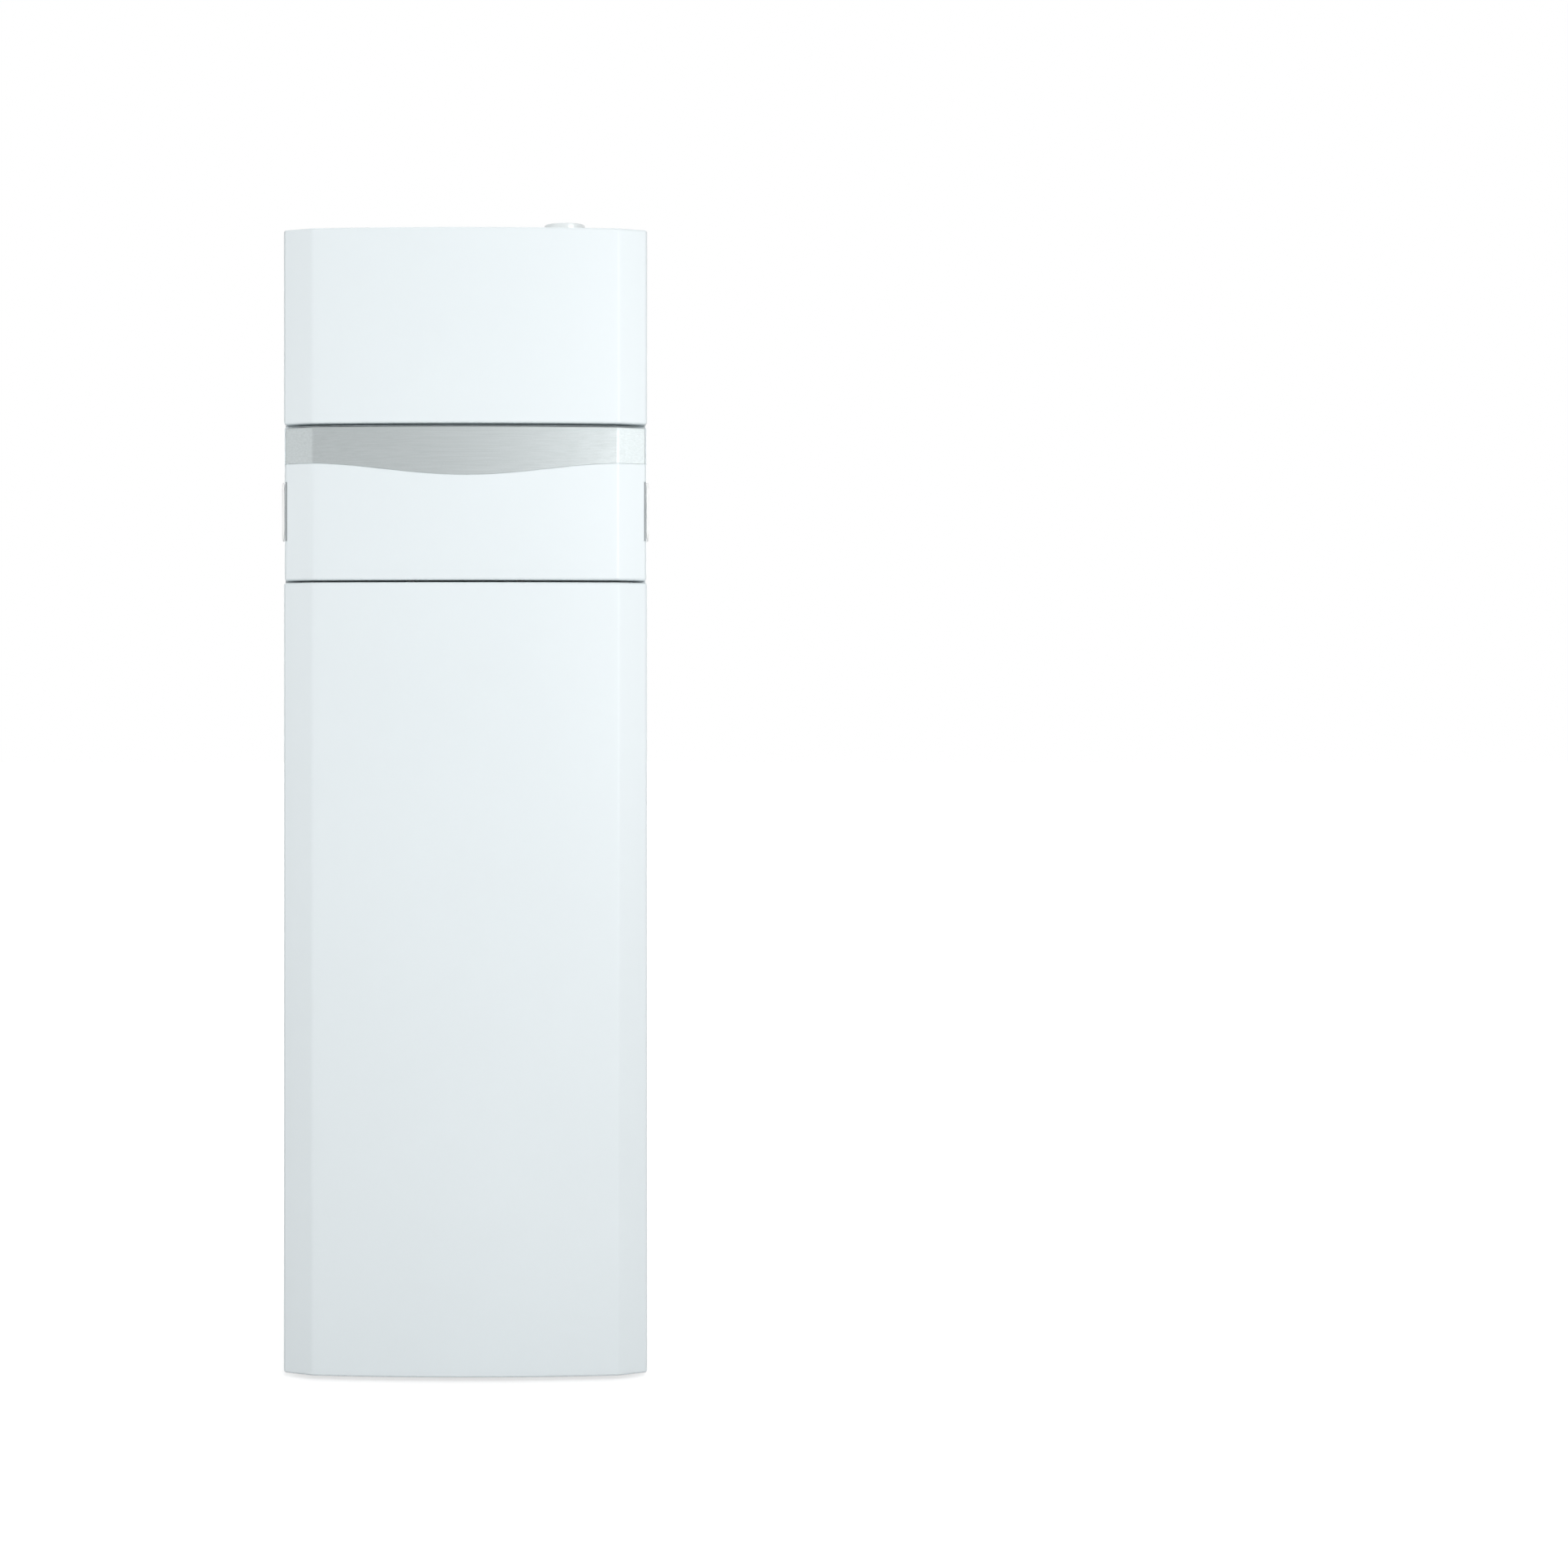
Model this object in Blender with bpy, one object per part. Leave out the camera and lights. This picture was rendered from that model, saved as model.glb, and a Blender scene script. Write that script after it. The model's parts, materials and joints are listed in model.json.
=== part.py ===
"""A floor standing gas condensing boiler with a built-in hot water store, as separate pieces on their joints.

Metres, Z up, front towards -Y. The origin lies on the floor under the middle of the cabinet.
Every piece is drawn in cabinet coordinates; add_piece then moves its origin to its own place or joint.
"""

import math

import bmesh
import bpy
from mathutils import Matrix, Vector

# Overall sizes
CABINET_WIDTH = 0.598
CABINET_DEPTH = 0.693
FLOOR_GAP = 0.010
LOWER_COVER_HEIGHT = 1.2995
FLAP_HEIGHT = 0.253
UPPER_COVER_HEIGHT = 0.3205
COVER_GAP = 0.0035

# General making
SHEET = 0.0015
SEAT = 0.0003
OVERRUN = 0.010
FOLD = 0.015
MERGE = 1e-6
SMOOTH_ANGLE = math.radians(40)
ROUND_SIDES = 20
BOLT_SIDES = 10
PIPE_SIDES = 8
BEND_STEPS = 3
FLUE_SIDES = 14

# Section shared by the two covers and the flap
CHAMFER_WIDTH = 0.048
CHAMFER_DEPTH = 0.0175
CROWN_DEPTH = 0.0175
CROWN_STEPS = 10
EDGE_ROUND = 0.004
EDGE_STEPS = 2
COVER_RETURN = 0.045
CASING_GAP = 0.001

# Locating studs of the covers
STUD_RADIUS = 0.003
STUD_LENGTH = 0.014
STUD_INSET = 0.014
STUD_CLEARANCE = 0.0006
STUD_END_DISTANCE = 0.060
STUD_TAB_INNER = 0.007
STUD_TAB_DEPTH = 0.016
STUD_TAB_HEIGHT = 0.024
STUD_TAB_THICKNESS = 0.003

# Levels and planes that follow from the sizes above
HALF_WIDTH = CABINET_WIDTH / 2
LOWER_COVER_TOP = FLOOR_GAP + LOWER_COVER_HEIGHT
FLAP_BOTTOM = LOWER_COVER_TOP + COVER_GAP
FLAP_TOP = FLAP_BOTTOM + FLAP_HEIGHT
UPPER_COVER_BOTTOM = FLAP_TOP + COVER_GAP
CABINET_TOP = UPPER_COVER_BOTTOM + UPPER_COVER_HEIGHT
CROWN_FRONT = -CABINET_DEPTH / 2
REAR_FACE = CABINET_DEPTH / 2
SIDE_EDGE_PLANE = CROWN_FRONT + CROWN_DEPTH + CHAMFER_DEPTH
COVER_REAR = SIDE_EDGE_PLANE + COVER_RETURN
CASING_FRONT = COVER_REAR + CASING_GAP
PANEL_INSIDE = HALF_WIDTH - SHEET - SEAT
REAR_INSIDE = REAR_FACE - SHEET - SEAT
SHELF_REAR = REAR_INSIDE - SHEET - SEAT

# Casing
FRONT_FLANGE = 0.025
REAR_FLANGE = 0.018
TRAY_LEVEL = 0.030
TRAY_SHEET = 0.002
TRAY_RIM = 0.028
TRAY_INSET = 0.002
FOOT_RADIUS = 0.022
FOOT_THICKNESS = 0.009
FOOT_NECK_RADIUS = 0.009
FOOT_STUD_RADIUS = 0.0055
FOOT_STUD_LENGTH = 0.020
FOOT_CHAMFER = 0.002
FOOT_HOLE_CLEARANCE = 0.0006
FOOT_SIDE_INSET = 0.070
FOOT_FRONT_INSET = 0.110
FOOT_REAR_INSET = 0.060
MIDDLE_SHELF_BELOW_COVER = 0.2095
MIDDLE_SHELF_LEVEL = LOWER_COVER_TOP - MIDDLE_SHELF_BELOW_COVER
MODULE_SHELF_RISE = 0.009
MODULE_SHELF_LEVEL = UPPER_COVER_BOTTOM + MODULE_SHELF_RISE
MODULE_SHELF_REAR_SPACE = 0.0767
MODULE_SHELF_REAR = REAR_INSIDE - MODULE_SHELF_REAR_SPACE
PIPE_OPENING_MARGIN = 0.029
PIPE_OPENING_WIDTH = CABINET_WIDTH - 2 * PIPE_OPENING_MARGIN
PIPE_OPENING_DEPTH = 0.060
PIPE_OPENING_REAR = 0.016
PIPE_HOLE_CLEARANCE = 0.004

# Control rail and the brackets that carry the flap
RAIL_BELOW_FLAP = 0.016
RAIL_BOTTOM = FLAP_BOTTOM - RAIL_BELOW_FLAP
RAIL_HEIGHT = 0.048
RAIL_DEPTH = 0.030
RAIL_SHEET = 0.002
HINGE_BEHIND_CROWN = 0.0125
HINGE_ABOVE_FLAP = 0.018
HINGE_OFFSET = 0.090
BRACKET_THICKNESS = 0.008
BRACKET_EYE_RADIUS = 0.0055
BRACKET_EYE_STEPS = 10
EYE_END = math.radians(330)
PIN_RADIUS = 0.0025
PIN_CLEARANCE = 0.0004
LUG_GAP = 0.0008
LUG_THICKNESS = 0.003
LUG_RADIUS = 0.0062
NOTCH_MARGIN = 0.003
HINGE_Y = CROWN_FRONT + HINGE_BEHIND_CROWN
HINGE_Z = FLAP_BOTTOM + HINGE_ABOVE_FLAP

# Flap, its trim band and its grips
FLAP_INSET = 0.001
FLAP_WALL = 0.0038
FLAP_RETURN = 0.0375
SWING_CLEARANCE = 0.0023
SWING_SIDES = 96
BAND_HEIGHT = 0.0592
BAND_DIP = 0.020
BAND_WAVE_MARGIN = 0.059
BAND_WAVE_HALF = HALF_WIDTH - BAND_WAVE_MARGIN
BAND_BORDER = 0.002
BAND_RECESS = 0.0006
BAND_WALL = 0.0013
BAND_SEAM = 0.0005
BAND_WRAP = 0.0024
WAVE_STEPS = 24
GRIP_HEIGHT = 0.0975
GRIP_RISE = 0.1137
GRIP_CENTRE = FLAP_BOTTOM + GRIP_RISE
GRIP_WIDTH = 0.030
GRIP_FRONT = 0.0012
GRIP_PROUD = 0.0039
GRIP_WELL_DEPTH = 0.0130
GRIP_WELL_WALL = 0.0014
GRIP_RIM = 0.0040
GRIP_SLOT_WIDTH = 0.0027
GRIP_SLOT_FROM_EDGE = 0.0017
GRIP_SLOT_DEPTH = 0.0030
GRIP_ARC_STEPS = 6

# Flue adapter and flue pipe
FLUE_HOLE_RADIUS = 0.052
FLUE_COLLAR_RADIUS = 0.055
FLUE_FLANGE_RADIUS = 0.070
FLUE_FLANGE_THICKNESS = 0.004
FLUE_COLLAR_HEIGHT = 0.040
FLUE_COLLAR_WALL = 0.003
FLUE_SOCKET_RADIUS = 0.0355
FLUE_SOCKET_WALL = 0.0025
FLUE_SOCKET_HEIGHT = 0.058
FLUE_SOCKET_DEPTH = 0.050
FLUE_RIM = 0.0025
FLUE_PIPE_RADIUS = 0.035
FLUE_PIPE_BEND = 0.050

# Hot water store, its insulation and its drain
STORE_SIDE_SPACE = 0.054
STORE_FRONT_SPACE = 0.0805
STORE_REAR_SPACE = 0.0397
STORE_REAR = REAR_INSIDE - STORE_REAR_SPACE
STORE_DEPTH_ROOM = STORE_REAR - CASING_FRONT - STORE_FRONT_SPACE
JACKET_RADIUS = min(HALF_WIDTH - STORE_SIDE_SPACE, STORE_DEPTH_ROOM / 2)
JACKET_WALL = 0.030
TANK_RADIUS = JACKET_RADIUS - JACKET_WALL
STORE_PLACE = (0.0, STORE_REAR - JACKET_RADIUS)
STORE_SIDES = 20
STORE_HEAD_SPACE = 0.121
TANK_DOME = 0.070
TANK_DOME_STEPS = 4
TANK_PLINTH_INSET = 0.055
TANK_PLINTH_RADIUS = TANK_RADIUS - TANK_PLINTH_INSET
TANK_PLINTH_HEIGHT = 0.030
TANK_NECK_RADIUS = 0.050
TANK_NECK_HEIGHT = 0.022
TANK_WALL = 0.003
TANK_BUSH_RADIUS = 0.006
JACKET_COVER = 0.012
JACKET_CHAMFER = 0.020
JACKET_CLEARANCE = 0.0006
PORT_RADIUS = 0.011
PORT_SHELF_SPACE = 0.018
PORT_TOP = MIDDLE_SHELF_LEVEL - PORT_SHELF_SPACE
PORT_LENGTH = 0.092
PORT_ROOT = PORT_TOP - PORT_LENGTH
PORT_HOLE_CLEARANCE = 0.0006


def store_place(shares):
    """A place on top of the store, from its shares of the tank's radius across and in depth."""
    return (TANK_RADIUS * shares[0], STORE_PLACE[1] + TANK_RADIUS * shares[1])


COLD_PORT_SHARES = (0.41860, 0.65116)
COLD_PORT = store_place(COLD_PORT_SHARES)
HOT_PORT_SHARES = (0.13953, 0.65116)
HOT_PORT = store_place(HOT_PORT_SHARES)
COIL_PORT_SHARES = (-0.46512, -0.41860)
COIL_PORT = store_place(COIL_PORT_SHARES)
DRAIN_ACROSS = 0.050
DRAIN_RISE = 0.130
DRAIN_LEVEL = TRAY_LEVEL + DRAIN_RISE
DRAIN_BOSS_RADIUS = 0.013
DRAIN_BOSS_PROUD = 0.005
DRAIN_BOSS_FRONT = STORE_PLACE[1] - JACKET_RADIUS - DRAIN_BOSS_PROUD
DRAIN_BODY_RADIUS = 0.0105
DRAIN_BODY_LENGTH = 0.042
DRAIN_NUT_LENGTH = 0.010
DRAIN_STEM_HEIGHT = 0.018
DRAIN_SPOUT_RADIUS = 0.008
DRAIN_SPOUT_DROP = 0.040

# Levers of the drain cock and the gas cock
LEVER_HUB_RADIUS = 0.008
LEVER_LENGTH = 0.030
LEVER_WIDTH = 0.009
LEVER_THICKNESS = 0.004
STEM_RADIUS = 0.006

# Pipes
WATER_PIPE_RADIUS = 0.009
GAS_PIPE_RADIUS = 0.008
PIPE_BEND = 0.022
PIPE_REAR_SPACE = 0.0447
PIPE_REAR = REAR_INSIDE - PIPE_REAR_SPACE
PIPE_ABOVE_TOP = 0.055
PIPE_END = CABINET_TOP + PIPE_ABOVE_TOP
PIPE_NUT_RADIUS = 0.016
PIPE_NUT_LENGTH = 0.022
GAS_PIPE_SIDE_SPACE = 0.0572
GAS_PIPE_ACROSS = PANEL_INSIDE - GAS_PIPE_SIDE_SPACE
GAS_PIPE_FRONT_SPACE = 0.0755
GAS_PIPE_FRONT = CASING_FRONT + GAS_PIPE_FRONT_SPACE
GAS_PIPE_RISE = 0.0265
GAS_PIPE_LEVEL = MODULE_SHELF_LEVEL + GAS_PIPE_RISE
GAS_COCK_FROM_BEND = 0.090
GAS_COCK_DEPTH = GAS_PIPE_FRONT + GAS_COCK_FROM_BEND
GAS_COCK_RADIUS = 0.015
GAS_COCK_LENGTH = 0.040
GAS_STEM_HEIGHT = 0.021
SHELF_CROSSING_RISE = 0.050
SHELF_CROSSING = MIDDLE_SHELF_LEVEL + SHELF_CROSSING_RISE
SET_BACK_RISE = 0.150
SET_BACK_LEVEL = MIDDLE_SHELF_LEVEL + SET_BACK_RISE

# Pump, diverter valve, safety valve, siphon and expansion vessel on the middle shelf
PUMP_SIDE_SPACE = 0.0922
PUMP_PLACE = (PUMP_SIDE_SPACE - PANEL_INSIDE, 0.0)
PUMP_RISE = 0.120
PUMP_LEVEL = MIDDLE_SHELF_LEVEL + PUMP_RISE
PUMP_VOLUTE_RADIUS = 0.036
PUMP_VOLUTE_HALF = 0.021
PUMP_PORT_RADIUS = 0.0145
PUMP_PORT_REACH = 0.070
PUMP_FOOT_HALF = 0.012
PUMP_FOOT_SET_BACK = 0.014
PUMP_HEAD_RADIUS = 0.041
PUMP_HEAD_LENGTH = 0.078
PUMP_HEAD_CHAMFER = 0.006
PUMP_CONTROL_RADIUS = 0.026
PUMP_CONTROL_PROUD = 0.008
SUCTION_RISE = 0.018
SUCTION_LEVEL = MIDDLE_SHELF_LEVEL + SUCTION_RISE
VALVE_BODY_RADIUS = 0.019
VALVE_BODY_BOTTOM_RISE = 0.035
VALVE_BODY_BOTTOM = MIDDLE_SHELF_LEVEL + VALVE_BODY_BOTTOM_RISE
VALVE_BODY_TOP_RISE = 0.105
VALVE_BODY_TOP = MIDDLE_SHELF_LEVEL + VALVE_BODY_TOP_RISE
VALVE_PORT_RADIUS = 0.0125
VALVE_PORT_REACH = 0.035
VALVE_INLET_RISE = 0.085
VALVE_INLET_LEVEL = MIDDLE_SHELF_LEVEL + VALVE_INLET_RISE
VALVE_OUTLET_RISE = 0.060
VALVE_OUTLET_LEVEL = MIDDLE_SHELF_LEVEL + VALVE_OUTLET_RISE
ACTUATOR_HALF = 0.024
ACTUATOR_HEIGHT = 0.054
ACTUATOR_ROUND = 0.004
SIPHON_SIDE_SPACE = 0.0872
SIPHON_FRONT_SPACE = 0.1155
SIPHON_PLACE = (PANEL_INSIDE - SIPHON_SIDE_SPACE, CASING_FRONT + SIPHON_FRONT_SPACE)
SAFETY_FROM_SIPHON = (-0.120, 0.020)
SAFETY_PLACE = (SIPHON_PLACE[0] + SAFETY_FROM_SIPHON[0], SIPHON_PLACE[1] + SAFETY_FROM_SIPHON[1])
SAFETY_BODY_RADIUS = 0.015
SAFETY_FOOT_RADIUS = 0.019
SAFETY_FOOT_HEIGHT = 0.014
SAFETY_BODY_HEIGHT = 0.064
SAFETY_OUTLET_RADIUS = 0.010
SAFETY_OUTLET_REACH = 0.036
SAFETY_OUTLET_RISE = 0.034
SAFETY_CAP_RADIUS = 0.017
SAFETY_CAP_HEIGHT = 0.026
SAFETY_CAP_LOBES = 8
SAFETY_CAP_LOBE_DEPTH = 0.0015
SIPHON_RADIUS = 0.033
SIPHON_HEIGHT = 0.120
SIPHON_SHOULDER = 0.018
SIPHON_NECK_RADIUS = 0.012
SIPHON_NECK_HEIGHT = 0.032
SIPHON_COLLAR_RADIUS = 0.037
SIPHON_COLLAR_HEIGHT = 0.010
VESSEL_RADIUS = 0.155
VESSEL_FROM_COIL = 0.140
VESSEL_RISE = 0.018
VESSEL_PLACE = (COIL_PORT[0] + VESSEL_FROM_COIL, MIDDLE_SHELF_LEVEL + VESSEL_RISE + VESSEL_RADIUS)
VESSEL_PIPE_SPACE = 0.220
VESSEL_FRONT = PIPE_REAR - VESSEL_PIPE_SPACE
VESSEL_DEPTH = 0.100
VESSEL_ROUND = 0.026
VESSEL_SEAM = 0.004
VESSEL_SEAM_WIDTH = 0.006
VESSEL_WALL = 0.0015
VESSEL_BUSH_RADIUS = 0.004
VESSEL_LEG_SPREAD = 0.080
VESSEL_LEG_HALF = 0.012
VESSEL_LEG_DEPTH = 0.060
VESSEL_LEG_REACH = 0.090

# Control unit
CONTROL_SIDE_SPACE = 0.0352
CONTROL_HALF_WIDTH = PANEL_INSIDE - CONTROL_SIDE_SPACE
CONTROL_BEHIND_FLANGE = 0.020
CONTROL_FRONT = CASING_FRONT + CONTROL_BEHIND_FLANGE
CONTROL_REAR = -0.060
CONTROL_BELOW_FLAP_TOP = 0.011
CONTROL_TOP = FLAP_TOP - CONTROL_BELOW_FLAP_TOP
CONTROL_WALL = 0.0025
CONTROL_EAR_RISE = 0.087
CONTROL_EAR_BOTTOM = FLAP_BOTTOM + CONTROL_EAR_RISE
CONTROL_EAR_HEIGHT = 0.030
CONTROL_EAR_DEPTH = 0.120
CONTROL_EAR_THICKNESS = 0.002
CABLE_ENTRY_SIDE = 0.040
CABLE_ENTRY_WIDTH = 0.070
CABLE_ENTRY_HEIGHT = 0.040
CABLE_ENTRY_DROP = 0.030
FASCIA_THICKNESS = 0.003
CONTROLS_RISE = 0.137
CONTROLS_LEVEL = FLAP_BOTTOM + CONTROLS_RISE
DISPLAY_WIDTH = 0.112
DISPLAY_HEIGHT = 0.056
DISPLAY_RISE = 0.165
DISPLAY_LEVEL = FLAP_BOTTOM + DISPLAY_RISE
DISPLAY_PROUD = 0.001
DISPLAY_DEPTH = 0.006
KNOB_SHARE = 0.42748
KNOB_OFFSET = CONTROL_HALF_WIDTH * KNOB_SHARE
KNOB_RADIUS = 0.021
KNOB_HEIGHT = 0.016
KNOB_TAPER = 0.002
KNOB_SKIRT = 0.004
KNOB_GRIP_WIDTH = 0.007
KNOB_GRIP_DEPTH = 0.005
SPINDLE_RADIUS = 0.003
SPINDLE_LENGTH = 0.012
SPINDLE_CLEARANCE = 0.0005
BUTTON_SPACING = 0.034
BUTTON_RISE = 0.111
BUTTON_LEVEL = FLAP_BOTTOM + BUTTON_RISE
BUTTON_RADIUS = 0.0075
BUTTON_PROUD = 0.0035
BUTTON_TRAVEL = 0.002
BUTTON_FLANGE = 0.0025
BUTTON_FLANGE_THICKNESS = 0.0015
BUTTON_CLEARANCE = 0.0004
SWITCH_SHARE = 0.74809
SWITCH_OFFSET = CONTROL_HALF_WIDTH * SWITCH_SHARE
SWITCH_HALF_WIDTH = 0.009
SWITCH_RADIUS = 0.014
SWITCH_PROUD = 0.0055
SWITCH_DISH = 0.0022
SWITCH_CLEARANCE = 0.0006
SWITCH_BEZEL = 0.003
SWITCH_BEZEL_PROUD = 0.0022
GAUGE_OFFSET = -SWITCH_OFFSET
GAUGE_RADIUS = 0.026
GAUGE_PROUD = 0.004
GAUGE_RIM = 0.0035
GAUGE_BODY_RADIUS = 0.022
GAUGE_BODY_DEPTH = 0.024
GAUGE_RECESS = 0.0045
NEEDLE_LENGTH = 0.0165
NEEDLE_TAIL = 0.005
NEEDLE_HALF_WIDTH = 0.0009
NEEDLE_HUB_RADIUS = 0.0024
NEEDLE_THICKNESS = 0.0009
NEEDLE_HUB_HEIGHT = 0.0022

# Burner module
BURNER_ROOM = CABINET_TOP - MODULE_SHELF_LEVEL
EXCHANGER_ACROSS = -0.070
EXCHANGER_RISE_SHARE = 0.48636
EXCHANGER_RISE = BURNER_ROOM * EXCHANGER_RISE_SHARE
EXCHANGER_PLACE = (EXCHANGER_ACROSS, MODULE_SHELF_LEVEL + EXCHANGER_RISE)
EXCHANGER_SHARE = 0.36918
EXCHANGER_RADIUS = BURNER_ROOM * EXCHANGER_SHARE
EXCHANGER_FRONT = 0.0
EXCHANGER_PIPE_SPACE = 0.050
EXCHANGER_LENGTH = PIPE_REAR - EXCHANGER_PIPE_SPACE - EXCHANGER_FRONT
EXCHANGER_ROUND = 0.020
EXCHANGER_WALL = 0.005
EXCHANGER_BAND = 0.004
EXCHANGER_BAND_WIDTH = 0.012
EXCHANGER_FOOT_SPREAD = 0.062
EXCHANGER_FOOT_HALF = 0.014
EXCHANGER_FOOT_MARGIN = 0.030
EXCHANGER_PORT_RADIUS = 0.013
EXCHANGER_PORT_RISE = 0.0265
EXCHANGER_PORT_BOTTOM = MODULE_SHELF_LEVEL + EXCHANGER_PORT_RISE
RETURN_PORT = (-0.118, 0.060)
FLOW_PORT = (-0.022, 0.060)
PRIMARY_LOWER_RISE = 0.300
PRIMARY_LOWER_LEVEL = MIDDLE_SHELF_LEVEL + PRIMARY_LOWER_RISE
PRIMARY_UPPER_DROP = 0.0785
PRIMARY_UPPER_LEVEL = MODULE_SHELF_LEVEL - PRIMARY_UPPER_DROP
FLUE_BOSS_RADIUS = 0.042
FLUE_BOSS_ACROSS = 0.062
FLUE_BOSS_DEPTH = 0.100
DOOR_RIM = 0.006
DOOR_RADIUS = EXCHANGER_RADIUS + DOOR_RIM
DOOR_THICKNESS = 0.024
DOOR_ROUND = 0.005
DOOR_LUGS = 6
DOOR_LUG_RADIUS = 0.011
PLENUM_WIDTH = 0.036
PLENUM_OVERLAP = 0.004
FAN_RISE_SHARE = 0.07063
FAN_FROM_EXCHANGER = (-0.002, BURNER_ROOM * FAN_RISE_SHARE)
FAN_CENTRE = (EXCHANGER_PLACE[0] + FAN_FROM_EXCHANGER[0], EXCHANGER_PLACE[1] + FAN_FROM_EXCHANGER[1])
FAN_FRONT = -0.116
FAN_DEPTH = 0.050
FAN_WALL = 0.003
FAN_SMALL_SHARE = 0.17335
FAN_SMALL_RADIUS = BURNER_ROOM * FAN_SMALL_SHARE
FAN_LARGE_SHARE = 0.28250
FAN_LARGE_RADIUS = BURNER_ROOM * FAN_LARGE_SHARE
FAN_TONGUE_ANGLE = math.radians(20)
FAN_SCROLL_STEPS = 24
FAN_DUCT_REACH_SHARE = 0.33387
FAN_DUCT_REACH = BURNER_ROOM * FAN_DUCT_REACH_SHARE
FAN_INLET_SHARE = 0.10273
FAN_INLET_RADIUS = BURNER_ROOM * FAN_INLET_SHARE
FAN_INLET_LIP = 0.004
FAN_INLET_LIP_HEIGHT = 0.006
FAN_MOTOR_SHARE = 0.11557
FAN_MOTOR_RADIUS = BURNER_ROOM * FAN_MOTOR_SHARE
IMPELLER_SHARE = 0.14767
IMPELLER_RADIUS = BURNER_ROOM * IMPELLER_SHARE
IMPELLER_EYE_SHARE = 0.08668
IMPELLER_EYE = BURNER_ROOM * IMPELLER_EYE_SHARE
IMPELLER_GAP = 0.004
IMPELLER_PLATE = 0.002
IMPELLER_HUB = 0.009
IMPELLER_BLADES = 11
IMPELLER_BLADE_THICKNESS = 0.0018
IMPELLER_BLADE_STEPS = 4
IMPELLER_BLADE_LEAN = math.radians(50)
IMPELLER_SHAFT_RADIUS = 0.003
IMPELLER_SHAFT_LENGTH = 0.012
GAS_VALVE_SIDE_SPACE = 0.1172
GAS_VALVE_RIGHT = GAS_VALVE_SIDE_SPACE - PANEL_INSIDE
GAS_VALVE_WIDTH = 0.064
GAS_VALVE_DEPTH = 0.062
GAS_VALVE_HEIGHT = 0.070
GAS_VALVE_ROUND = 0.004
SOLENOID_RADIUS = 0.013
SOLENOID_HEIGHT = 0.034
SOLENOID_SPREAD = 0.015

# Cable gland on top
GLAND_SIDE_SPACE = 0.0622
GLAND_REAR_SPACE = 0.1415
GLAND_PLACE = (GLAND_SIDE_SPACE - PANEL_INSIDE, REAR_FACE - GLAND_REAR_SPACE)
GLAND_RADIUS = 0.011
GLAND_NUT_RADIUS = 0.015
GLAND_NUT_HEIGHT = 0.008
GLAND_DOME_HEIGHT = 0.012
GLAND_BORE = 0.005
GLAND_TAIL = 0.012
GLAND_CLEARANCE = 0.0005

# Place and level of the flue
FLUE_SIDE_SPACE = 0.1232
FLUE_PLACE = (PANEL_INSIDE - FLUE_SIDE_SPACE, -0.0115)
FLUE_PIPE_SHARE = 0.28732
FLUE_PIPE_RISE = BURNER_ROOM * FLUE_PIPE_SHARE
FLUE_PIPE_LEVEL = MODULE_SHELF_LEVEL + FLUE_PIPE_RISE

# Colours as linear red, green and blue, then roughness and metallic value
FINISHES = {
    "white_powder": ((0.80, 0.84, 0.85), 0.42, 0.0),
    "white_moulding": ((0.80, 0.84, 0.85), 0.34, 0.0),
    "galvanised": ((0.52, 0.54, 0.55), 0.38, 0.9),
    "silver_trim": ((0.58, 0.61, 0.61), 0.34, 0.85),
    "light_plastic": ((0.72, 0.75, 0.76), 0.40, 0.0),
    "dark_plastic": ((0.035, 0.038, 0.042), 0.45, 0.0),
    "foam": ((0.70, 0.72, 0.72), 0.85, 0.0),
    "enamel_tank": ((0.30, 0.33, 0.36), 0.35, 0.6),
    "stainless": ((0.62, 0.62, 0.61), 0.28, 1.0),
    "cast_aluminium": ((0.55, 0.56, 0.57), 0.48, 0.9),
    "cast_iron": ((0.045, 0.065, 0.060), 0.55, 0.3),
    "brass": ((0.70, 0.52, 0.25), 0.30, 1.0),
    "copper": ((0.72, 0.36, 0.22), 0.26, 1.0),
    "red_enamel": ((0.45, 0.02, 0.02), 0.35, 0.0),
    "red_plastic": ((0.55, 0.03, 0.02), 0.40, 0.0),
    "glass": ((0.02, 0.03, 0.035), 0.05, 0.0),
    "grey_plastic": ((0.26, 0.28, 0.29), 0.45, 0.0),
    "rubber": ((0.02, 0.02, 0.02), 0.80, 0.0),
}


def clear_scene():
    for obj in list(bpy.data.objects):
        bpy.data.objects.remove(obj)


def finish_material(name):
    """The material of this name, made on first use from the table of finishes."""
    if name in bpy.data.materials:
        return bpy.data.materials[name]
    colour, roughness, metallic = FINISHES[name]
    made = bpy.data.materials.new(name)
    made.use_nodes = True
    shader = made.node_tree.nodes["Principled BSDF"]
    shader.inputs["Base Color"].default_value = (*colour, 1)
    shader.inputs["Roughness"].default_value = roughness
    shader.inputs["Metallic"].default_value = metallic
    made.diffuse_color = (*colour, 1)
    return made


def add_group(name, parent=None, place=(0, 0, 0)):
    """An empty that carries an assembly or marks a joint, placed in cabinet coordinates."""
    group = bpy.data.objects.new(name, None)
    group.empty_display_size = COVER_RETURN
    bpy.context.scene.collection.objects.link(group)
    group["place"] = place
    if parent:
        group.parent = parent
        group.location = Vector(place) - Vector(parent["place"])
    else:
        group.location = place
    return group


def object_from(name, shape, origin, parent):
    """An object from a shape drawn in cabinet coordinates, with its own origin at the given place."""
    bmesh.ops.translate(shape, verts=shape.verts, vec=-Vector(origin))
    bmesh.ops.recalc_face_normals(shape, faces=shape.faces)
    mesh = bpy.data.meshes.new(name)
    shape.to_mesh(mesh)
    shape.free()
    obj = bpy.data.objects.new(name, mesh)
    bpy.context.scene.collection.objects.link(obj)
    obj.parent = parent
    return obj


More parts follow.
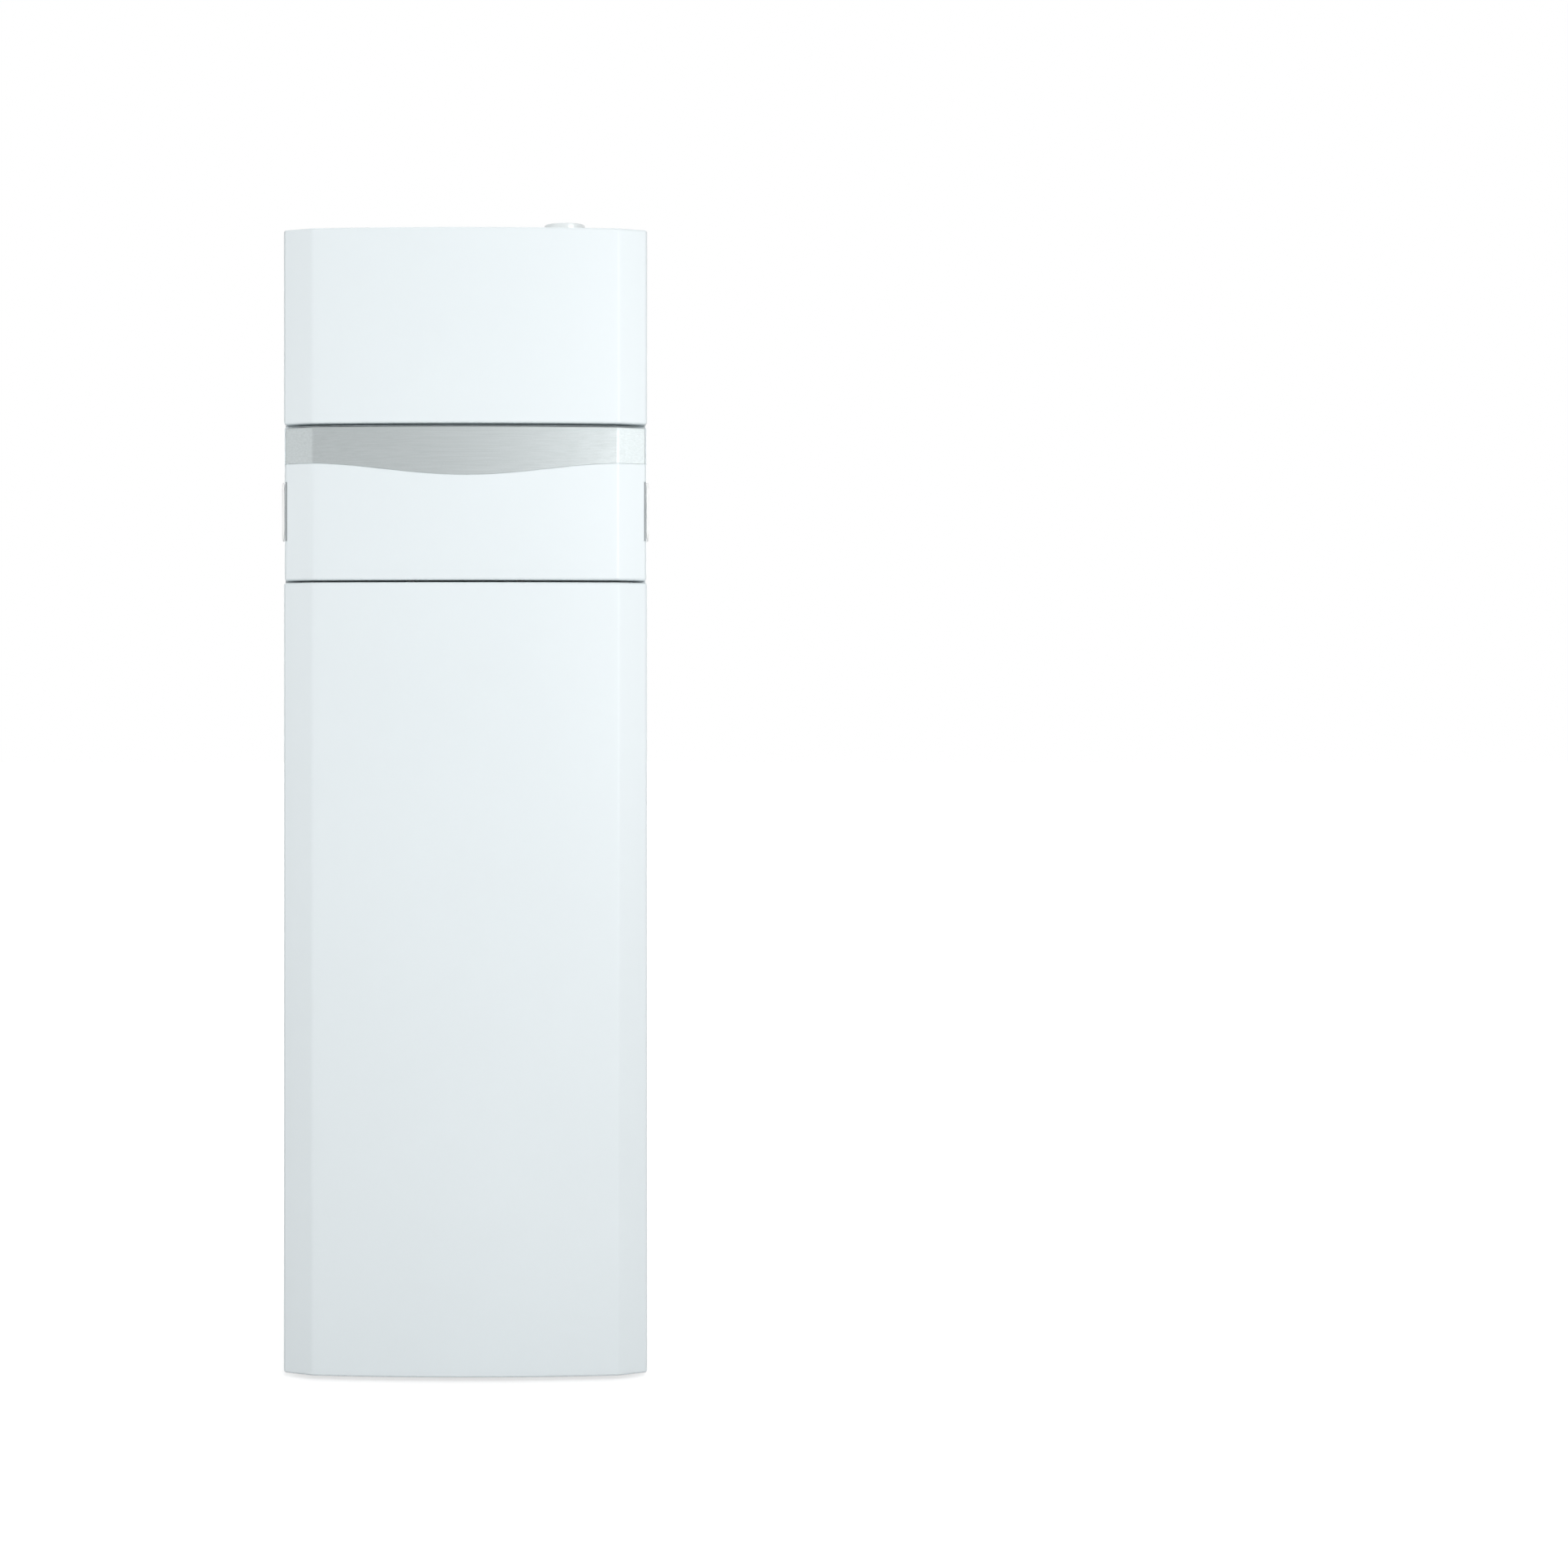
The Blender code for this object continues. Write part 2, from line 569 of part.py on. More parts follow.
def add_piece(name, shape, finish, group, origin=None):
    """A visible piece of the boiler, parented to its assembly or joint."""
    place = Vector(origin if origin is not None else group["place"])
    obj = object_from(name, shape, place, group)
    obj.location = place - Vector(group["place"])
    obj.data.materials.append(finish_material(finish))
    obj.data.shade_smooth()
    obj.data.set_sharp_from_angle(angle=SMOOTH_ANGLE)
    obj["place"] = tuple(place)
    return obj


def combine(obj, shape, operation):
    """Joins, cuts or intersects a piece with a hidden helper shape drawn in cabinet coordinates."""
    tool = object_from(f"{obj.name}_{operation.lower()}", shape, obj["place"], obj)
    tool.hide_render = True
    tool.display_type = "WIRE"
    tool["place"] = obj["place"]
    modifier = obj.modifiers.new(tool.name, "BOOLEAN")
    modifier.operation = operation
    modifier.solver = "EXACT"
    modifier.object = tool
    return tool


def join(obj, *shapes):
    for shape in shapes:
        combine(obj, shape, "UNION")


def cut(obj, *shapes):
    for shape in shapes:
        combine(obj, shape, "DIFFERENCE")


def gathered(shapes):
    """Several shapes that don't touch each other, as one."""
    whole = bmesh.new()
    for shape in shapes:
        mesh = bpy.data.meshes.new("gathered")
        shape.to_mesh(mesh)
        shape.free()
        whole.from_mesh(mesh)
        bpy.data.meshes.remove(mesh)
    return whole


def box(left, right, front, rear, bottom, top):
    """A block between two planes along each axis."""
    shape = bmesh.new()
    bmesh.ops.create_cube(shape, size=1)
    size = Vector((right - left, rear - front, top - bottom))
    centre = Vector((right + left, rear + front, top + bottom)) / 2
    bmesh.ops.transform(
        shape, verts=shape.verts, matrix=Matrix.Translation(centre) @ Matrix.Diagonal((*size, 1))
    )
    return shape


def rounded_box(left, right, front, rear, bottom, top, radius, steps=1):
    """A block with all its edges rounded."""
    shape = box(left, right, front, rear, bottom, top)
    bmesh.ops.bevel(
        shape, geom=shape.edges[:], offset=radius, segments=steps, profile=0.5, affect="EDGES"
    )
    return shape


def on_axis(axis, first, second, along):
    """A point from two coordinates across an axis and one along it."""
    if axis == "X":
        return Vector((along, first, second))
    if axis == "Y":
        return Vector((first, along, second))
    return Vector((first, second, along))


def prism(outline, low, high, axis="Z"):
    """A closed outline drawn across an axis and extruded between two places on it."""
    shape = bmesh.new()
    base = shape.faces.new([shape.verts.new(on_axis(axis, *point, low)) for point in outline])
    grown = bmesh.ops.extrude_face_region(shape, geom=[base])
    moved = [part for part in grown["geom"] if isinstance(part, bmesh.types.BMVert)]
    bmesh.ops.translate(shape, verts=moved, vec=on_axis(axis, 0, 0, high - low))
    return shape


def arc(centre, radius, start, end, steps):
    """Points on an arc between two angles, both ends included."""
    angles = [start + (end - start) * step / steps for step in range(steps + 1)]
    return [
        (centre[0] + radius * math.cos(angle), centre[1] + radius * math.sin(angle))
        for angle in angles
    ]


def circle(centre, radius, sides):
    return arc(centre, radius, 0, 2 * math.pi, sides)[:-1]


def cylinder(axis, centre, radius, low, high, sides=ROUND_SIDES):
    """A cylinder along an axis, its centre given by the two coordinates across that axis."""
    return prism(circle(centre, radius, sides), low, high, axis)


def turned(profile, axis, centre, sides=ROUND_SIDES, sweep=2 * math.pi, start=0):
    """A closed profile of radius and height turned about an axis; part of a turn gets flat ends."""
    shape = bmesh.new()
    whole = abs(sweep - 2 * math.pi) < MERGE
    count = sides if whole else sides + 1
    rings = []
    for step in range(count):
        angle = start + sweep * step / sides
        rings.append(
            [
                shape.verts.new((radius * math.cos(angle), radius * math.sin(angle), height))
                for radius, height in profile
            ]
        )
    for step in range(sides):
        ring, following = rings[step], rings[(step + 1) % count]
        for point in range(len(profile)):
            after = (point + 1) % len(profile)
            if max(profile[point][0], profile[after][0]) > MERGE:
                shape.faces.new((ring[point], ring[after], following[after], following[point]))
    if not whole:
        shape.faces.new(rings[0])
        shape.faces.new(rings[-1])
    bmesh.ops.remove_doubles(shape, verts=shape.verts, dist=MERGE)
    turn = {"X": Matrix.Rotation(math.pi / 2, 4, "Y"), "Y": Matrix.Rotation(-math.pi / 2, 4, "X")}
    place = on_axis(axis, *centre, 0)
    bmesh.ops.transform(
        shape,
        verts=shape.verts,
        matrix=Matrix.Translation(place) @ turn.get(axis, Matrix.Identity(4)),
    )
    return shape


def offset_line(points, distance):
    """An open line moved to its left by a distance, with mitred corners."""
    points = [Vector(point) for point in points]
    normals = []
    for start, end in zip(points, points[1:]):
        run = (end - start).normalized()
        normals.append(Vector((-run.y, run.x)))
    moved = [points[0] + normals[0] * distance]
    for point, before, after in zip(points[1:-1], normals, normals[1:]):
        mitre = (before + after).normalized()
        moved.append(point + mitre * (distance / mitre.dot(after)))
    moved.append(points[-1] + normals[-1] * distance)
    return moved


def folded_sheet(line, thickness, low, high, axis):
    """A sheet bent along an open line and extruded along an axis; its thickness lies to the line's left."""
    inner = offset_line(line, thickness)
    return prism([Vector(point) for point in line] + inner[::-1], low, high, axis)


def rounded_route(corners, bend, steps=BEND_STEPS):
    """A route through corners, each one rounded by an arc of the bend radius."""
    corners = [Vector(corner) for corner in corners]
    route = [corners[0]]
    for before, corner, after in zip(corners, corners[1:], corners[2:]):
        back = (before - corner).normalized()
        ahead = (after - corner).normalized()
        half = back.angle(ahead) / 2
        reach = bend / math.tan(half)
        middle = corner + (back + ahead).normalized() * (bend / math.sin(half))
        first = corner + back * reach - middle
        last = corner + ahead * reach - middle
        turn = first.angle(last)
        hinge = first.cross(last).normalized()
        for step in range(steps + 1):
            route.append(middle + Matrix.Rotation(turn * step / steps, 3, hinge) @ first)
    route.append(corners[-1])
    return route


def swept(route, radius, sides=PIPE_SIDES):
    """A round bar along a route, with flat ends."""
    shape = bmesh.new()
    across = (route[1] - route[0]).orthogonal().normalized()
    rings = []
    for place, point in enumerate(route):
        before = point - route[max(place - 1, 0)]
        after = route[min(place + 1, len(route) - 1)] - point
        ahead = (before.normalized() + after.normalized()).normalized()
        across = (across - ahead * across.dot(ahead)).normalized()
        beside = ahead.cross(across)
        rings.append(
            [shape.verts.new(point + across * x + beside * y) for x, y in circle((0, 0), radius, sides)]
        )
    for ring, following in zip(rings, rings[1:]):
        for side in range(sides):
            after = (side + 1) % sides
            shape.faces.new((ring[side], ring[after], following[after], following[side]))
    shape.faces.new(rings[0])
    shape.faces.new(rings[-1])
    return shape


def both_sides(make):
    """Calls a maker for the left and the right side, with the side's name and its sign along X."""
    for side, sign in (("left", -1), ("right", 1)):
        make(side, sign)


def front_line(half_width, rear):
    """Plan of a front from its left rear corner round the chamfers and the crown to its right rear corner."""
    inner = half_width - CHAMFER_WIDTH
    shoulder = SIDE_EDGE_PLANE - CHAMFER_DEPTH
    line = [(-half_width, rear), (-half_width, SIDE_EDGE_PLANE)]
    for step in range(CROWN_STEPS + 1):
        share = 2 * step / CROWN_STEPS - 1
        line.append((inner * share, shoulder - CROWN_DEPTH * (1 - share * share)))
    return line + [(half_width, SIDE_EDGE_PLANE), (half_width, rear)]


def front_solid(half_width, inset, bottom, top, rear):
    """A solid of that plan, drawn in by an inset all round and rounded along its outer edges."""
    shape = prism(offset_line(front_line(half_width, rear), inset), bottom + inset, top - inset)
    rounding = EDGE_ROUND - inset
    if rounding > SEAT:
        shape.edges.ensure_lookup_table()
        corner = SIDE_EDGE_PLANE + rounding
        edges = [
            edge
            for edge in shape.edges
            if min(point.co.y for point in edge.verts) < rear - MERGE
            and (
                abs(edge.verts[0].co.z - edge.verts[1].co.z) < MERGE
                or (
                    abs(edge.verts[0].co.x) > half_width - inset - MERGE
                    and edge.verts[0].co.y < corner
                )
            )
        ]
        bmesh.ops.bevel(
            shape, geom=edges, offset=rounding, segments=EDGE_STEPS, profile=0.5, affect="EDGES"
        )
    return shape


def hollow(half_width, wall, bottom, top, rear):
    """What is cut from a front to leave its wall, open to the rear."""
    return front_solid(half_width, wall, bottom, top, rear + OVERRUN)


def stud_places(bottom, top):
    """Where the four locating studs of a cover sit: across and up."""
    across = PANEL_INSIDE - STUD_INSET
    levels = (bottom + STUD_END_DISTANCE, top - STUD_END_DISTANCE)
    return [(sign * across, level) for sign in (-1, 1) for level in levels]


def make_cover(name, group, bottom, top):
    """A folded front cover with four studs that push into the front flanges of the side panels."""
    cover = add_piece(
        name, front_solid(HALF_WIDTH, 0, bottom, top, COVER_REAR), "white_powder", group
    )
    cut(cover, hollow(HALF_WIDTH, SHEET, bottom, top, COVER_REAR))
    tab_front = COVER_REAR - STUD_TAB_DEPTH
    half_tab = STUD_TAB_HEIGHT / 2
    tabs, studs = [], []
    for across, level in stud_places(bottom, top):
        inner = math.copysign(abs(across) - STUD_TAB_INNER, across)
        outer = math.copysign(HALF_WIDTH - SHEET / 2, across)
        tabs.append(
            box(
                *sorted((inner, outer)),
                tab_front,
                tab_front + STUD_TAB_THICKNESS,
                level - half_tab,
                level + half_tab,
            )
        )
        studs.append(
            cylinder(
                "Y",
                (across, level),
                STUD_RADIUS,
                tab_front + STUD_TAB_THICKNESS / 2,
                COVER_REAR + STUD_LENGTH,
                PIPE_SIDES,
            )
        )
    join(cover, gathered(tabs), gathered(studs))


def make_base_tray(casing):
    """The pan that the store stands on, with upturned edges and a hole for each foot."""
    half = PANEL_INSIDE - TRAY_INSET
    front = CASING_FRONT + TRAY_INSET + SHEET
    rear = REAR_INSIDE - TRAY_INSET
    tray = add_piece(
        "base_tray", box(-half, half, front, rear, TRAY_LEVEL, TRAY_LEVEL + TRAY_RIM), "galvanised", casing
    )
    cut(
        tray,
        box(
            -half + TRAY_SHEET,
            half - TRAY_SHEET,
            front + TRAY_SHEET,
            rear - TRAY_SHEET,
            TRAY_LEVEL + TRAY_SHEET,
            TRAY_LEVEL + TRAY_RIM + OVERRUN,
        ),
    )
    hole = FOOT_STUD_RADIUS + FOOT_HOLE_CLEARANCE
    ends = (TRAY_LEVEL - OVERRUN, TRAY_LEVEL + TRAY_SHEET + OVERRUN)
    cut(tray, gathered([cylinder("Z", place, hole, *ends, BOLT_SIDES) for place in foot_places().values()]))


def foot_places():
    across = HALF_WIDTH - FOOT_SIDE_INSET
    front = SIDE_EDGE_PLANE + FOOT_FRONT_INSET
    rear = REAR_FACE - FOOT_REAR_INSET
    return {
        "front_left": (-across, front),
        "front_right": (across, front),
        "rear_left": (-across, rear),
        "rear_right": (across, rear),
    }


def make_feet(casing):
    """Four turned levelling feet: a disc, a neck under the tray and a threaded stud through its hole."""
    top = TRAY_LEVEL - SEAT
    profile = [
        (0, 0),
        (FOOT_RADIUS - FOOT_CHAMFER, 0),
        (FOOT_RADIUS, FOOT_CHAMFER),
        (FOOT_RADIUS, FOOT_THICKNESS - FOOT_CHAMFER),
        (FOOT_RADIUS - FOOT_CHAMFER, FOOT_THICKNESS),
        (FOOT_NECK_RADIUS, FOOT_THICKNESS),
        (FOOT_NECK_RADIUS, top),
        (FOOT_STUD_RADIUS, top),
        (FOOT_STUD_RADIUS, top + FOOT_STUD_LENGTH),
        (0, top + FOOT_STUD_LENGTH),
    ]
    for side, place in foot_places().items():
        add_piece(
            f"foot_{side}", turned(profile, "Z", place, BOLT_SIDES), "dark_plastic", casing, (*place, 0)
        )


def make_side_panel(side, sign, casing):
    """A side panel folded inwards along its front and rear edges, with the holes for the covers' studs."""
    line = [
        (HALF_WIDTH - FRONT_FLANGE, CASING_FRONT),
        (HALF_WIDTH, CASING_FRONT),
        (HALF_WIDTH, REAR_INSIDE),
        (HALF_WIDTH - REAR_FLANGE, REAR_INSIDE),
    ]
    line = [(sign * across, depth) for across, depth in line]
    panel = add_piece(
        f"side_panel_{side}",
        folded_sheet(line, sign * SHEET, FLOOR_GAP, CABINET_TOP - SHEET - SEAT, "Z"),
        "white_powder",
        casing,
        (sign * HALF_WIDTH, 0, 0),
    )
    places = stud_places(FLOOR_GAP, LOWER_COVER_TOP) + stud_places(UPPER_COVER_BOTTOM, CABINET_TOP)
    holes = [
        cylinder(
            "Y",
            place,
            STUD_RADIUS + STUD_CLEARANCE,
            CASING_FRONT - OVERRUN,
            CASING_FRONT + OVERRUN,
            PIPE_SIDES,
        )
        for place in places
        if place[0] * sign > 0
    ]
    cut(panel, gathered(holes))


def make_rear_panel(casing):
    add_piece(
        "rear_panel",
        box(-HALF_WIDTH, HALF_WIDTH, REAR_FACE - SHEET, REAR_FACE, FLOOR_GAP, CABINET_TOP - SHEET - SEAT),
        "galvanised",
        casing,
        (0, REAR_FACE, 0),
    )


def make_top_panel(casing):
    """The top sheet with a front lip, a round hole for the flue and a long opening for the pipes."""
    lip = CASING_FRONT + SHEET + SEAT
    line = [
        (lip, CABINET_TOP - FOLD),
        (lip, CABINET_TOP - SHEET),
        (CASING_FRONT, CABINET_TOP - SHEET),
        (CASING_FRONT, CABINET_TOP),
        (REAR_FACE, CABINET_TOP),
        (REAR_FACE, CABINET_TOP - SHEET),
        (lip + SHEET, CABINET_TOP - SHEET),
        (lip + SHEET, CABINET_TOP - FOLD),
    ]
    panel = add_piece(
        "top_panel", prism(line, -HALF_WIDTH, HALF_WIDTH, "X"), "white_powder", casing, (0, 0, CABINET_TOP)
    )
    side_notch = HALF_WIDTH - FRONT_FLANGE - SEAT
    notches = [
        box(
            *sorted((sign * side_notch, sign * (HALF_WIDTH + OVERRUN))),
            CASING_FRONT - OVERRUN,
            lip + OVERRUN,
            CABINET_TOP - FOLD - OVERRUN,
            CABINET_TOP - SHEET,
        )
        for sign in (-1, 1)
    ]
    cut(panel, gathered(notches))
    opening_rear = REAR_FACE - PIPE_OPENING_REAR
    ends = (CABINET_TOP - SHEET - OVERRUN / 2, CABINET_TOP + OVERRUN)
    half = PIPE_OPENING_WIDTH / 2
    openings = [
        cylinder("Z", FLUE_PLACE, FLUE_HOLE_RADIUS, *ends),
        cylinder("Z", GLAND_PLACE, GLAND_RADIUS, *ends, BOLT_SIDES),
        box(-half, half, opening_rear - PIPE_OPENING_DEPTH, opening_rear, *ends),
    ]
    cut(panel, gathered(openings))


def make_shelf(name, casing, level, rear, holes):
    """A cross shelf between the side panels, folded down at front and rear, with round holes for pipes."""
    front = CASING_FRONT + SHEET + SEAT
    line = [(front, level - FOLD), (front, level), (rear, level), (rear, level - FOLD)]
    shelf = add_piece(
        name,
        folded_sheet(line, -SHEET, -PANEL_INSIDE, PANEL_INSIDE, "X"),
        "galvanised",
        casing,
        (0, 0, level),
    )
    ends = (level - SHEET - OVERRUN / 2, level + OVERRUN / 2)
    cut(
        shelf,
        gathered(
            [
                cylinder("Z", place, radius + PIPE_HOLE_CLEARANCE, *ends, BOLT_SIDES)
                for place, radius in holes
            ]
        ),
    )


def make_control_rail(casing):
    """A channel between the side panels that carries the control box and the flap's brackets."""
    front = CASING_FRONT + SHEET + SEAT
    top = RAIL_BOTTOM + RAIL_HEIGHT
    rear = front + RAIL_DEPTH
    line = [(rear, top), (front, top), (front, RAIL_BOTTOM), (rear, RAIL_BOTTOM)]
    add_piece(
        "control_rail",
        folded_sheet(line, RAIL_SHEET, -PANEL_INSIDE, PANEL_INSIDE, "X"),
        "galvanised",
        casing,
        (0, front, RAIL_BOTTOM),
    )


def make_flap_bracket(side, sign, casing):
    """A bracket on the control rail that reaches forward to the flap's axis, with its pin through the eye."""
    rear = CASING_FRONT + SHEET
    top = RAIL_BOTTOM + RAIL_HEIGHT - SEAT
    eye = arc((HINGE_Y, HINGE_Z), BRACKET_EYE_RADIUS, math.pi / 2, EYE_END, BRACKET_EYE_STEPS)
    outline = [(rear, eye[-1][1]), (rear, top), (CASING_FRONT - NOTCH_MARGIN, top)] + eye
    middle = sign * HINGE_OFFSET
    bracket = add_piece(
        f"flap_bracket_{side}",
        prism(outline, middle - BRACKET_THICKNESS / 2, middle + BRACKET_THICKNESS / 2, "X"),
        "galvanised",
        casing,
        (middle, HINGE_Y, HINGE_Z),
    )
    reach = BRACKET_THICKNESS / 2 + LUG_GAP + LUG_THICKNESS + LUG_GAP
    join(
        bracket,
        cylinder("X", (HINGE_Y, HINGE_Z), PIN_RADIUS, middle - reach, middle + reach, BOLT_SIDES),
    )


def wave_level(across):
    """Height of the band's lower edge: level at the sides, one smooth dip in the middle."""
    level = FLAP_TOP - BAND_HEIGHT
    if abs(across) >= BAND_WAVE_HALF:
        return level
    return level - BAND_DIP * (1 + math.cos(math.pi * across / BAND_WAVE_HALF)) / 2


def wave_region(drop, border, front, rear):
    """Everything between the wave, lowered by a drop, and the flap's top border, across the whole front."""
    half = HALF_WIDTH - FLAP_INSET - border
    places = [
        BAND_WAVE_HALF * (2 * step / WAVE_STEPS - 1) for step in range(WAVE_STEPS + 1)
    ]
    top = FLAP_TOP - border
    outline = [(-half, top), (-half, wave_level(half) - drop)]
    outline += [(across, wave_level(across) - drop) for across in places]
    outline += [(half, wave_level(half) - drop), (half, top)]
    return prism(outline, front, rear, "Y")


def swing_body():
    """The cylinder about the hinge that the flap must stay inside, to open past the upper cover."""
    radius = (FLAP_TOP - HINGE_Z) + SWING_CLEARANCE
    return cylinder(
        "X", (HINGE_Y, HINGE_Z), radius, -HALF_WIDTH - OVERRUN, HALF_WIDTH + OVERRUN, SWING_SIDES
    )


def make_flap_panel(flap):
    """The flap's moulding: a recess for the band, lugs on the hinge pins and notches round the brackets."""
    half = HALF_WIDTH - FLAP_INSET
    rear = SIDE_EDGE_PLANE + FLAP_RETURN
    panel = add_piece(
        "flap_panel", front_solid(half, 0, FLAP_BOTTOM, FLAP_TOP, rear), "white_moulding", flap
    )
    cut(panel, hollow(half, FLAP_WALL, FLAP_BOTTOM, FLAP_TOP, rear))
    recess = combine(
        panel,
        wave_region(BAND_SEAM, BAND_BORDER - BAND_SEAM, CROWN_FRONT - OVERRUN, SIDE_EDGE_PLANE + BAND_WRAP),
        "DIFFERENCE",
    )
    floor = BAND_RECESS + BAND_WALL + SEAT
    cut(recess, front_solid(half, floor, FLAP_BOTTOM, FLAP_TOP, rear + OVERRUN))
    for sign in (-1, 1):
        middle = sign * HINGE_OFFSET
        inner = BRACKET_THICKNESS / 2 + LUG_GAP
        notch = BRACKET_THICKNESS / 2 + NOTCH_MARGIN
        cut(
            panel,
            box(
                middle - notch,
                middle + notch,
                HINGE_Y - LUG_RADIUS / 2 - LUG_GAP,
                rear + OVERRUN,
                FLAP_BOTTOM - OVERRUN,
                FLAP_BOTTOM + FLAP_WALL + SEAT,
            ),
        )
        for beside in (-1, 1):
            edges = sorted((middle + beside * inner, middle + beside * (inner + LUG_THICKNESS)))
            lug = arc((HINGE_Y, HINGE_Z), LUG_RADIUS, -math.pi / 2, math.pi / 2, BRACKET_EYE_STEPS)
            skin = HINGE_Y - LUG_RADIUS - SHEET
            lug += [(skin, HINGE_Z + LUG_RADIUS), (skin, HINGE_Z - LUG_RADIUS)]
            join(panel, prism(lug, *edges, "X"))
        reach = inner + LUG_THICKNESS + LUG_GAP
        cut(
            panel,
            cylinder(
                "X",
                (HINGE_Y, HINGE_Z),
                PIN_RADIUS + PIN_CLEARANCE,
                middle - reach,
                middle + reach,
                BOLT_SIDES,
            ),
        )
        slot = sorted(
            sign * (half - GRIP_SLOT_FROM_EDGE - width) for width in (0, GRIP_SLOT_WIDTH)
        )
        window = sorted((sign * (half - FLAP_WALL - OVERRUN), sign * (half + OVERRUN)))
        cut(
            panel,
            box(
                *slot,
                CROWN_FRONT,
                SIDE_EDGE_PLANE + GRIP_SLOT_DEPTH,
                GRIP_CENTRE - GRIP_HEIGHT / 2,
                GRIP_CENTRE + GRIP_HEIGHT / 2,
            ),
            prism(grip_outline(GRIP_RIM - GRIP_WELL_WALL - SEAT), *window, "X"),
        )
    combine(panel, swing_body(), "INTERSECT")


def make_flap_band(flap):
    """The silver band: one thin curved strip in the flap's recess, its lower edge a smooth wave."""
    half = HALF_WIDTH - FLAP_INSET
    rear = SIDE_EDGE_PLANE + FLAP_RETURN
    band = add_piece(
        "flap_band", front_solid(half, BAND_RECESS, FLAP_BOTTOM, FLAP_TOP, rear), "silver_trim", flap
    )
    cut(band, hollow(half, BAND_RECESS + BAND_WALL, FLAP_BOTTOM, FLAP_TOP, rear))
    combine(
        band,
        wave_region(0, BAND_BORDER, CROWN_FRONT - OVERRUN, SIDE_EDGE_PLANE + BAND_WRAP - SEAT),
        "INTERSECT",
    )


def grip_outline(inset):
    """Side view of a grip: a slot shape drawn in by an inset."""
    radius = GRIP_WIDTH / 2 - inset
    centre = SIDE_EDGE_PLANE + GRIP_FRONT + GRIP_WIDTH / 2
    rise = (GRIP_HEIGHT - GRIP_WIDTH) / 2
    return arc((centre, GRIP_CENTRE + rise), radius, 0, math.pi, GRIP_ARC_STEPS) + arc(
        (centre, GRIP_CENTRE - rise), radius, math.pi, 2 * math.pi, GRIP_ARC_STEPS
    )


def make_flap_grip(side, sign, flap):
    """A grip on the flap's side: a proud rim round a finger well that passes through a window."""
    inside = HALF_WIDTH - FLAP_INSET
    outside = inside + GRIP_PROUD
    well = outside - GRIP_WELL_DEPTH
    centre = SIDE_EDGE_PLANE + GRIP_FRONT + GRIP_WIDTH / 2
    rim = sorted((sign * (inside + SEAT), sign * outside))
    cup = sorted((sign * (well - GRIP_WELL_WALL), sign * (outside - SHEET)))
    hole = sorted((sign * well, sign * (outside + OVERRUN)))
    grip = add_piece(
        f"flap_grip_{side}",
        prism(grip_outline(0), *rim, "X"),
        "light_plastic",
        flap,
        (sign * outside, centre, GRIP_CENTRE),
    )
    join(grip, prism(grip_outline(GRIP_RIM - GRIP_WELL_WALL), *cup, "X"))
    cut(grip, prism(grip_outline(GRIP_RIM), *hole, "X"))


def ring_level(radius, dome_radius, dome_height):
    """Height on an elliptical dome at a radius, above the dome's springing."""
    return dome_height * math.sqrt(1 - (radius / dome_radius) ** 2)


def store_floor():
    return TRAY_LEVEL + TRAY_SHEET + SEAT


def tank_shoulder():
    """Level where the store's upper dome springs, below the middle shelf."""
    return MIDDLE_SHELF_LEVEL - STORE_HEAD_SPACE


def tank_outline(offset, start, end, steps=TANK_DOME_STEPS):
    """Side of the tank between two radii on its lower and upper dome, moved out by an offset."""
    radius = TANK_RADIUS + offset
    dome = TANK_DOME + offset
    springing = store_floor() + TANK_PLINTH_HEIGHT + ring_level(TANK_PLINTH_RADIUS, TANK_RADIUS, TANK_DOME)
    shoulder = tank_shoulder()
    lower = math.acos(start / radius)
    upper = math.acos(end / radius)
    points = []
    for step in range(steps + 1):
        angle = lower * (1 - step / steps)
        points.append((radius * math.cos(angle), springing - dome * math.sin(angle)))
    for step in range(steps + 1):
        angle = upper * step / steps
        points.append((radius * math.cos(angle), shoulder + dome * math.sin(angle)))
    return points


def store_ports():
    return [
        cylinder("Z", place, PORT_RADIUS, PORT_ROOT, PORT_TOP, BOLT_SIDES)
        for place in (COLD_PORT, HOT_PORT, COIL_PORT)
    ]


def make_tank(store):
    """The welded tank on a ring plinth: domed shell, neck, three ports on top and a drain boss."""
    outline = tank_outline(0, 0, TANK_NECK_RADIUS)
    neck_top = outline[-1][1] + TANK_NECK_HEIGHT
    profile = [*outline, (TANK_NECK_RADIUS, neck_top), (0, neck_top)]
    tank = add_piece(
        "storage_tank",
        turned(profile, "Z", STORE_PLACE, STORE_SIDES),
        "enamel_tank",
        store,
        (*STORE_PLACE, store_floor()),
    )
    ring_top = store_floor() + TANK_PLINTH_HEIGHT + TANK_WALL
    ring = [
        (TANK_PLINTH_RADIUS - TANK_WALL, store_floor()),
        (TANK_PLINTH_RADIUS, store_floor()),
        (TANK_PLINTH_RADIUS, ring_top),
        (TANK_PLINTH_RADIUS - TANK_WALL, ring_top),
    ]
    boss = cylinder(
        "Y",
        (DRAIN_ACROSS, DRAIN_LEVEL),
        DRAIN_BOSS_RADIUS,
        DRAIN_BOSS_FRONT,
        STORE_PLACE[1] - TANK_RADIUS / 2,
        BOLT_SIDES,
    )
    join(tank, turned(ring, "Z", STORE_PLACE, STORE_SIDES), gathered(store_ports()), boss)
    inside = tank_outline(-TANK_WALL, 0, TANK_BUSH_RADIUS, TANK_DOME_STEPS - 1)
    inside += [(TANK_BUSH_RADIUS, neck_top + OVERRUN), (0, neck_top + OVERRUN)]
    cut(tank, turned(inside, "Z", STORE_PLACE, STORE_SIDES))


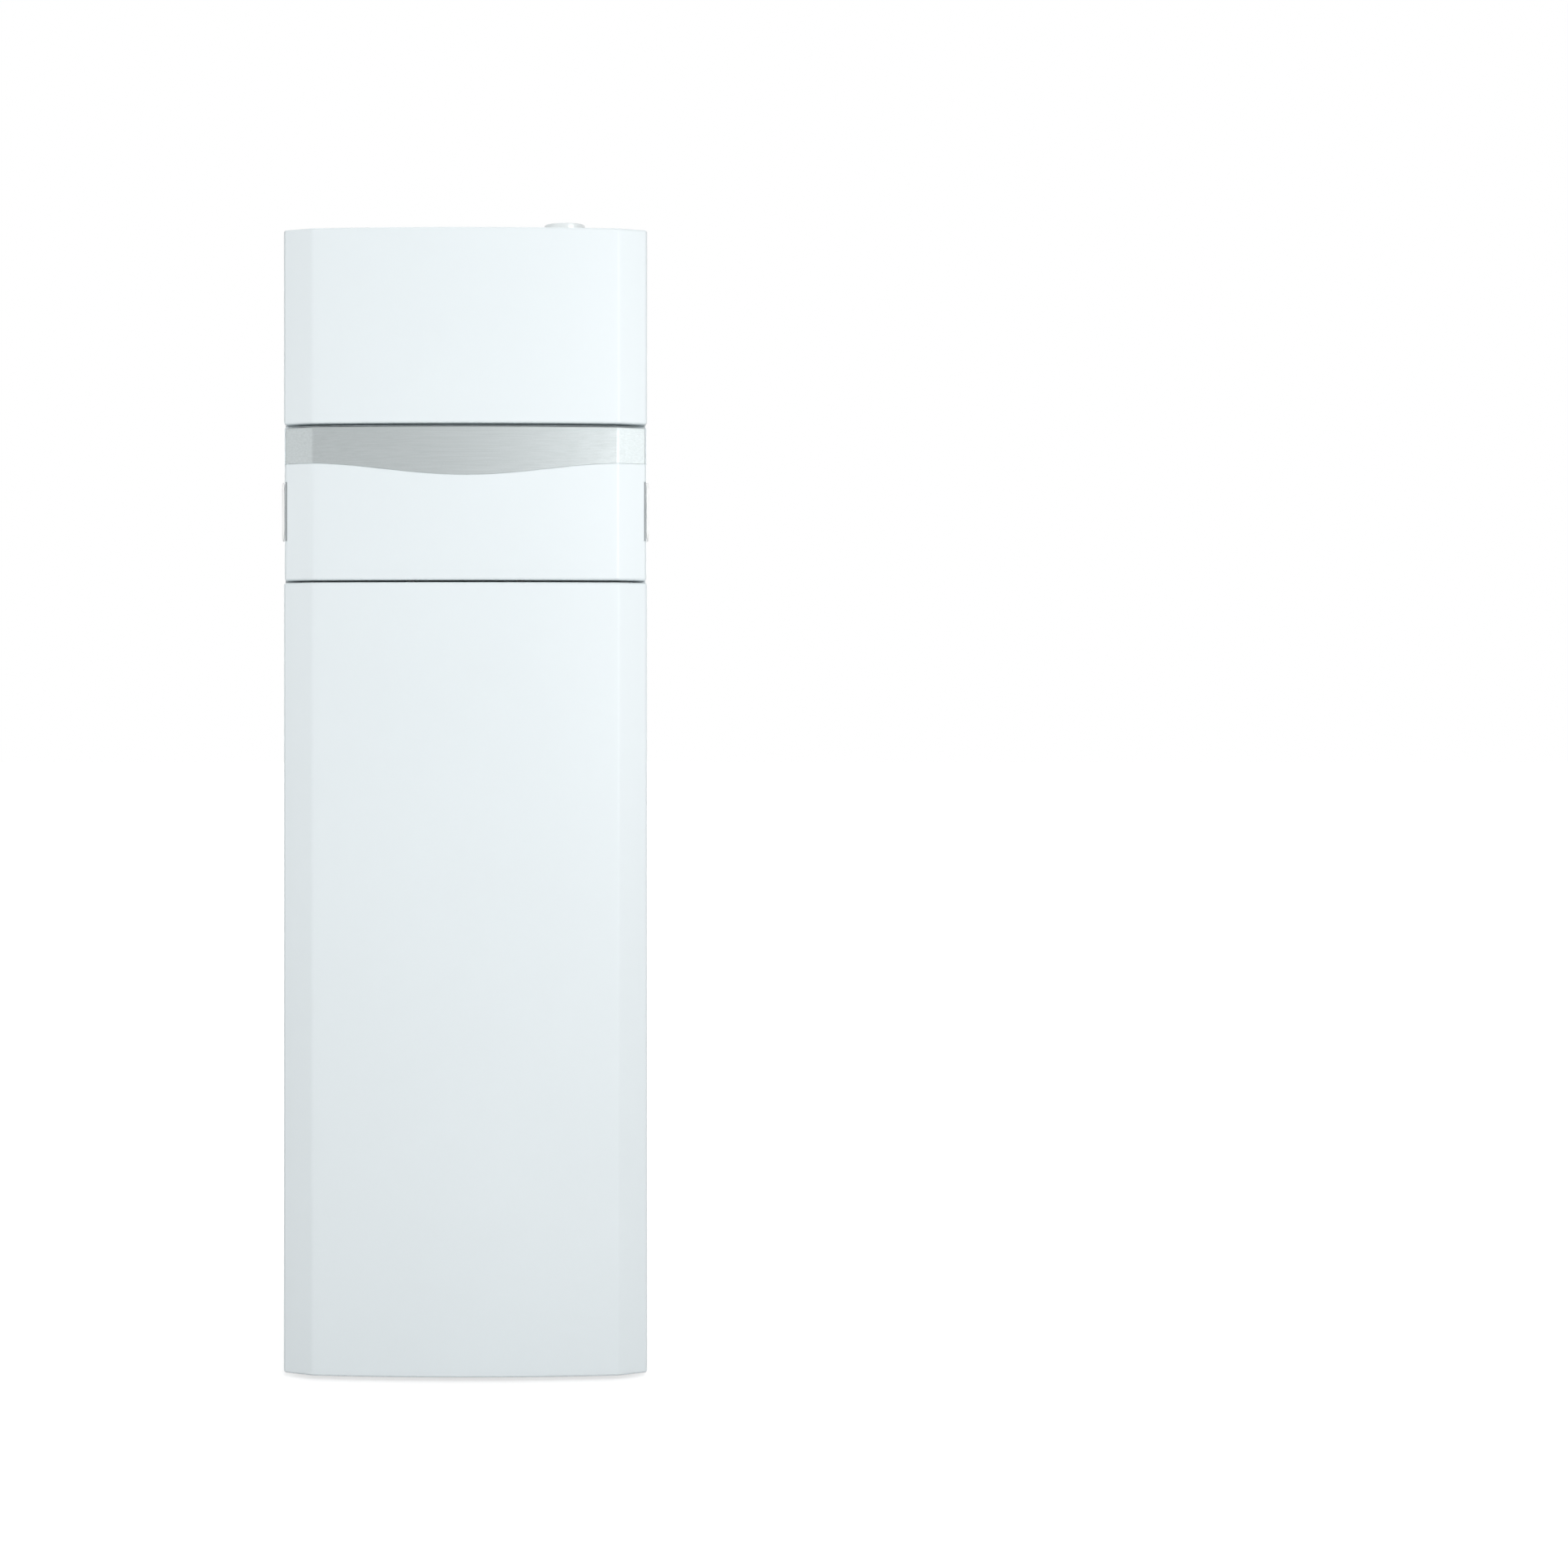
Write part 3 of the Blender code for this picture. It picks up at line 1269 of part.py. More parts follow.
def make_tank_jacket(side, sign, store):
    """One half of the moulded foam round the tank, split down the middle, with holes for ports and drain."""
    gap = JACKET_CLEARANCE
    inside = tank_outline(gap, TANK_PLINTH_RADIUS + gap, TANK_NECK_RADIUS + gap)
    bottom = store_floor()
    top = inside[-1][1] + JACKET_COVER
    profile = [(inside[0][0], bottom), *inside, (inside[-1][0], top)]
    profile += [
        (JACKET_RADIUS - JACKET_CHAMFER, top),
        (JACKET_RADIUS, top - JACKET_CHAMFER),
        (JACKET_RADIUS, bottom),
    ]
    centre = (STORE_PLACE[0] + sign * SEAT / 2, STORE_PLACE[1])
    half_turn = turned(profile, "Z", centre, STORE_SIDES // 2, math.pi, -sign * math.pi / 2)
    if sign > 0:
        ports = (COLD_PORT, HOT_PORT)
    else:
        ports = (COIL_PORT,)
    jacket = add_piece(f"tank_jacket_{side}", half_turn, "foam", store, (*STORE_PLACE, bottom))
    hole = PORT_RADIUS + PORT_HOLE_CLEARANCE
    cut(
        jacket,
        gathered([cylinder("Z", place, hole, PORT_ROOT - OVERRUN, PORT_TOP, BOLT_SIDES) for place in ports]),
    )
    if sign * DRAIN_ACROSS > 0:
        cut(
            jacket,
            cylinder(
                "Y",
                (DRAIN_ACROSS, DRAIN_LEVEL),
                DRAIN_BOSS_RADIUS + PORT_HOLE_CLEARANCE,
                DRAIN_BOSS_FRONT,
                STORE_PLACE[1] - TANK_RADIUS / 2,
                BOLT_SIDES,
            ),
        )


def drain_stem_place():
    return (DRAIN_ACROSS, DRAIN_BOSS_FRONT - SEAT - DRAIN_BODY_LENGTH / 2)


def make_drain_cock(store):
    """A brass cock on the tank's drain boss, with a spout that points down and a stem for its lever."""
    rear = DRAIN_BOSS_FRONT - SEAT
    across, depth = drain_stem_place()
    cock = add_piece(
        "drain_cock",
        cylinder("Y", (across, DRAIN_LEVEL), DRAIN_BODY_RADIUS, rear - DRAIN_BODY_LENGTH, rear, BOLT_SIDES),
        "brass",
        store,
        (across, depth, DRAIN_LEVEL),
    )
    nut = cylinder("Y", (across, DRAIN_LEVEL), DRAIN_BOSS_RADIUS, rear - DRAIN_NUT_LENGTH, rear - SEAT, 6)
    spout_depth = rear - DRAIN_BODY_LENGTH + DRAIN_BODY_RADIUS
    spout = cylinder(
        "Z",
        (across, spout_depth),
        DRAIN_SPOUT_RADIUS,
        DRAIN_LEVEL - DRAIN_SPOUT_DROP,
        DRAIN_LEVEL,
        BOLT_SIDES,
    )
    stem = cylinder(
        "Z", (across, depth), STEM_RADIUS, DRAIN_LEVEL, DRAIN_LEVEL + DRAIN_STEM_HEIGHT, BOLT_SIDES
    )
    join(cock, nut, spout, stem)


def make_lever(name, group, finish, hub, bottom, direction):
    """A flat quarter-turn lever: a hub over the stem and one rounded arm along a unit direction."""
    ahead = Vector(direction)
    beside = Vector((-ahead.y, ahead.x))
    turn = math.atan2(ahead.y, ahead.x)
    centre = Vector(hub)
    half = LEVER_WIDTH / 2
    end = centre + ahead * (LEVER_LENGTH - half)
    spread = math.asin(half / LEVER_HUB_RADIUS)
    outline = arc(tuple(centre), LEVER_HUB_RADIUS, turn + spread, turn + 2 * math.pi - spread, BOLT_SIDES)
    outline += arc(tuple(end), half, turn - math.pi / 2, turn + math.pi / 2, PIPE_SIDES // 2)
    add_piece(name, prism(outline, bottom, bottom + LEVER_THICKNESS), finish, group)


def pipe_end(place):
    """The union nut at a pipe's upper end, above the cabinet."""
    return cylinder("Z", place, PIPE_NUT_RADIUS, PIPE_END - PIPE_NUT_LENGTH, PIPE_END, 6)


def make_pipe(name, group, finish, corners, radius, nut=None):
    route = rounded_route(corners, PIPE_BEND)
    pipe = add_piece(name, swept(route, radius), finish, group, route[0])
    if nut:
        join(pipe, pipe_end(nut))
    return pipe


def make_water_pipes(pipes):
    """Cold and hot water from the store's ports, up behind the vessel and out through the top."""
    for name, port in (("cold_water_pipe", COLD_PORT), ("hot_water_pipe", HOT_PORT)):
        across, depth = port
        corners = [
            (across, depth, PORT_TOP + SEAT),
            (across, depth, SHELF_CROSSING),
            (across, PIPE_REAR, SET_BACK_LEVEL),
            (across, PIPE_REAR, PIPE_END - SEAT),
        ]
        make_pipe(name, pipes, "copper", corners, WATER_PIPE_RADIUS, (across, PIPE_REAR))


def make_heating_pipes(pipes):
    """Heating flow from the diverter valve and heating return to the pump's suction side."""
    across, depth = COIL_PORT
    flow_start = depth + VALVE_PORT_REACH + SEAT
    corners = [
        (across, flow_start, VALVE_OUTLET_LEVEL),
        (across, PIPE_REAR, VALVE_OUTLET_LEVEL),
        (across, PIPE_REAR, PIPE_END - SEAT),
    ]
    make_pipe("heating_flow_pipe", pipes, "copper", corners, WATER_PIPE_RADIUS, (across, PIPE_REAR))
    across, depth = PUMP_PLACE
    corners = [
        (across, depth, PUMP_LEVEL - PUMP_PORT_REACH - SEAT),
        (across, depth, SUCTION_LEVEL),
        (across, PIPE_REAR, SUCTION_LEVEL),
        (across, PIPE_REAR, PIPE_END - SEAT),
    ]
    make_pipe("heating_return_pipe", pipes, "copper", corners, WATER_PIPE_RADIUS, (across, PIPE_REAR))


def make_primary_pipes(pipes):
    """Return from the pump up to the heat exchanger, and flow from there down to the diverter valve."""
    boss = EXCHANGER_PORT_BOTTOM - SEAT
    across, depth = PUMP_PLACE
    port, port_depth = RETURN_PORT
    corners = [
        (across, depth, PUMP_LEVEL + PUMP_PORT_REACH + SEAT),
        (across, depth, PRIMARY_LOWER_LEVEL),
        (port, port_depth, PRIMARY_UPPER_LEVEL),
        (port, port_depth, boss),
    ]
    make_pipe("primary_return_pipe", pipes, "copper", corners, WATER_PIPE_RADIUS)
    across, depth = COIL_PORT
    port, port_depth = FLOW_PORT
    corners = [
        (port, port_depth, boss),
        (port, port_depth, PRIMARY_UPPER_LEVEL),
        (port, depth, PRIMARY_LOWER_LEVEL),
        (port, depth, VALVE_INLET_LEVEL),
        (across + VALVE_PORT_REACH + SEAT, depth, VALVE_INLET_LEVEL),
    ]
    make_pipe("primary_flow_pipe", pipes, "copper", corners, WATER_PIPE_RADIUS)


def make_gas_pipe(pipes):
    """The gas pipe from the top, round the right side and along the front to the gas valve, with its cock."""
    corners = [
        (GAS_PIPE_ACROSS, PIPE_REAR, PIPE_END - SEAT),
        (GAS_PIPE_ACROSS, PIPE_REAR, GAS_PIPE_LEVEL),
        (GAS_PIPE_ACROSS, GAS_PIPE_FRONT, GAS_PIPE_LEVEL),
        (GAS_VALVE_RIGHT + SEAT, GAS_PIPE_FRONT, GAS_PIPE_LEVEL),
    ]
    pipe = make_pipe(
        "gas_pipe", pipes, "brass", corners, GAS_PIPE_RADIUS, (GAS_PIPE_ACROSS, PIPE_REAR)
    )
    join(
        pipe,
        cylinder(
            "Y",
            (GAS_PIPE_ACROSS, GAS_PIPE_LEVEL),
            GAS_COCK_RADIUS,
            GAS_COCK_DEPTH - GAS_COCK_LENGTH / 2,
            GAS_COCK_DEPTH + GAS_COCK_LENGTH / 2,
            6,
        ),
        cylinder(
            "Z",
            (GAS_PIPE_ACROSS, GAS_COCK_DEPTH),
            STEM_RADIUS,
            GAS_PIPE_LEVEL,
            GAS_PIPE_LEVEL + GAS_STEM_HEIGHT,
            BOLT_SIDES,
        ),
    )


def make_pump(hydraulics):
    """An in-line pump: a cast body with two ports on a foot, and the motor head in front of it."""
    across, depth = PUMP_PLACE
    front = depth - PUMP_VOLUTE_HALF
    body = add_piece(
        "pump_body",
        cylinder("Y", (across, PUMP_LEVEL), PUMP_VOLUTE_RADIUS, front, depth + PUMP_VOLUTE_HALF),
        "cast_iron",
        hydraulics,
        (across, depth, PUMP_LEVEL),
    )
    ports = cylinder(
        "Z",
        PUMP_PLACE,
        PUMP_PORT_RADIUS,
        PUMP_LEVEL - PUMP_PORT_REACH,
        PUMP_LEVEL + PUMP_PORT_REACH,
        BOLT_SIDES,
    )
    foot_front = front - PUMP_FOOT_SET_BACK
    foot = box(
        across - PUMP_VOLUTE_RADIUS,
        across + PUMP_VOLUTE_RADIUS,
        foot_front,
        depth - PUMP_PORT_RADIUS - SHEET,
        MIDDLE_SHELF_LEVEL + SEAT,
        PUMP_LEVEL - PUMP_VOLUTE_RADIUS / 2,
    )
    join(body, ports)
    join(body, foot)
    cut(
        body,
        cylinder(
            "Y",
            (across, PUMP_LEVEL),
            PUMP_HEAD_RADIUS + SEAT,
            foot_front - OVERRUN,
            front - SEAT / 2,
        ),
    )
    head_rear = front - SEAT
    head_front = head_rear - PUMP_HEAD_LENGTH
    chamfer = PUMP_HEAD_CHAMFER
    profile = [
        (0, head_front - PUMP_CONTROL_PROUD),
        (PUMP_CONTROL_RADIUS, head_front - PUMP_CONTROL_PROUD),
        (PUMP_CONTROL_RADIUS, head_front),
        (PUMP_HEAD_RADIUS - chamfer, head_front),
        (PUMP_HEAD_RADIUS, head_front + chamfer),
        (PUMP_HEAD_RADIUS, head_rear),
        (0, head_rear),
    ]
    add_piece(
        "pump_head",
        turned(profile, "Y", (across, PUMP_LEVEL)),
        "dark_plastic",
        hydraulics,
        (across, head_rear, PUMP_LEVEL),
    )


def make_diverter_valve(hydraulics):
    """A three-way valve that stands on the store's coil port, with its actuator on top."""
    across, depth = COIL_PORT
    valve = add_piece(
        "diverter_valve",
        cylinder("Z", COIL_PORT, VALVE_BODY_RADIUS, VALVE_BODY_BOTTOM, VALVE_BODY_TOP),
        "brass",
        hydraulics,
        (across, depth, VALVE_BODY_BOTTOM),
    )
    join(
        valve,
        cylinder("Z", COIL_PORT, WATER_PIPE_RADIUS, PORT_TOP + SEAT, VALVE_BODY_TOP - SHEET, BOLT_SIDES),
        cylinder(
            "X", (depth, VALVE_INLET_LEVEL), VALVE_PORT_RADIUS, across, across + VALVE_PORT_REACH, BOLT_SIDES
        ),
        cylinder(
            "Y", (across, VALVE_OUTLET_LEVEL), VALVE_PORT_RADIUS, depth, depth + VALVE_PORT_REACH, BOLT_SIDES
        ),
    )
    bottom = VALVE_BODY_TOP + SEAT
    add_piece(
        "diverter_actuator",
        rounded_box(
            across - ACTUATOR_HALF,
            across + ACTUATOR_HALF,
            depth - ACTUATOR_HALF,
            depth + ACTUATOR_HALF,
            bottom,
            bottom + ACTUATOR_HEIGHT,
            ACTUATOR_ROUND,
        ),
        "grey_plastic",
        hydraulics,
        (across, depth, bottom),
    )


def safety_top():
    return MIDDLE_SHELF_LEVEL + SEAT + SAFETY_BODY_HEIGHT


def make_safety_valve(hydraulics, cap_turn):
    """A brass safety valve with a side outlet, and the ribbed cap that is turned to blow it off."""
    bottom = MIDDLE_SHELF_LEVEL + SEAT
    profile = [
        (0, bottom),
        (SAFETY_FOOT_RADIUS, bottom),
        (SAFETY_FOOT_RADIUS, bottom + SAFETY_FOOT_HEIGHT),
        (SAFETY_BODY_RADIUS, bottom + SAFETY_FOOT_HEIGHT + SHEET),
        (SAFETY_BODY_RADIUS, safety_top()),
        (0, safety_top()),
    ]
    valve = add_piece(
        "safety_valve",
        turned(profile, "Z", SAFETY_PLACE, BOLT_SIDES),
        "brass",
        hydraulics,
        (*SAFETY_PLACE, bottom),
    )
    across, depth = SAFETY_PLACE
    join(
        valve,
        cylinder(
            "X",
            (depth, bottom + SAFETY_OUTLET_RISE),
            SAFETY_OUTLET_RADIUS,
            across,
            across + SAFETY_OUTLET_REACH,
            BOLT_SIDES,
        ),
    )
    outline = []
    for lobe in range(2 * SAFETY_CAP_LOBES):
        radius = SAFETY_CAP_RADIUS - (lobe % 2) * SAFETY_CAP_LOBE_DEPTH
        angle = math.pi * lobe / SAFETY_CAP_LOBES
        outline.append((across + radius * math.cos(angle), depth + radius * math.sin(angle)))
    cap_bottom = safety_top() + SEAT
    add_piece(
        "safety_valve_cap",
        prism(outline, cap_bottom, cap_bottom + SAFETY_CAP_HEIGHT),
        "red_plastic",
        cap_turn,
    )


def make_siphon(hydraulics):
    """The condensate siphon: a cup with a screwed collar, a sloping shoulder and an inlet neck."""
    bottom = MIDDLE_SHELF_LEVEL + SEAT
    top = bottom + SIPHON_HEIGHT
    collar = top - SIPHON_SHOULDER - SIPHON_COLLAR_HEIGHT
    profile = [
        (0, bottom),
        (SIPHON_RADIUS - SIPHON_COLLAR_HEIGHT / 2, bottom),
        (SIPHON_RADIUS, bottom + SIPHON_COLLAR_HEIGHT),
        (SIPHON_RADIUS, collar),
        (SIPHON_COLLAR_RADIUS, collar),
        (SIPHON_COLLAR_RADIUS, collar + SIPHON_COLLAR_HEIGHT),
        (SIPHON_NECK_RADIUS, top),
        (SIPHON_NECK_RADIUS, top + SIPHON_NECK_HEIGHT),
        (0, top + SIPHON_NECK_HEIGHT),
    ]
    add_piece(
        "condensate_siphon",
        turned(profile, "Z", SIPHON_PLACE, BOLT_SIDES),
        "light_plastic",
        hydraulics,
        (*SIPHON_PLACE, bottom),
    )


def make_expansion_vessel(hydraulics):
    """A flat round expansion vessel with a rolled seam, upright on two legs behind the control box."""
    across, level = VESSEL_PLACE
    front, rear = VESSEL_FRONT, VESSEL_FRONT + VESSEL_DEPTH
    middle = (front + rear) / 2
    inner = VESSEL_RADIUS - VESSEL_SEAM
    seam = VESSEL_SEAM_WIDTH / 2
    profile = [
        (0, front),
        (inner - VESSEL_ROUND, front),
        (inner, front + VESSEL_ROUND),
        (inner, middle - seam),
        (VESSEL_RADIUS, middle - seam),
        (VESSEL_RADIUS, middle + seam),
        (inner, middle + seam),
        (inner, rear - VESSEL_ROUND),
        (inner - VESSEL_ROUND, rear),
        (0, rear),
    ]
    vessel = add_piece(
        "expansion_vessel",
        turned(profile, "Y", (across, level)),
        "red_enamel",
        hydraulics,
        (across, middle, level),
    )
    legs = [
        box(
            across + sign * VESSEL_LEG_SPREAD - VESSEL_LEG_HALF,
            across + sign * VESSEL_LEG_SPREAD + VESSEL_LEG_HALF,
            middle - VESSEL_LEG_DEPTH / 2,
            middle + VESSEL_LEG_DEPTH / 2,
            MIDDLE_SHELF_LEVEL + SEAT,
            MIDDLE_SHELF_LEVEL + VESSEL_LEG_REACH,
        )
        for sign in (-1, 1)
    ]
    join(vessel, gathered(legs))
    wall = VESSEL_WALL
    inside = [
        (0, front + wall),
        (inner - VESSEL_ROUND - wall / 2, front + wall),
        (inner - wall, front + VESSEL_ROUND + wall / 2),
        (inner - wall, rear - VESSEL_ROUND - wall / 2),
        (inner - VESSEL_ROUND - wall / 2, rear - wall),
        (VESSEL_BUSH_RADIUS, rear - wall),
        (VESSEL_BUSH_RADIUS, rear + OVERRUN),
        (0, rear + OVERRUN),
    ]
    cut(vessel, turned(inside, "Y", (across, level)))


def control_bottom():
    return RAIL_BOTTOM + RAIL_HEIGHT + SEAT


def make_control_box(control):
    """The control box: open to the front, on the rail, with ears to the side panels and a cable entry."""
    half = CONTROL_HALF_WIDTH
    bottom = control_bottom()
    case = add_piece(
        "control_box",
        box(-half, half, CONTROL_FRONT, CONTROL_REAR, bottom, CONTROL_TOP),
        "grey_plastic",
        control,
        (0, CONTROL_FRONT, bottom),
    )
    cut(
        case,
        box(
            -half + CONTROL_WALL,
            half - CONTROL_WALL,
            CONTROL_FRONT - OVERRUN,
            CONTROL_REAR - CONTROL_WALL,
            bottom + CONTROL_WALL,
            CONTROL_TOP - CONTROL_WALL,
        ),
    )
    ears = []
    for sign in (-1, 1):
        edges = sorted((sign * (half - CONTROL_WALL / 2), sign * PANEL_INSIDE))
        ears.append(
            box(
                *edges,
                CONTROL_REAR - CONTROL_EAR_DEPTH,
                CONTROL_REAR - CONTROL_WALL,
                CONTROL_EAR_BOTTOM,
                CONTROL_EAR_BOTTOM + CONTROL_EAR_THICKNESS,
            )
        )
    join(case, gathered(ears))
    entry_right = half - CABLE_ENTRY_SIDE
    entry_top = CONTROL_TOP - CABLE_ENTRY_DROP
    cut(
        case,
        box(
            entry_right - CABLE_ENTRY_WIDTH,
            entry_right,
            CONTROL_REAR - CONTROL_WALL - OVERRUN,
            CONTROL_REAR + OVERRUN,
            entry_top - CABLE_ENTRY_HEIGHT,
            entry_top,
        ),
    )


def fascia_faces():
    rear = CONTROL_FRONT - SEAT
    return rear - FASCIA_THICKNESS, rear


def knob_places():
    return {"heating": (-KNOB_OFFSET, CONTROLS_LEVEL), "water": (KNOB_OFFSET, CONTROLS_LEVEL)}


def button_places():
    return {
        "left": (-BUTTON_SPACING, BUTTON_LEVEL),
        "middle": (0, BUTTON_LEVEL),
        "right": (BUTTON_SPACING, BUTTON_LEVEL),
    }


def make_control_fascia(control):
    """The fascia over the control box, with a hole for each thing that passes through it."""
    front, rear = fascia_faces()
    half = CONTROL_HALF_WIDTH
    fascia = add_piece(
        "control_fascia",
        box(-half, half, front, rear, control_bottom(), CONTROL_TOP),
        "light_plastic",
        control,
        (0, rear, CONTROLS_LEVEL),
    )
    bezel = SWITCH_HALF_WIDTH + SWITCH_CLEARANCE + SWITCH_BEZEL
    rise = SWITCH_RADIUS + SWITCH_CLEARANCE + SWITCH_BEZEL
    join(
        fascia,
        box(
            SWITCH_OFFSET - bezel,
            SWITCH_OFFSET + bezel,
            front - SWITCH_BEZEL_PROUD,
            rear - SHEET,
            CONTROLS_LEVEL - rise,
            CONTROLS_LEVEL + rise,
        ),
    )
    ends = (front - OVERRUN, rear + OVERRUN)
    width = DISPLAY_WIDTH / 2 + SEAT
    height = DISPLAY_HEIGHT / 2 + SEAT
    holes = [box(-width, width, *ends, DISPLAY_LEVEL - height, DISPLAY_LEVEL + height)]
    for place in knob_places().values():
        holes.append(cylinder("Y", place, SPINDLE_RADIUS + SPINDLE_CLEARANCE, *ends, BOLT_SIDES))
    for place in button_places().values():
        holes.append(cylinder("Y", place, BUTTON_RADIUS + BUTTON_CLEARANCE, *ends, BOLT_SIDES))
    holes.append(
        cylinder("Y", (GAUGE_OFFSET, CONTROLS_LEVEL), GAUGE_BODY_RADIUS + SEAT, *ends, ROUND_SIDES)
    )
    width = SWITCH_HALF_WIDTH + SWITCH_CLEARANCE
    height = SWITCH_RADIUS + SWITCH_CLEARANCE
    holes.append(
        box(
            SWITCH_OFFSET - width,
            SWITCH_OFFSET + width,
            *ends,
            CONTROLS_LEVEL - height,
            CONTROLS_LEVEL + height,
        )
    )
    cut(fascia, gathered(holes))


def make_display(control):
    front, rear = fascia_faces()
    add_piece(
        "display",
        box(
            -DISPLAY_WIDTH / 2,
            DISPLAY_WIDTH / 2,
            front - DISPLAY_PROUD,
            rear + DISPLAY_DEPTH,
            DISPLAY_LEVEL - DISPLAY_HEIGHT / 2,
            DISPLAY_LEVEL + DISPLAY_HEIGHT / 2,
        ),
        "glass",
        control,
        (0, front, DISPLAY_LEVEL),
    )


def make_knob(name, place, group):
    """A round knob with a raised grip across it, on a spindle that passes through the fascia."""
    front, _ = fascia_faces()
    base = front - SEAT
    top = base - KNOB_HEIGHT
    grip_floor = top + KNOB_GRIP_DEPTH
    profile = [
        (0, grip_floor),
        (KNOB_RADIUS - KNOB_TAPER, grip_floor),
        (KNOB_RADIUS - KNOB_TAPER / 2, base - KNOB_SKIRT),
        (KNOB_RADIUS, base - KNOB_SKIRT),
        (KNOB_RADIUS, base),
        (SPINDLE_RADIUS, base),
        (SPINDLE_RADIUS, base + SPINDLE_LENGTH),
        (0, base + SPINDLE_LENGTH),
    ]
    knob = add_piece(name, turned(profile, "Y", place), "light_plastic", group)
    across, level = place
    reach = KNOB_RADIUS - KNOB_TAPER
    half = KNOB_GRIP_WIDTH / 2
    join(
        knob,
        box(
            across - half,
            across + half,
            top,
            grip_floor + SHEET,
            level - reach + half,
            level + reach - half,
        ),
    )


def make_button(name, place, group):
    """A round push button; the flange behind the fascia keeps it from falling out."""
    front, rear = fascia_faces()
    flange = rear + SEAT
    back = flange + BUTTON_FLANGE_THICKNESS
    profile = [
        (0, front - BUTTON_PROUD),
        (BUTTON_RADIUS, front - BUTTON_PROUD),
        (BUTTON_RADIUS, flange),
        (BUTTON_RADIUS + BUTTON_FLANGE, flange),
        (BUTTON_RADIUS + BUTTON_FLANGE, back),
        (0, back),
    ]
    add_piece(name, turned(profile, "Y", place, BOLT_SIDES), "grey_plastic", group)


def switch_axis():
    front, _ = fascia_faces()
    return (front - SWITCH_PROUD + SWITCH_DISH + SWITCH_RADIUS / 2, CONTROLS_LEVEL)


def make_power_switch(group):
    """A dished rocker; its ends are arcs about its own pivot, so it turns freely in the bezel."""
    depth, level = switch_axis()
    front, _ = fascia_faces()
    face = front - SWITCH_PROUD
    reach = depth - face
    tip = math.asin(reach / SWITCH_RADIUS)
    back = math.radians(10)
    outline = arc((depth, level), SWITCH_RADIUS, math.pi + tip - math.pi / 2, math.pi / 2 - back, 3)
    outline += arc((depth, level), SWITCH_RADIUS, -math.pi / 2 + back, -math.pi / 2 - tip, 3)
    outline += [(face + SWITCH_DISH, level)]
    add_piece(
        "power_switch",
        prism(outline, SWITCH_OFFSET - SWITCH_HALF_WIDTH, SWITCH_OFFSET + SWITCH_HALF_WIDTH, "X"),
        "dark_plastic",
        group,
    )


def make_gauge(control, turn):
    """The pressure gauge: a body through the fascia, a rim, a dished dial and its needle."""
    front, rear = fascia_faces()
    place = (GAUGE_OFFSET, CONTROLS_LEVEL)
    face = front - GAUGE_PROUD
    floor = face + GAUGE_RECESS
    inner = GAUGE_RADIUS - GAUGE_RIM
    profile = [
        (0, floor),
        (inner - GAUGE_RIM, floor),
        (inner, face),
        (GAUGE_RADIUS - SHEET, face),
        (GAUGE_RADIUS, face + SHEET),
        (GAUGE_RADIUS, front - SEAT),
        (GAUGE_BODY_RADIUS, front - SEAT),
        (GAUGE_BODY_RADIUS, rear + GAUGE_BODY_DEPTH),
        (0, rear + GAUGE_BODY_DEPTH),
    ]
    add_piece(
        "pressure_gauge",
        turned(profile, "Y", place),
        "dark_plastic",
        control,
        (GAUGE_OFFSET, front, CONTROLS_LEVEL),
    )
    across, level = place
    hub_rear = floor - SEAT
    hub_front = hub_rear - NEEDLE_HUB_HEIGHT
    needle = add_piece(
        "gauge_needle",
        cylinder("Y", place, NEEDLE_HUB_RADIUS, hub_front, hub_rear, PIPE_SIDES),
        "red_plastic",
        turn,
    )
    blade = [
        (across - NEEDLE_HALF_WIDTH, level - NEEDLE_TAIL),
        (across + NEEDLE_HALF_WIDTH, level - NEEDLE_TAIL),
        (across, level + NEEDLE_LENGTH),
    ]
    middle = (hub_front + hub_rear) / 2
    join(needle, prism(blade, middle - NEEDLE_THICKNESS / 2, middle + NEEDLE_THICKNESS / 2, "Y"))


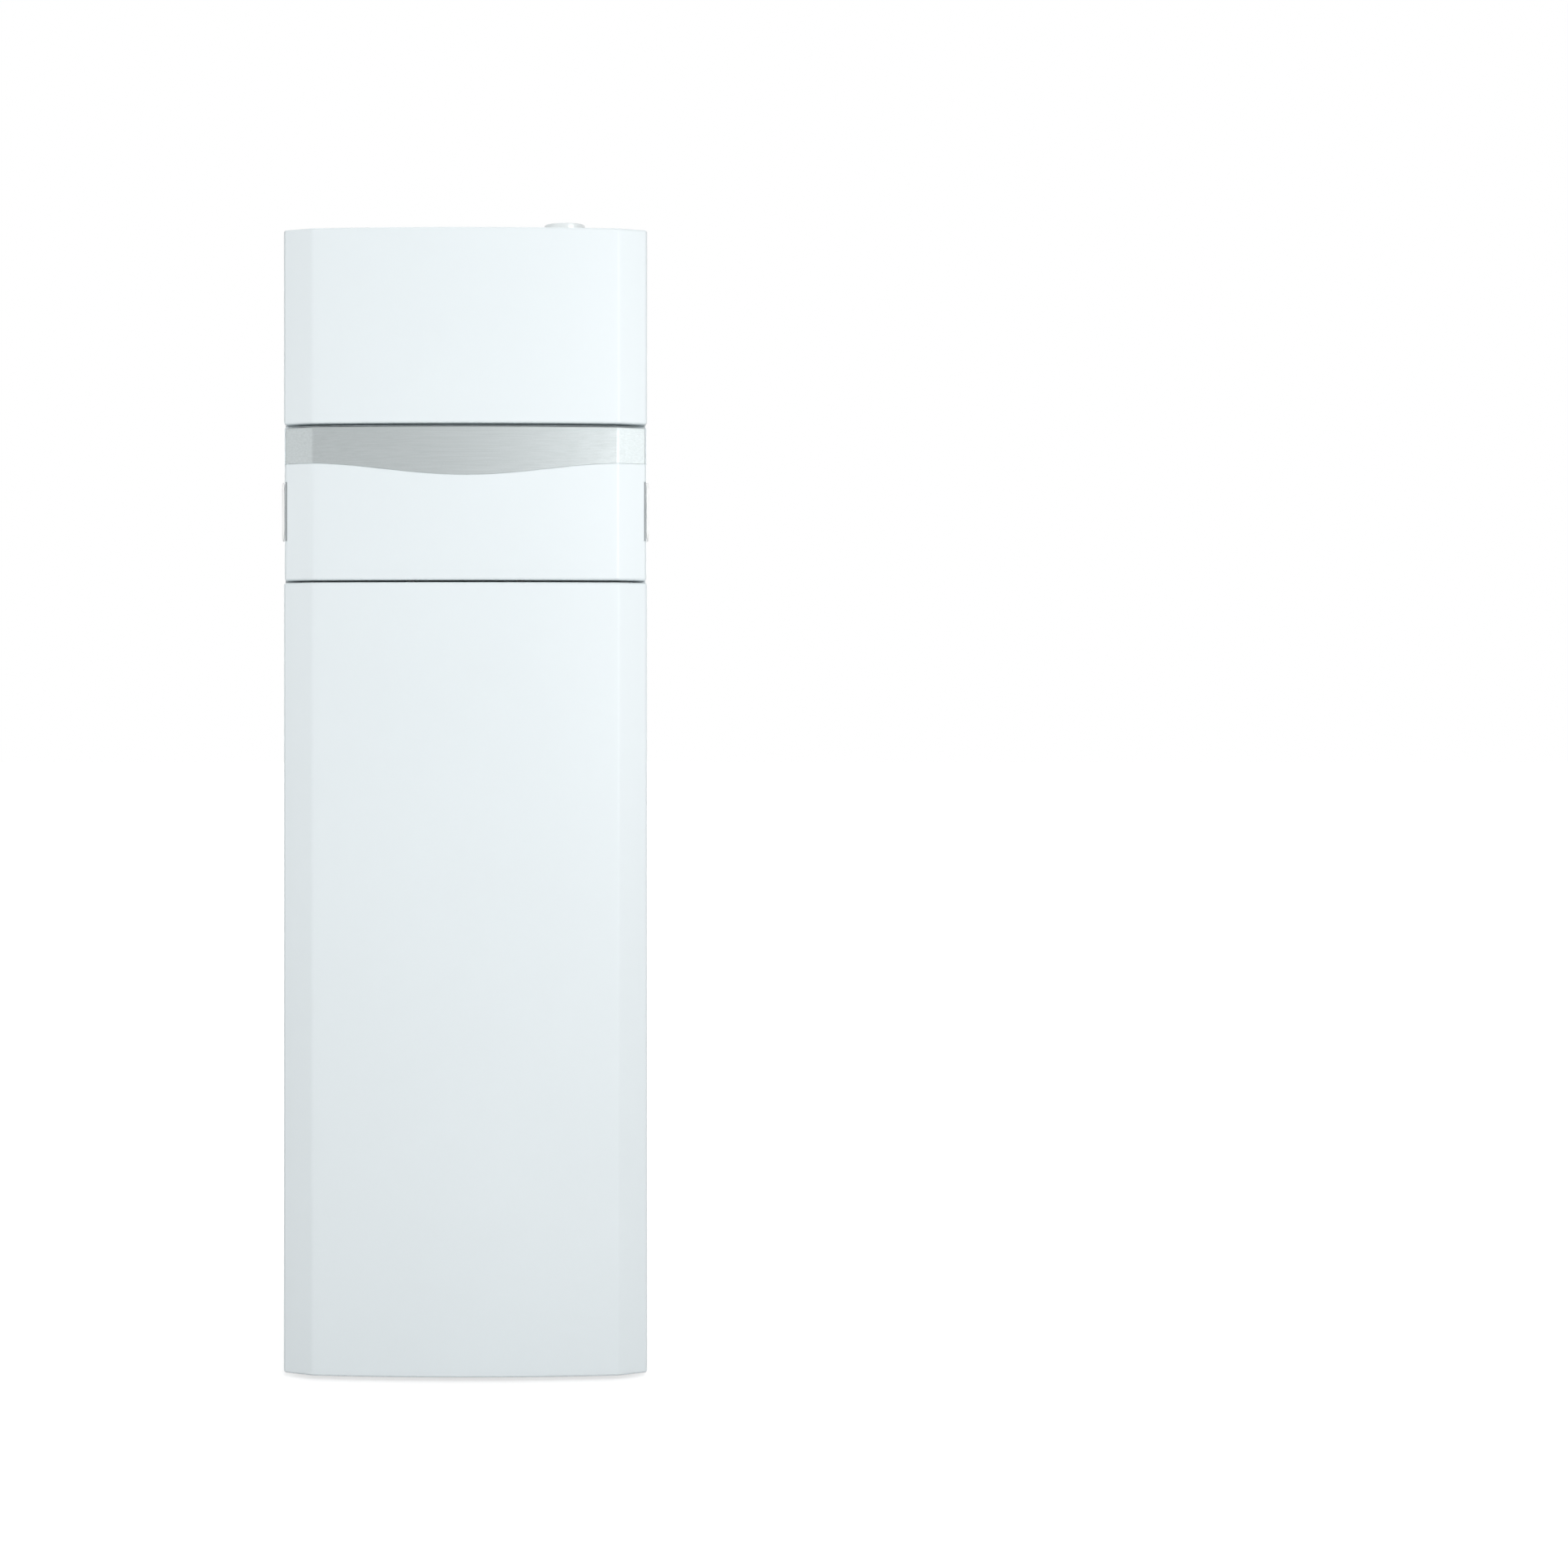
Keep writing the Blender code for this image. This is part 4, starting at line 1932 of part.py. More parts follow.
def make_heat_exchanger(module):
    """A round heat exchanger on four feet, with water ports below and the flue boss beside."""
    across, level = EXCHANGER_PLACE
    rear = EXCHANGER_FRONT + EXCHANGER_LENGTH
    outer = EXCHANGER_RADIUS
    shell = outer - EXCHANGER_BAND
    profile = [
        (0, EXCHANGER_FRONT),
        (outer, EXCHANGER_FRONT),
        (outer, EXCHANGER_FRONT + EXCHANGER_BAND_WIDTH),
    ]
    profile += [
        (shell, EXCHANGER_FRONT + EXCHANGER_BAND_WIDTH),
        (shell, rear - EXCHANGER_ROUND),
        (shell - EXCHANGER_ROUND, rear),
        (0, rear),
    ]
    exchanger = add_piece(
        "heat_exchanger",
        turned(profile, "Y", EXCHANGER_PLACE),
        "stainless",
        module,
        (across, EXCHANGER_FRONT, level),
    )
    feet = []
    places = (EXCHANGER_FRONT + EXCHANGER_FOOT_MARGIN, rear - EXCHANGER_FOOT_MARGIN)
    for sign in (-1, 1):
        middle = across + sign * EXCHANGER_FOOT_SPREAD
        for depth in places:
            feet.append(
                box(
                    middle - EXCHANGER_FOOT_HALF,
                    middle + EXCHANGER_FOOT_HALF,
                    depth - EXCHANGER_FOOT_HALF,
                    depth + EXCHANGER_FOOT_HALF,
                    MODULE_SHELF_LEVEL + SEAT,
                    level - EXCHANGER_RADIUS / 2,
                )
            )
    ports = [
        cylinder(
            "Z",
            place,
            EXCHANGER_PORT_RADIUS,
            EXCHANGER_PORT_BOTTOM,
            level - EXCHANGER_RADIUS / 2,
            BOLT_SIDES,
        )
        for place in (RETURN_PORT, FLOW_PORT)
    ]
    boss = cylinder(
        "X", (FLUE_BOSS_DEPTH, FLUE_PIPE_LEVEL), FLUE_BOSS_RADIUS, across, FLUE_BOSS_ACROSS, ROUND_SIDES
    )
    join(exchanger, gathered(feet), gathered(ports), boss)
    chamber = EXCHANGER_RADIUS - EXCHANGER_BAND - EXCHANGER_WALL
    cut(
        exchanger,
        cylinder(
            "Y", EXCHANGER_PLACE, chamber, EXCHANGER_FRONT - OVERRUN, rear - EXCHANGER_ROUND - EXCHANGER_WALL
        ),
        cylinder(
            "X",
            (FLUE_BOSS_DEPTH, FLUE_PIPE_LEVEL),
            FLUE_PIPE_RADIUS - FLUE_SOCKET_WALL,
            across,
            FLUE_BOSS_ACROSS + OVERRUN,
            FLUE_SIDES,
        ),
    )


def scroll_outline(inset, reach):
    """Front view of the fan: a spiral that grows once round and leaves as a straight duct to the right."""
    across, level = FAN_CENTRE
    growth = FAN_LARGE_RADIUS - FAN_SMALL_RADIUS
    outline = []
    for step in range(FAN_SCROLL_STEPS + 1):
        angle = FAN_TONGUE_ANGLE + (2 * math.pi - FAN_TONGUE_ANGLE) * step / FAN_SCROLL_STEPS
        radius = FAN_SMALL_RADIUS + growth * angle / (2 * math.pi) - inset
        turn = angle - math.pi / 2
        outline.append((across + radius * math.cos(turn), level + radius * math.sin(turn)))
    mouth = across + reach
    outline.append((mouth, level - FAN_LARGE_RADIUS + inset))
    outline.append((mouth, outline[0][1]))
    return outline


def make_fan_housing(module):
    """The fan's scroll: hollow, its inlet at the front, its duct open to the right and its motor behind."""
    across, level = FAN_CENTRE
    rear = FAN_FRONT + FAN_DEPTH
    mouth = across + FAN_DUCT_REACH
    housing = add_piece(
        "fan_housing",
        prism(scroll_outline(0, FAN_DUCT_REACH), FAN_FRONT, rear, "Y"),
        "cast_aluminium",
        module,
        (across, FAN_FRONT, level),
    )
    motor_rear = EXCHANGER_FRONT - SEAT - DOOR_THICKNESS - SEAT
    lip = FAN_INLET_RADIUS + FAN_INLET_LIP
    join(
        housing,
        cylinder("Y", FAN_CENTRE, FAN_MOTOR_RADIUS, rear - FAN_WALL / 2, motor_rear),
        cylinder("Y", FAN_CENTRE, lip, FAN_FRONT - FAN_INLET_LIP_HEIGHT, FAN_FRONT + FAN_WALL / 2),
    )
    cut(
        housing,
        prism(
            scroll_outline(FAN_WALL, FAN_DUCT_REACH + OVERRUN), FAN_FRONT + FAN_WALL, rear - FAN_WALL, "Y"
        ),
        cylinder(
            "Y",
            FAN_CENTRE,
            FAN_INLET_RADIUS,
            FAN_FRONT - FAN_INLET_LIP_HEIGHT - OVERRUN,
            FAN_FRONT + FAN_WALL + SEAT,
        ),
        cylinder(
            "Y",
            FAN_CENTRE,
            IMPELLER_SHAFT_RADIUS + SEAT,
            rear - FAN_WALL - SEAT,
            rear - FAN_WALL + IMPELLER_SHAFT_LENGTH + SHEET,
            BOLT_SIDES,
        ),
    )
    return mouth


def blade_outline(turn):
    """One blade in front view: a thin curved strip from the eye to the rim that leans back as it runs out."""
    across, level = FAN_CENTRE
    sides = ([], [])
    for step in range(IMPELLER_BLADE_STEPS + 1):
        share = step / IMPELLER_BLADE_STEPS
        radius = IMPELLER_EYE + (IMPELLER_RADIUS - SHEET - IMPELLER_EYE) * share
        lean = turn - IMPELLER_BLADE_LEAN * share * share
        half = IMPELLER_BLADE_THICKNESS / 2 / radius
        for side, sign in zip(sides, (-1, 1)):
            angle = lean + sign * half
            side.append((across + radius * math.cos(angle), level + radius * math.sin(angle)))
    return sides[0] + sides[1][::-1]


def make_fan_impeller(spin):
    """The impeller: a back plate on the motor's shaft, curved blades and a front ring round the eye."""
    front = FAN_FRONT + FAN_WALL + IMPELLER_GAP
    rear = FAN_FRONT + FAN_DEPTH - FAN_WALL - IMPELLER_GAP
    shaft_end = FAN_FRONT + FAN_DEPTH - FAN_WALL + IMPELLER_SHAFT_LENGTH
    profile = [
        (0, rear - IMPELLER_PLATE - IMPELLER_HUB),
        (IMPELLER_HUB, rear - IMPELLER_PLATE),
        (IMPELLER_RADIUS, rear - IMPELLER_PLATE),
        (IMPELLER_RADIUS, rear),
        (IMPELLER_SHAFT_RADIUS, rear),
        (IMPELLER_SHAFT_RADIUS, shaft_end),
        (0, shaft_end),
    ]
    impeller = add_piece("fan_impeller", turned(profile, "Y", FAN_CENTRE), "dark_plastic", spin)
    blades = [
        prism(
            blade_outline(2 * math.pi * blade / IMPELLER_BLADES),
            front + IMPELLER_PLATE / 2,
            rear - IMPELLER_PLATE / 2,
            "Y",
        )
        for blade in range(IMPELLER_BLADES)
    ]
    ring = [
        (IMPELLER_EYE, front),
        (IMPELLER_RADIUS, front),
        (IMPELLER_RADIUS, front + IMPELLER_PLATE),
        (IMPELLER_EYE, front + IMPELLER_PLATE),
    ]
    join(impeller, gathered(blades), turned(ring, "Y", FAN_CENTRE))


def make_burner_door(module, mouth):
    """The round burner door with fixing lugs, and the plenum that takes the mixture from the fan's duct."""
    across, level = EXCHANGER_PLACE
    rear = EXCHANGER_FRONT - SEAT
    front = rear - DOOR_THICKNESS
    profile = [
        (0, front),
        (DOOR_RADIUS - DOOR_ROUND, front),
        (DOOR_RADIUS, front + DOOR_ROUND),
        (DOOR_RADIUS, rear),
        (0, rear),
    ]
    door = add_piece(
        "burner_door", turned(profile, "Y", EXCHANGER_PLACE), "cast_aluminium", module, (across, rear, level)
    )
    left = mouth + SEAT
    top = FAN_CENTRE[1] - FAN_SMALL_RADIUS
    bottom = FAN_CENTRE[1] - FAN_LARGE_RADIUS
    lugs = []
    for lug in range(DOOR_LUGS):
        turn = 2 * math.pi * (lug + 1 / 2) / DOOR_LUGS
        place = (across + DOOR_RADIUS * math.cos(turn), level + DOOR_RADIUS * math.sin(turn))
        lugs.append(cylinder("Y", place, DOOR_LUG_RADIUS, front + DOOR_ROUND, rear - SHEET, BOLT_SIDES))
    plenum = box(
        left, left + PLENUM_WIDTH, FAN_FRONT, front + DOOR_THICKNESS / 2, bottom, top + PLENUM_OVERLAP
    )
    join(door, gathered(lugs), plenum)


def make_gas_valve(module):
    """The gas valve: a cast body on the module shelf with two solenoids on top."""
    left = GAS_VALVE_RIGHT - GAS_VALVE_WIDTH
    bottom = MODULE_SHELF_LEVEL + SEAT
    top = bottom + GAS_VALVE_HEIGHT
    valve = add_piece(
        "gas_valve",
        rounded_box(
            left,
            GAS_VALVE_RIGHT,
            GAS_PIPE_FRONT - GAS_VALVE_DEPTH / 2,
            GAS_PIPE_FRONT + GAS_VALVE_DEPTH / 2,
            bottom,
            top,
            GAS_VALVE_ROUND,
        ),
        "cast_aluminium",
        module,
        (left, GAS_PIPE_FRONT, bottom),
    )
    middle = (left + GAS_VALVE_RIGHT) / 2
    join(
        valve,
        gathered(
            [
                cylinder(
                    "Z",
                    (middle + sign * SOLENOID_SPREAD, GAS_PIPE_FRONT),
                    SOLENOID_RADIUS,
                    top - SHEET,
                    top + SOLENOID_HEIGHT,
                    BOLT_SIDES,
                )
                for sign in (-1, 1)
            ]
        ),
    )


def make_flue_pipe(module):
    """The flue pipe: a thin tube from the heat exchanger's boss up to the adapter's spigot."""
    across, depth = FLUE_PLACE
    top = CABINET_TOP - FLUE_SOCKET_DEPTH - SEAT
    start = FLUE_BOSS_ACROSS + SEAT
    corners = [
        (across, depth, top),
        (across, depth, FLUE_PIPE_LEVEL),
        (across, FLUE_BOSS_DEPTH, FLUE_PIPE_LEVEL),
        (start, FLUE_BOSS_DEPTH, FLUE_PIPE_LEVEL),
    ]
    longer = [
        (across, depth, top + OVERRUN),
        *corners[1:3],
        (start - OVERRUN, FLUE_BOSS_DEPTH, FLUE_PIPE_LEVEL),
    ]
    outer = swept(rounded_route(corners, FLUE_PIPE_BEND), FLUE_PIPE_RADIUS, FLUE_SIDES)
    pipe = add_piece("flue_pipe", outer, "light_plastic", module, corners[0])
    bore = rounded_route(longer, FLUE_PIPE_BEND)
    cut(pipe, swept(bore, FLUE_PIPE_RADIUS - FLUE_SOCKET_WALL, FLUE_SIDES))


def make_flue_adapter(casing):
    """The flue adapter on top: a flange and air collar round the taller flue socket with its beaded rim."""
    low = CABINET_TOP + SEAT
    socket = FLUE_SOCKET_RADIUS
    bore = socket - FLUE_SOCKET_WALL
    top = CABINET_TOP + FLUE_SOCKET_HEIGHT
    collar = CABINET_TOP + FLUE_COLLAR_HEIGHT
    plate = low + FLUE_FLANGE_THICKNESS
    profile = [
        (bore, CABINET_TOP - FLUE_SOCKET_DEPTH),
        (socket, CABINET_TOP - FLUE_SOCKET_DEPTH),
        (socket, low),
        (FLUE_FLANGE_RADIUS, low),
        (FLUE_FLANGE_RADIUS, plate),
        (FLUE_COLLAR_RADIUS, plate),
        (FLUE_COLLAR_RADIUS, collar),
        (FLUE_COLLAR_RADIUS - FLUE_COLLAR_WALL, collar),
        (FLUE_COLLAR_RADIUS - FLUE_COLLAR_WALL, plate + SHEET),
        (socket, plate + SHEET),
        (socket, top - 3 * FLUE_RIM),
        (socket + FLUE_RIM, top - 2 * FLUE_RIM),
        (socket + FLUE_RIM, top - FLUE_RIM),
        (socket, top),
        (bore, top),
    ]
    add_piece(
        "flue_adapter", turned(profile, "Z", FLUE_PLACE), "light_plastic", casing, (*FLUE_PLACE, CABINET_TOP)
    )


def make_cable_gland(casing):
    """The gland for the supply cord, through its own hole in the top panel."""
    low = CABINET_TOP + SEAT
    nut = low + GLAND_NUT_HEIGHT
    profile = [
        (GLAND_BORE, CABINET_TOP - GLAND_TAIL),
        (GLAND_RADIUS - GLAND_CLEARANCE, CABINET_TOP - GLAND_TAIL),
        (GLAND_RADIUS - GLAND_CLEARANCE, low),
        (GLAND_NUT_RADIUS, low),
        (GLAND_NUT_RADIUS, nut),
        (GLAND_RADIUS, nut + GLAND_DOME_HEIGHT),
        (GLAND_BORE, nut + GLAND_DOME_HEIGHT),
    ]
    add_piece(
        "cable_gland",
        turned(profile, "Z", GLAND_PLACE, BOLT_SIDES),
        "dark_plastic",
        casing,
        (*GLAND_PLACE, low),
    )


def build_casing(cabinet):
    casing = add_group("casing", cabinet)
    make_base_tray(casing)
    make_feet(casing)
    both_sides(lambda side, sign: make_side_panel(side, sign, casing))
    make_rear_panel(casing)
    make_top_panel(casing)
    ports = [(place, PORT_RADIUS) for place in (COLD_PORT, HOT_PORT, COIL_PORT)]
    make_shelf("middle_shelf", casing, MIDDLE_SHELF_LEVEL, SHELF_REAR, ports)
    risers = [(place, WATER_PIPE_RADIUS) for place in (RETURN_PORT, FLOW_PORT)]
    make_shelf("module_shelf", casing, MODULE_SHELF_LEVEL, MODULE_SHELF_REAR, risers)
    make_control_rail(casing)
    both_sides(lambda side, sign: make_flap_bracket(side, sign, casing))
    make_flue_adapter(casing)
    make_cable_gland(casing)


def build_fronts(cabinet):
    upper = add_group("upper_cover_slide", cabinet, (0, COVER_REAR, UPPER_COVER_BOTTOM))
    make_cover("upper_cover", upper, UPPER_COVER_BOTTOM, CABINET_TOP)
    lower = add_group("lower_cover_slide", cabinet, (0, COVER_REAR, FLOOR_GAP))
    make_cover("lower_cover", lower, FLOOR_GAP, LOWER_COVER_TOP)
    flap = add_group("flap_hinge", cabinet, (0, HINGE_Y, HINGE_Z))
    make_flap_panel(flap)
    make_flap_band(flap)
    both_sides(lambda side, sign: make_flap_grip(side, sign, flap))


def build_store(cabinet):
    store = add_group("hot_water_store", cabinet, (*STORE_PLACE, store_floor()))
    make_tank(store)
    both_sides(lambda side, sign: make_tank_jacket(side, sign, store))
    make_drain_cock(store)
    stem_top = DRAIN_LEVEL + DRAIN_STEM_HEIGHT + SEAT
    turn = add_group("drain_lever_turn", cabinet, (*drain_stem_place(), stem_top))
    make_lever("drain_lever", turn, "red_plastic", drain_stem_place(), stem_top, (1, 0))


def build_hydraulics(cabinet):
    hydraulics = add_group("hydraulics", cabinet, (0, 0, MIDDLE_SHELF_LEVEL))
    make_pump(hydraulics)
    make_diverter_valve(hydraulics)
    cap_turn = add_group("safety_cap_turn", cabinet, (*SAFETY_PLACE, safety_top()))
    make_safety_valve(hydraulics, cap_turn)
    make_siphon(hydraulics)
    make_expansion_vessel(hydraulics)
    pipes = add_group("pipes", cabinet, (0, PIPE_REAR, 0))
    make_water_pipes(pipes)
    make_heating_pipes(pipes)
    make_primary_pipes(pipes)
    make_gas_pipe(pipes)
    stem = (GAS_PIPE_ACROSS, GAS_COCK_DEPTH)
    stem_top = GAS_PIPE_LEVEL + GAS_STEM_HEIGHT + SEAT
    turn = add_group("gas_lever_turn", cabinet, (*stem, stem_top))
    make_lever("gas_cock_lever", turn, "red_plastic", stem, stem_top, (0, -1))


def build_control_unit(cabinet):
    control = add_group("control_unit", cabinet, (0, CONTROL_FRONT, control_bottom()))
    make_control_box(control)
    make_control_fascia(control)
    make_display(control)
    front, _ = fascia_faces()
    for name, place in knob_places().items():
        turn = add_group(f"{name}_knob_turn", cabinet, on_axis("Y", *place, front))
        make_knob(f"{name}_knob", place, turn)
    for name, place in button_places().items():
        press = add_group(f"{name}_button_press", cabinet, on_axis("Y", *place, front))
        make_button(f"{name}_button", place, press)
    depth, level = switch_axis()
    make_power_switch(add_group("power_switch_rock", cabinet, (SWITCH_OFFSET, depth, level)))
    needle_turn = add_group("needle_turn", cabinet, (GAUGE_OFFSET, front, CONTROLS_LEVEL))
    make_gauge(control, needle_turn)


def build_burner_module(cabinet):
    module = add_group("burner_module", cabinet, (0, 0, MODULE_SHELF_LEVEL))
    make_heat_exchanger(module)
    mouth = make_fan_housing(module)
    spin = add_group("fan_spin", cabinet, on_axis("Y", *FAN_CENTRE, FAN_FRONT))
    make_fan_impeller(spin)
    make_burner_door(module, mouth)
    make_gas_valve(module)
    make_flue_pipe(module)


def main():
    clear_scene()
    cabinet = add_group("cabinet")
    build_casing(cabinet)
    build_fronts(cabinet)
    build_store(cabinet)
    build_hydraulics(cabinet)
    build_control_unit(cabinet)
    build_burner_module(cabinet)


main()
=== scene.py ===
"""Dresses a packed floor standing boiler: fine fronts, finishes, small fittings, and a stage to see it on."""

import json
import math
from functools import partial

import bmesh
import bpy
from mathutils import Matrix, Vector


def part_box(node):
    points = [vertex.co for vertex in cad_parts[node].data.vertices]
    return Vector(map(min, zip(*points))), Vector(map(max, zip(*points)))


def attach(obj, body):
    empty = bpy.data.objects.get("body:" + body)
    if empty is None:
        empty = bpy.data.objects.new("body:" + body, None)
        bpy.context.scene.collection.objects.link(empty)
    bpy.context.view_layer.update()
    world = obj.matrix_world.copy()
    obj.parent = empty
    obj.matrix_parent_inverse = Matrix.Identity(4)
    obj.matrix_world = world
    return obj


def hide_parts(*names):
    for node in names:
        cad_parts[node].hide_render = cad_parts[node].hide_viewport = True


bl_info = {
    "name": "Floor standing boiler",
    "version": (1, 0, 0),
    "blender": (4, 5, 0),
    "location": "View3D > Sidebar > Boiler",
    "description": "Fronts, finishes and fittings of a floor standing boiler around its construction model",
    "category": "Object",
}

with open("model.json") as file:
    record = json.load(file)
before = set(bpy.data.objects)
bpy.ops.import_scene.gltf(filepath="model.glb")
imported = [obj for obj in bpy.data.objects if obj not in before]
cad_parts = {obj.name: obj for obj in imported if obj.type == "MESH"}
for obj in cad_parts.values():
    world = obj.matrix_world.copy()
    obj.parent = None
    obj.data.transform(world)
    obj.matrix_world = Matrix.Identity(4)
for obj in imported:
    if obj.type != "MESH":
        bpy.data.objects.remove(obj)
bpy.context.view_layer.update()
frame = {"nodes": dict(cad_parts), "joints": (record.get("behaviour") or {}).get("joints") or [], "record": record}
NODES = frame["nodes"]

# Planes and levels read from the construction model
COVER_LOW, COVER_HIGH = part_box("lower_cover")
FLAP_LOW, FLAP_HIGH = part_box("flap_panel")
GRIP_LOW, GRIP_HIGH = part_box("flap_grip_right")
FASCIA_LOW, FASCIA_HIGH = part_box("control_fascia")
REAR_LOW, REAR_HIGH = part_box("rear_panel")
TOP_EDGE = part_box("top_panel")[1]
FASCIA_FACE = FASCIA_HIGH.y - 0.003
HINGE = next(joint for joint in frame["joints"] if joint["name"] == "flap_hinge")["pos_m"][1:]

# Making
OVERRUN = 0.010
SEAT = 0.0003
MERGE = 1e-6
SMALL_SCREW = 0.0030
FINE_ANGLE = math.radians(28)
FRONT_ANGLE = math.radians(24)
FULL_TURN = 2 * math.pi
QUARTER = math.pi / 2

length = partial(bpy.props.FloatProperty, min=0.0002, unit="LENGTH")
power = partial(bpy.props.FloatProperty, min=0, unit="POWER")
tint = partial(bpy.props.FloatVectorProperty, size=3, min=0, max=1, subtype="COLOR")


class BoilerSizes(bpy.types.PropertyGroup):
    """Sizes of the fronts and their fittings."""

    crown_depth: length(name="Crown depth", description="Swell of a front in the middle", default=0.0135)
    chamfer_width: length(name="Chamfer width", description="Width of the slanted side strips", default=0.048)
    chamfer_depth: length(name="Chamfer depth", description="How far those strips fall back", default=0.0215)
    edge_round: length(name="Edge radius", description="Radius of the fronts' outer edges", default=0.0042)
    shoulder_round: length(name="Shoulder radius", description="Where chamfer and crown meet", default=0.0030)
    cover_sheet: length(name="Cover sheet", description="Sheet thickness of the two covers", default=0.0015)
    flap_wall: length(name="Flap wall", description="Wall thickness of the moulded flap", default=0.0038)
    band_height: length(name="Band height", description="Height of the band at its sides", default=0.0610)
    band_dip: length(name="Band dip", description="Dip of the band's wave in the middle", default=0.0196)
    screw_radius: length(name="Screw radius", description="Heads of the casing's screws", default=0.0034)


class BoilerColours(bpy.types.PropertyGroup):
    """Colours of the main finishes."""

    white: tint(name="White", description="Covers, casing and flap", default=(0.790, 0.851, 0.874))
    silver: tint(name="Silver", description="The band on the flap", default=(0.386, 0.417, 0.422))
    light_grey: tint(name="Light grey", description="Fascia, knobs, flue", default=(0.740, 0.780, 0.790))
    copper: tint(name="Copper", description="Water and heating pipes", default=(0.720, 0.360, 0.220))
    brass: tint(name="Brass", description="Valves, cocks and gas pipe", default=(0.700, 0.520, 0.250))
    red: tint(name="Red", description="Levers, valve cap and vessel", default=(0.500, 0.025, 0.020))


class BoilerStudio(bpy.types.PropertyGroup):
    """Light and camera."""

    fill: bpy.props.FloatProperty(name="Surround", description="White all round", default=0.40, min=0)
    key: power(name="Key lamp", description="Large lamp in front, a little to the right", default=100)
    rim: power(name="Left lamp", description="Weak lamp at the left, seen in reflections", default=14)
    side: power(name="Right card", description="Card at the right, seen in reflections", default=135)
    above: power(name="Top lamp", description="Lamp above the cabinet", default=20)
    back: power(name="Rear lamps", description="Each of the two lamps behind", default=46)
    camera_distance: length(name="Camera distance", description="Lens to the fronts' side edges", default=4.5)
    camera_height: length(name="Camera height", description="Lens above the floor", default=1.127)
    lens: bpy.props.FloatProperty(
        name="Lens", description="Focal length on a 36 mm wide sensor", default=62.8, min=10, unit="CAMERA"
    )


def sizes():
    return bpy.context.scene.boiler_sizes


def colours():
    return bpy.context.scene.boiler_colours


def studio():
    return bpy.context.scene.boiler_studio


def side_plane():
    """Depth of the front's side edges, where chamfer and side wall meet."""
    return COVER_LOW.y + sizes().crown_depth + sizes().chamfer_depth


GREY = (0.5, 0.5, 0.5, 1)


def put(tree, socket, value):
    """Gives an input a number or colour, or joins it to another node's output."""
    if isinstance(value, bpy.types.NodeSocket):
        tree.links.new(value, socket)
    else:
        socket.default_value = value


def add_node(tree, kind, **values):
    """A shader node; values name its settings, or its inputs with a number or the output that feeds them."""
    made = tree.nodes.new(kind)
    for name, value in values.items():
        if hasattr(made, name):
            setattr(made, name, value)
        else:
            put(tree, made.inputs[name.replace("_", " ")], value)
    return made


def maths(tree, operation, *values):
    """One maths step on outputs or numbers."""
    made = add_node(tree, "ShaderNodeMath", operation=operation)
    for socket, value in zip(made.inputs, values):
        put(tree, socket, value)
    return made.outputs["Value"]


def noise(tree, scale, detail=3.0, stretch=(1, 1, 1)):
    """Noise in object space, stretched along the axes where a share is given."""
    place = tree.nodes.new("ShaderNodeTexCoord").outputs["Object"]
    place = add_node(tree, "ShaderNodeMapping", Vector=place, Scale=stretch).outputs["Vector"]
    return add_node(tree, "ShaderNodeTexNoise", Vector=place, Scale=scale, Detail=detail).outputs["Fac"]


def spread(tree, source, low, high):
    """The middle of a noise mapped to a range."""
    ends = {"From_Min": 0.3, "From_Max": 0.7, "To_Min": low, "To_Max": high}
    return add_node(tree, "ShaderNodeMapRange", Value=source, **ends).outputs["Result"]


def swing(tree, source, share):
    """A noise as a change to both sides of nothing, as large as a share."""
    return maths(tree, "MULTIPLY", share, spread(tree, source, -1.0, 1.0))


def tinted(tree, given, change):
    """The given colour, lighter or darker by a share that changes over the surface."""
    made = add_node(tree, "ShaderNodeVectorMath", operation="SCALE", Scale=maths(tree, "ADD", 1.0, change))
    put(tree, made.inputs[0], given["Colour"])
    return made.outputs["Vector"]


def powder_coat(tree, given):
    """Baked powder: a fine orange peel, a faint cloudiness in tone, and roughness that follows the peel."""
    peel = noise(tree, given["Peel"], 2.0)
    rough = maths(tree, "ADD", given["Roughness"], spread(tree, peel, -0.03, 0.03))
    return tinted(tree, given, swing(tree, noise(tree, 2.3), given["Cloud"])), rough, peel


def drawn_grain(tree, given):
    """Grain of drawn or brushed metal: long fine streaks along one axis over a fine speckle."""
    streaks = noise(tree, given["Streaks"], 2.0, (0.02, 1, 1))
    speckle = swing(tree, noise(tree, 2600, 1.0), given["Speckle"])
    change = maths(tree, "ADD", swing(tree, streaks, given["Contrast"]), speckle)
    return tinted(tree, given, change), maths(tree, "SUBTRACT", given["Roughness"], change), streaks


def zinc_spangle(tree, given):
    """Crystals of hot-dip zinc: flat cells that differ a little in tone and shine."""
    shift = add_node(tree, "ShaderNodeVectorMath", operation="MULTIPLY_ADD")
    place = tree.nodes.new("ShaderNodeTexCoord").outputs["Object"]
    for socket, value in zip(shift.inputs, (noise(tree, 60, 2.0), (0.012, 0.012, 0.012), place)):
        put(tree, socket, value)
    cells = add_node(tree, "ShaderNodeTexVoronoi", Vector=shift.outputs["Vector"], Scale=given["Cells"])
    parts = add_node(tree, "ShaderNodeSeparateColor", Color=cells.outputs["Color"])
    change = maths(tree, "MULTIPLY", maths(tree, "SUBTRACT", parts.outputs["Red"], 0.5), given["Contrast"])
    rough = maths(tree, "ADD", given["Roughness"], change)
    return tinted(tree, given, change), rough, cells.outputs["Distance"]


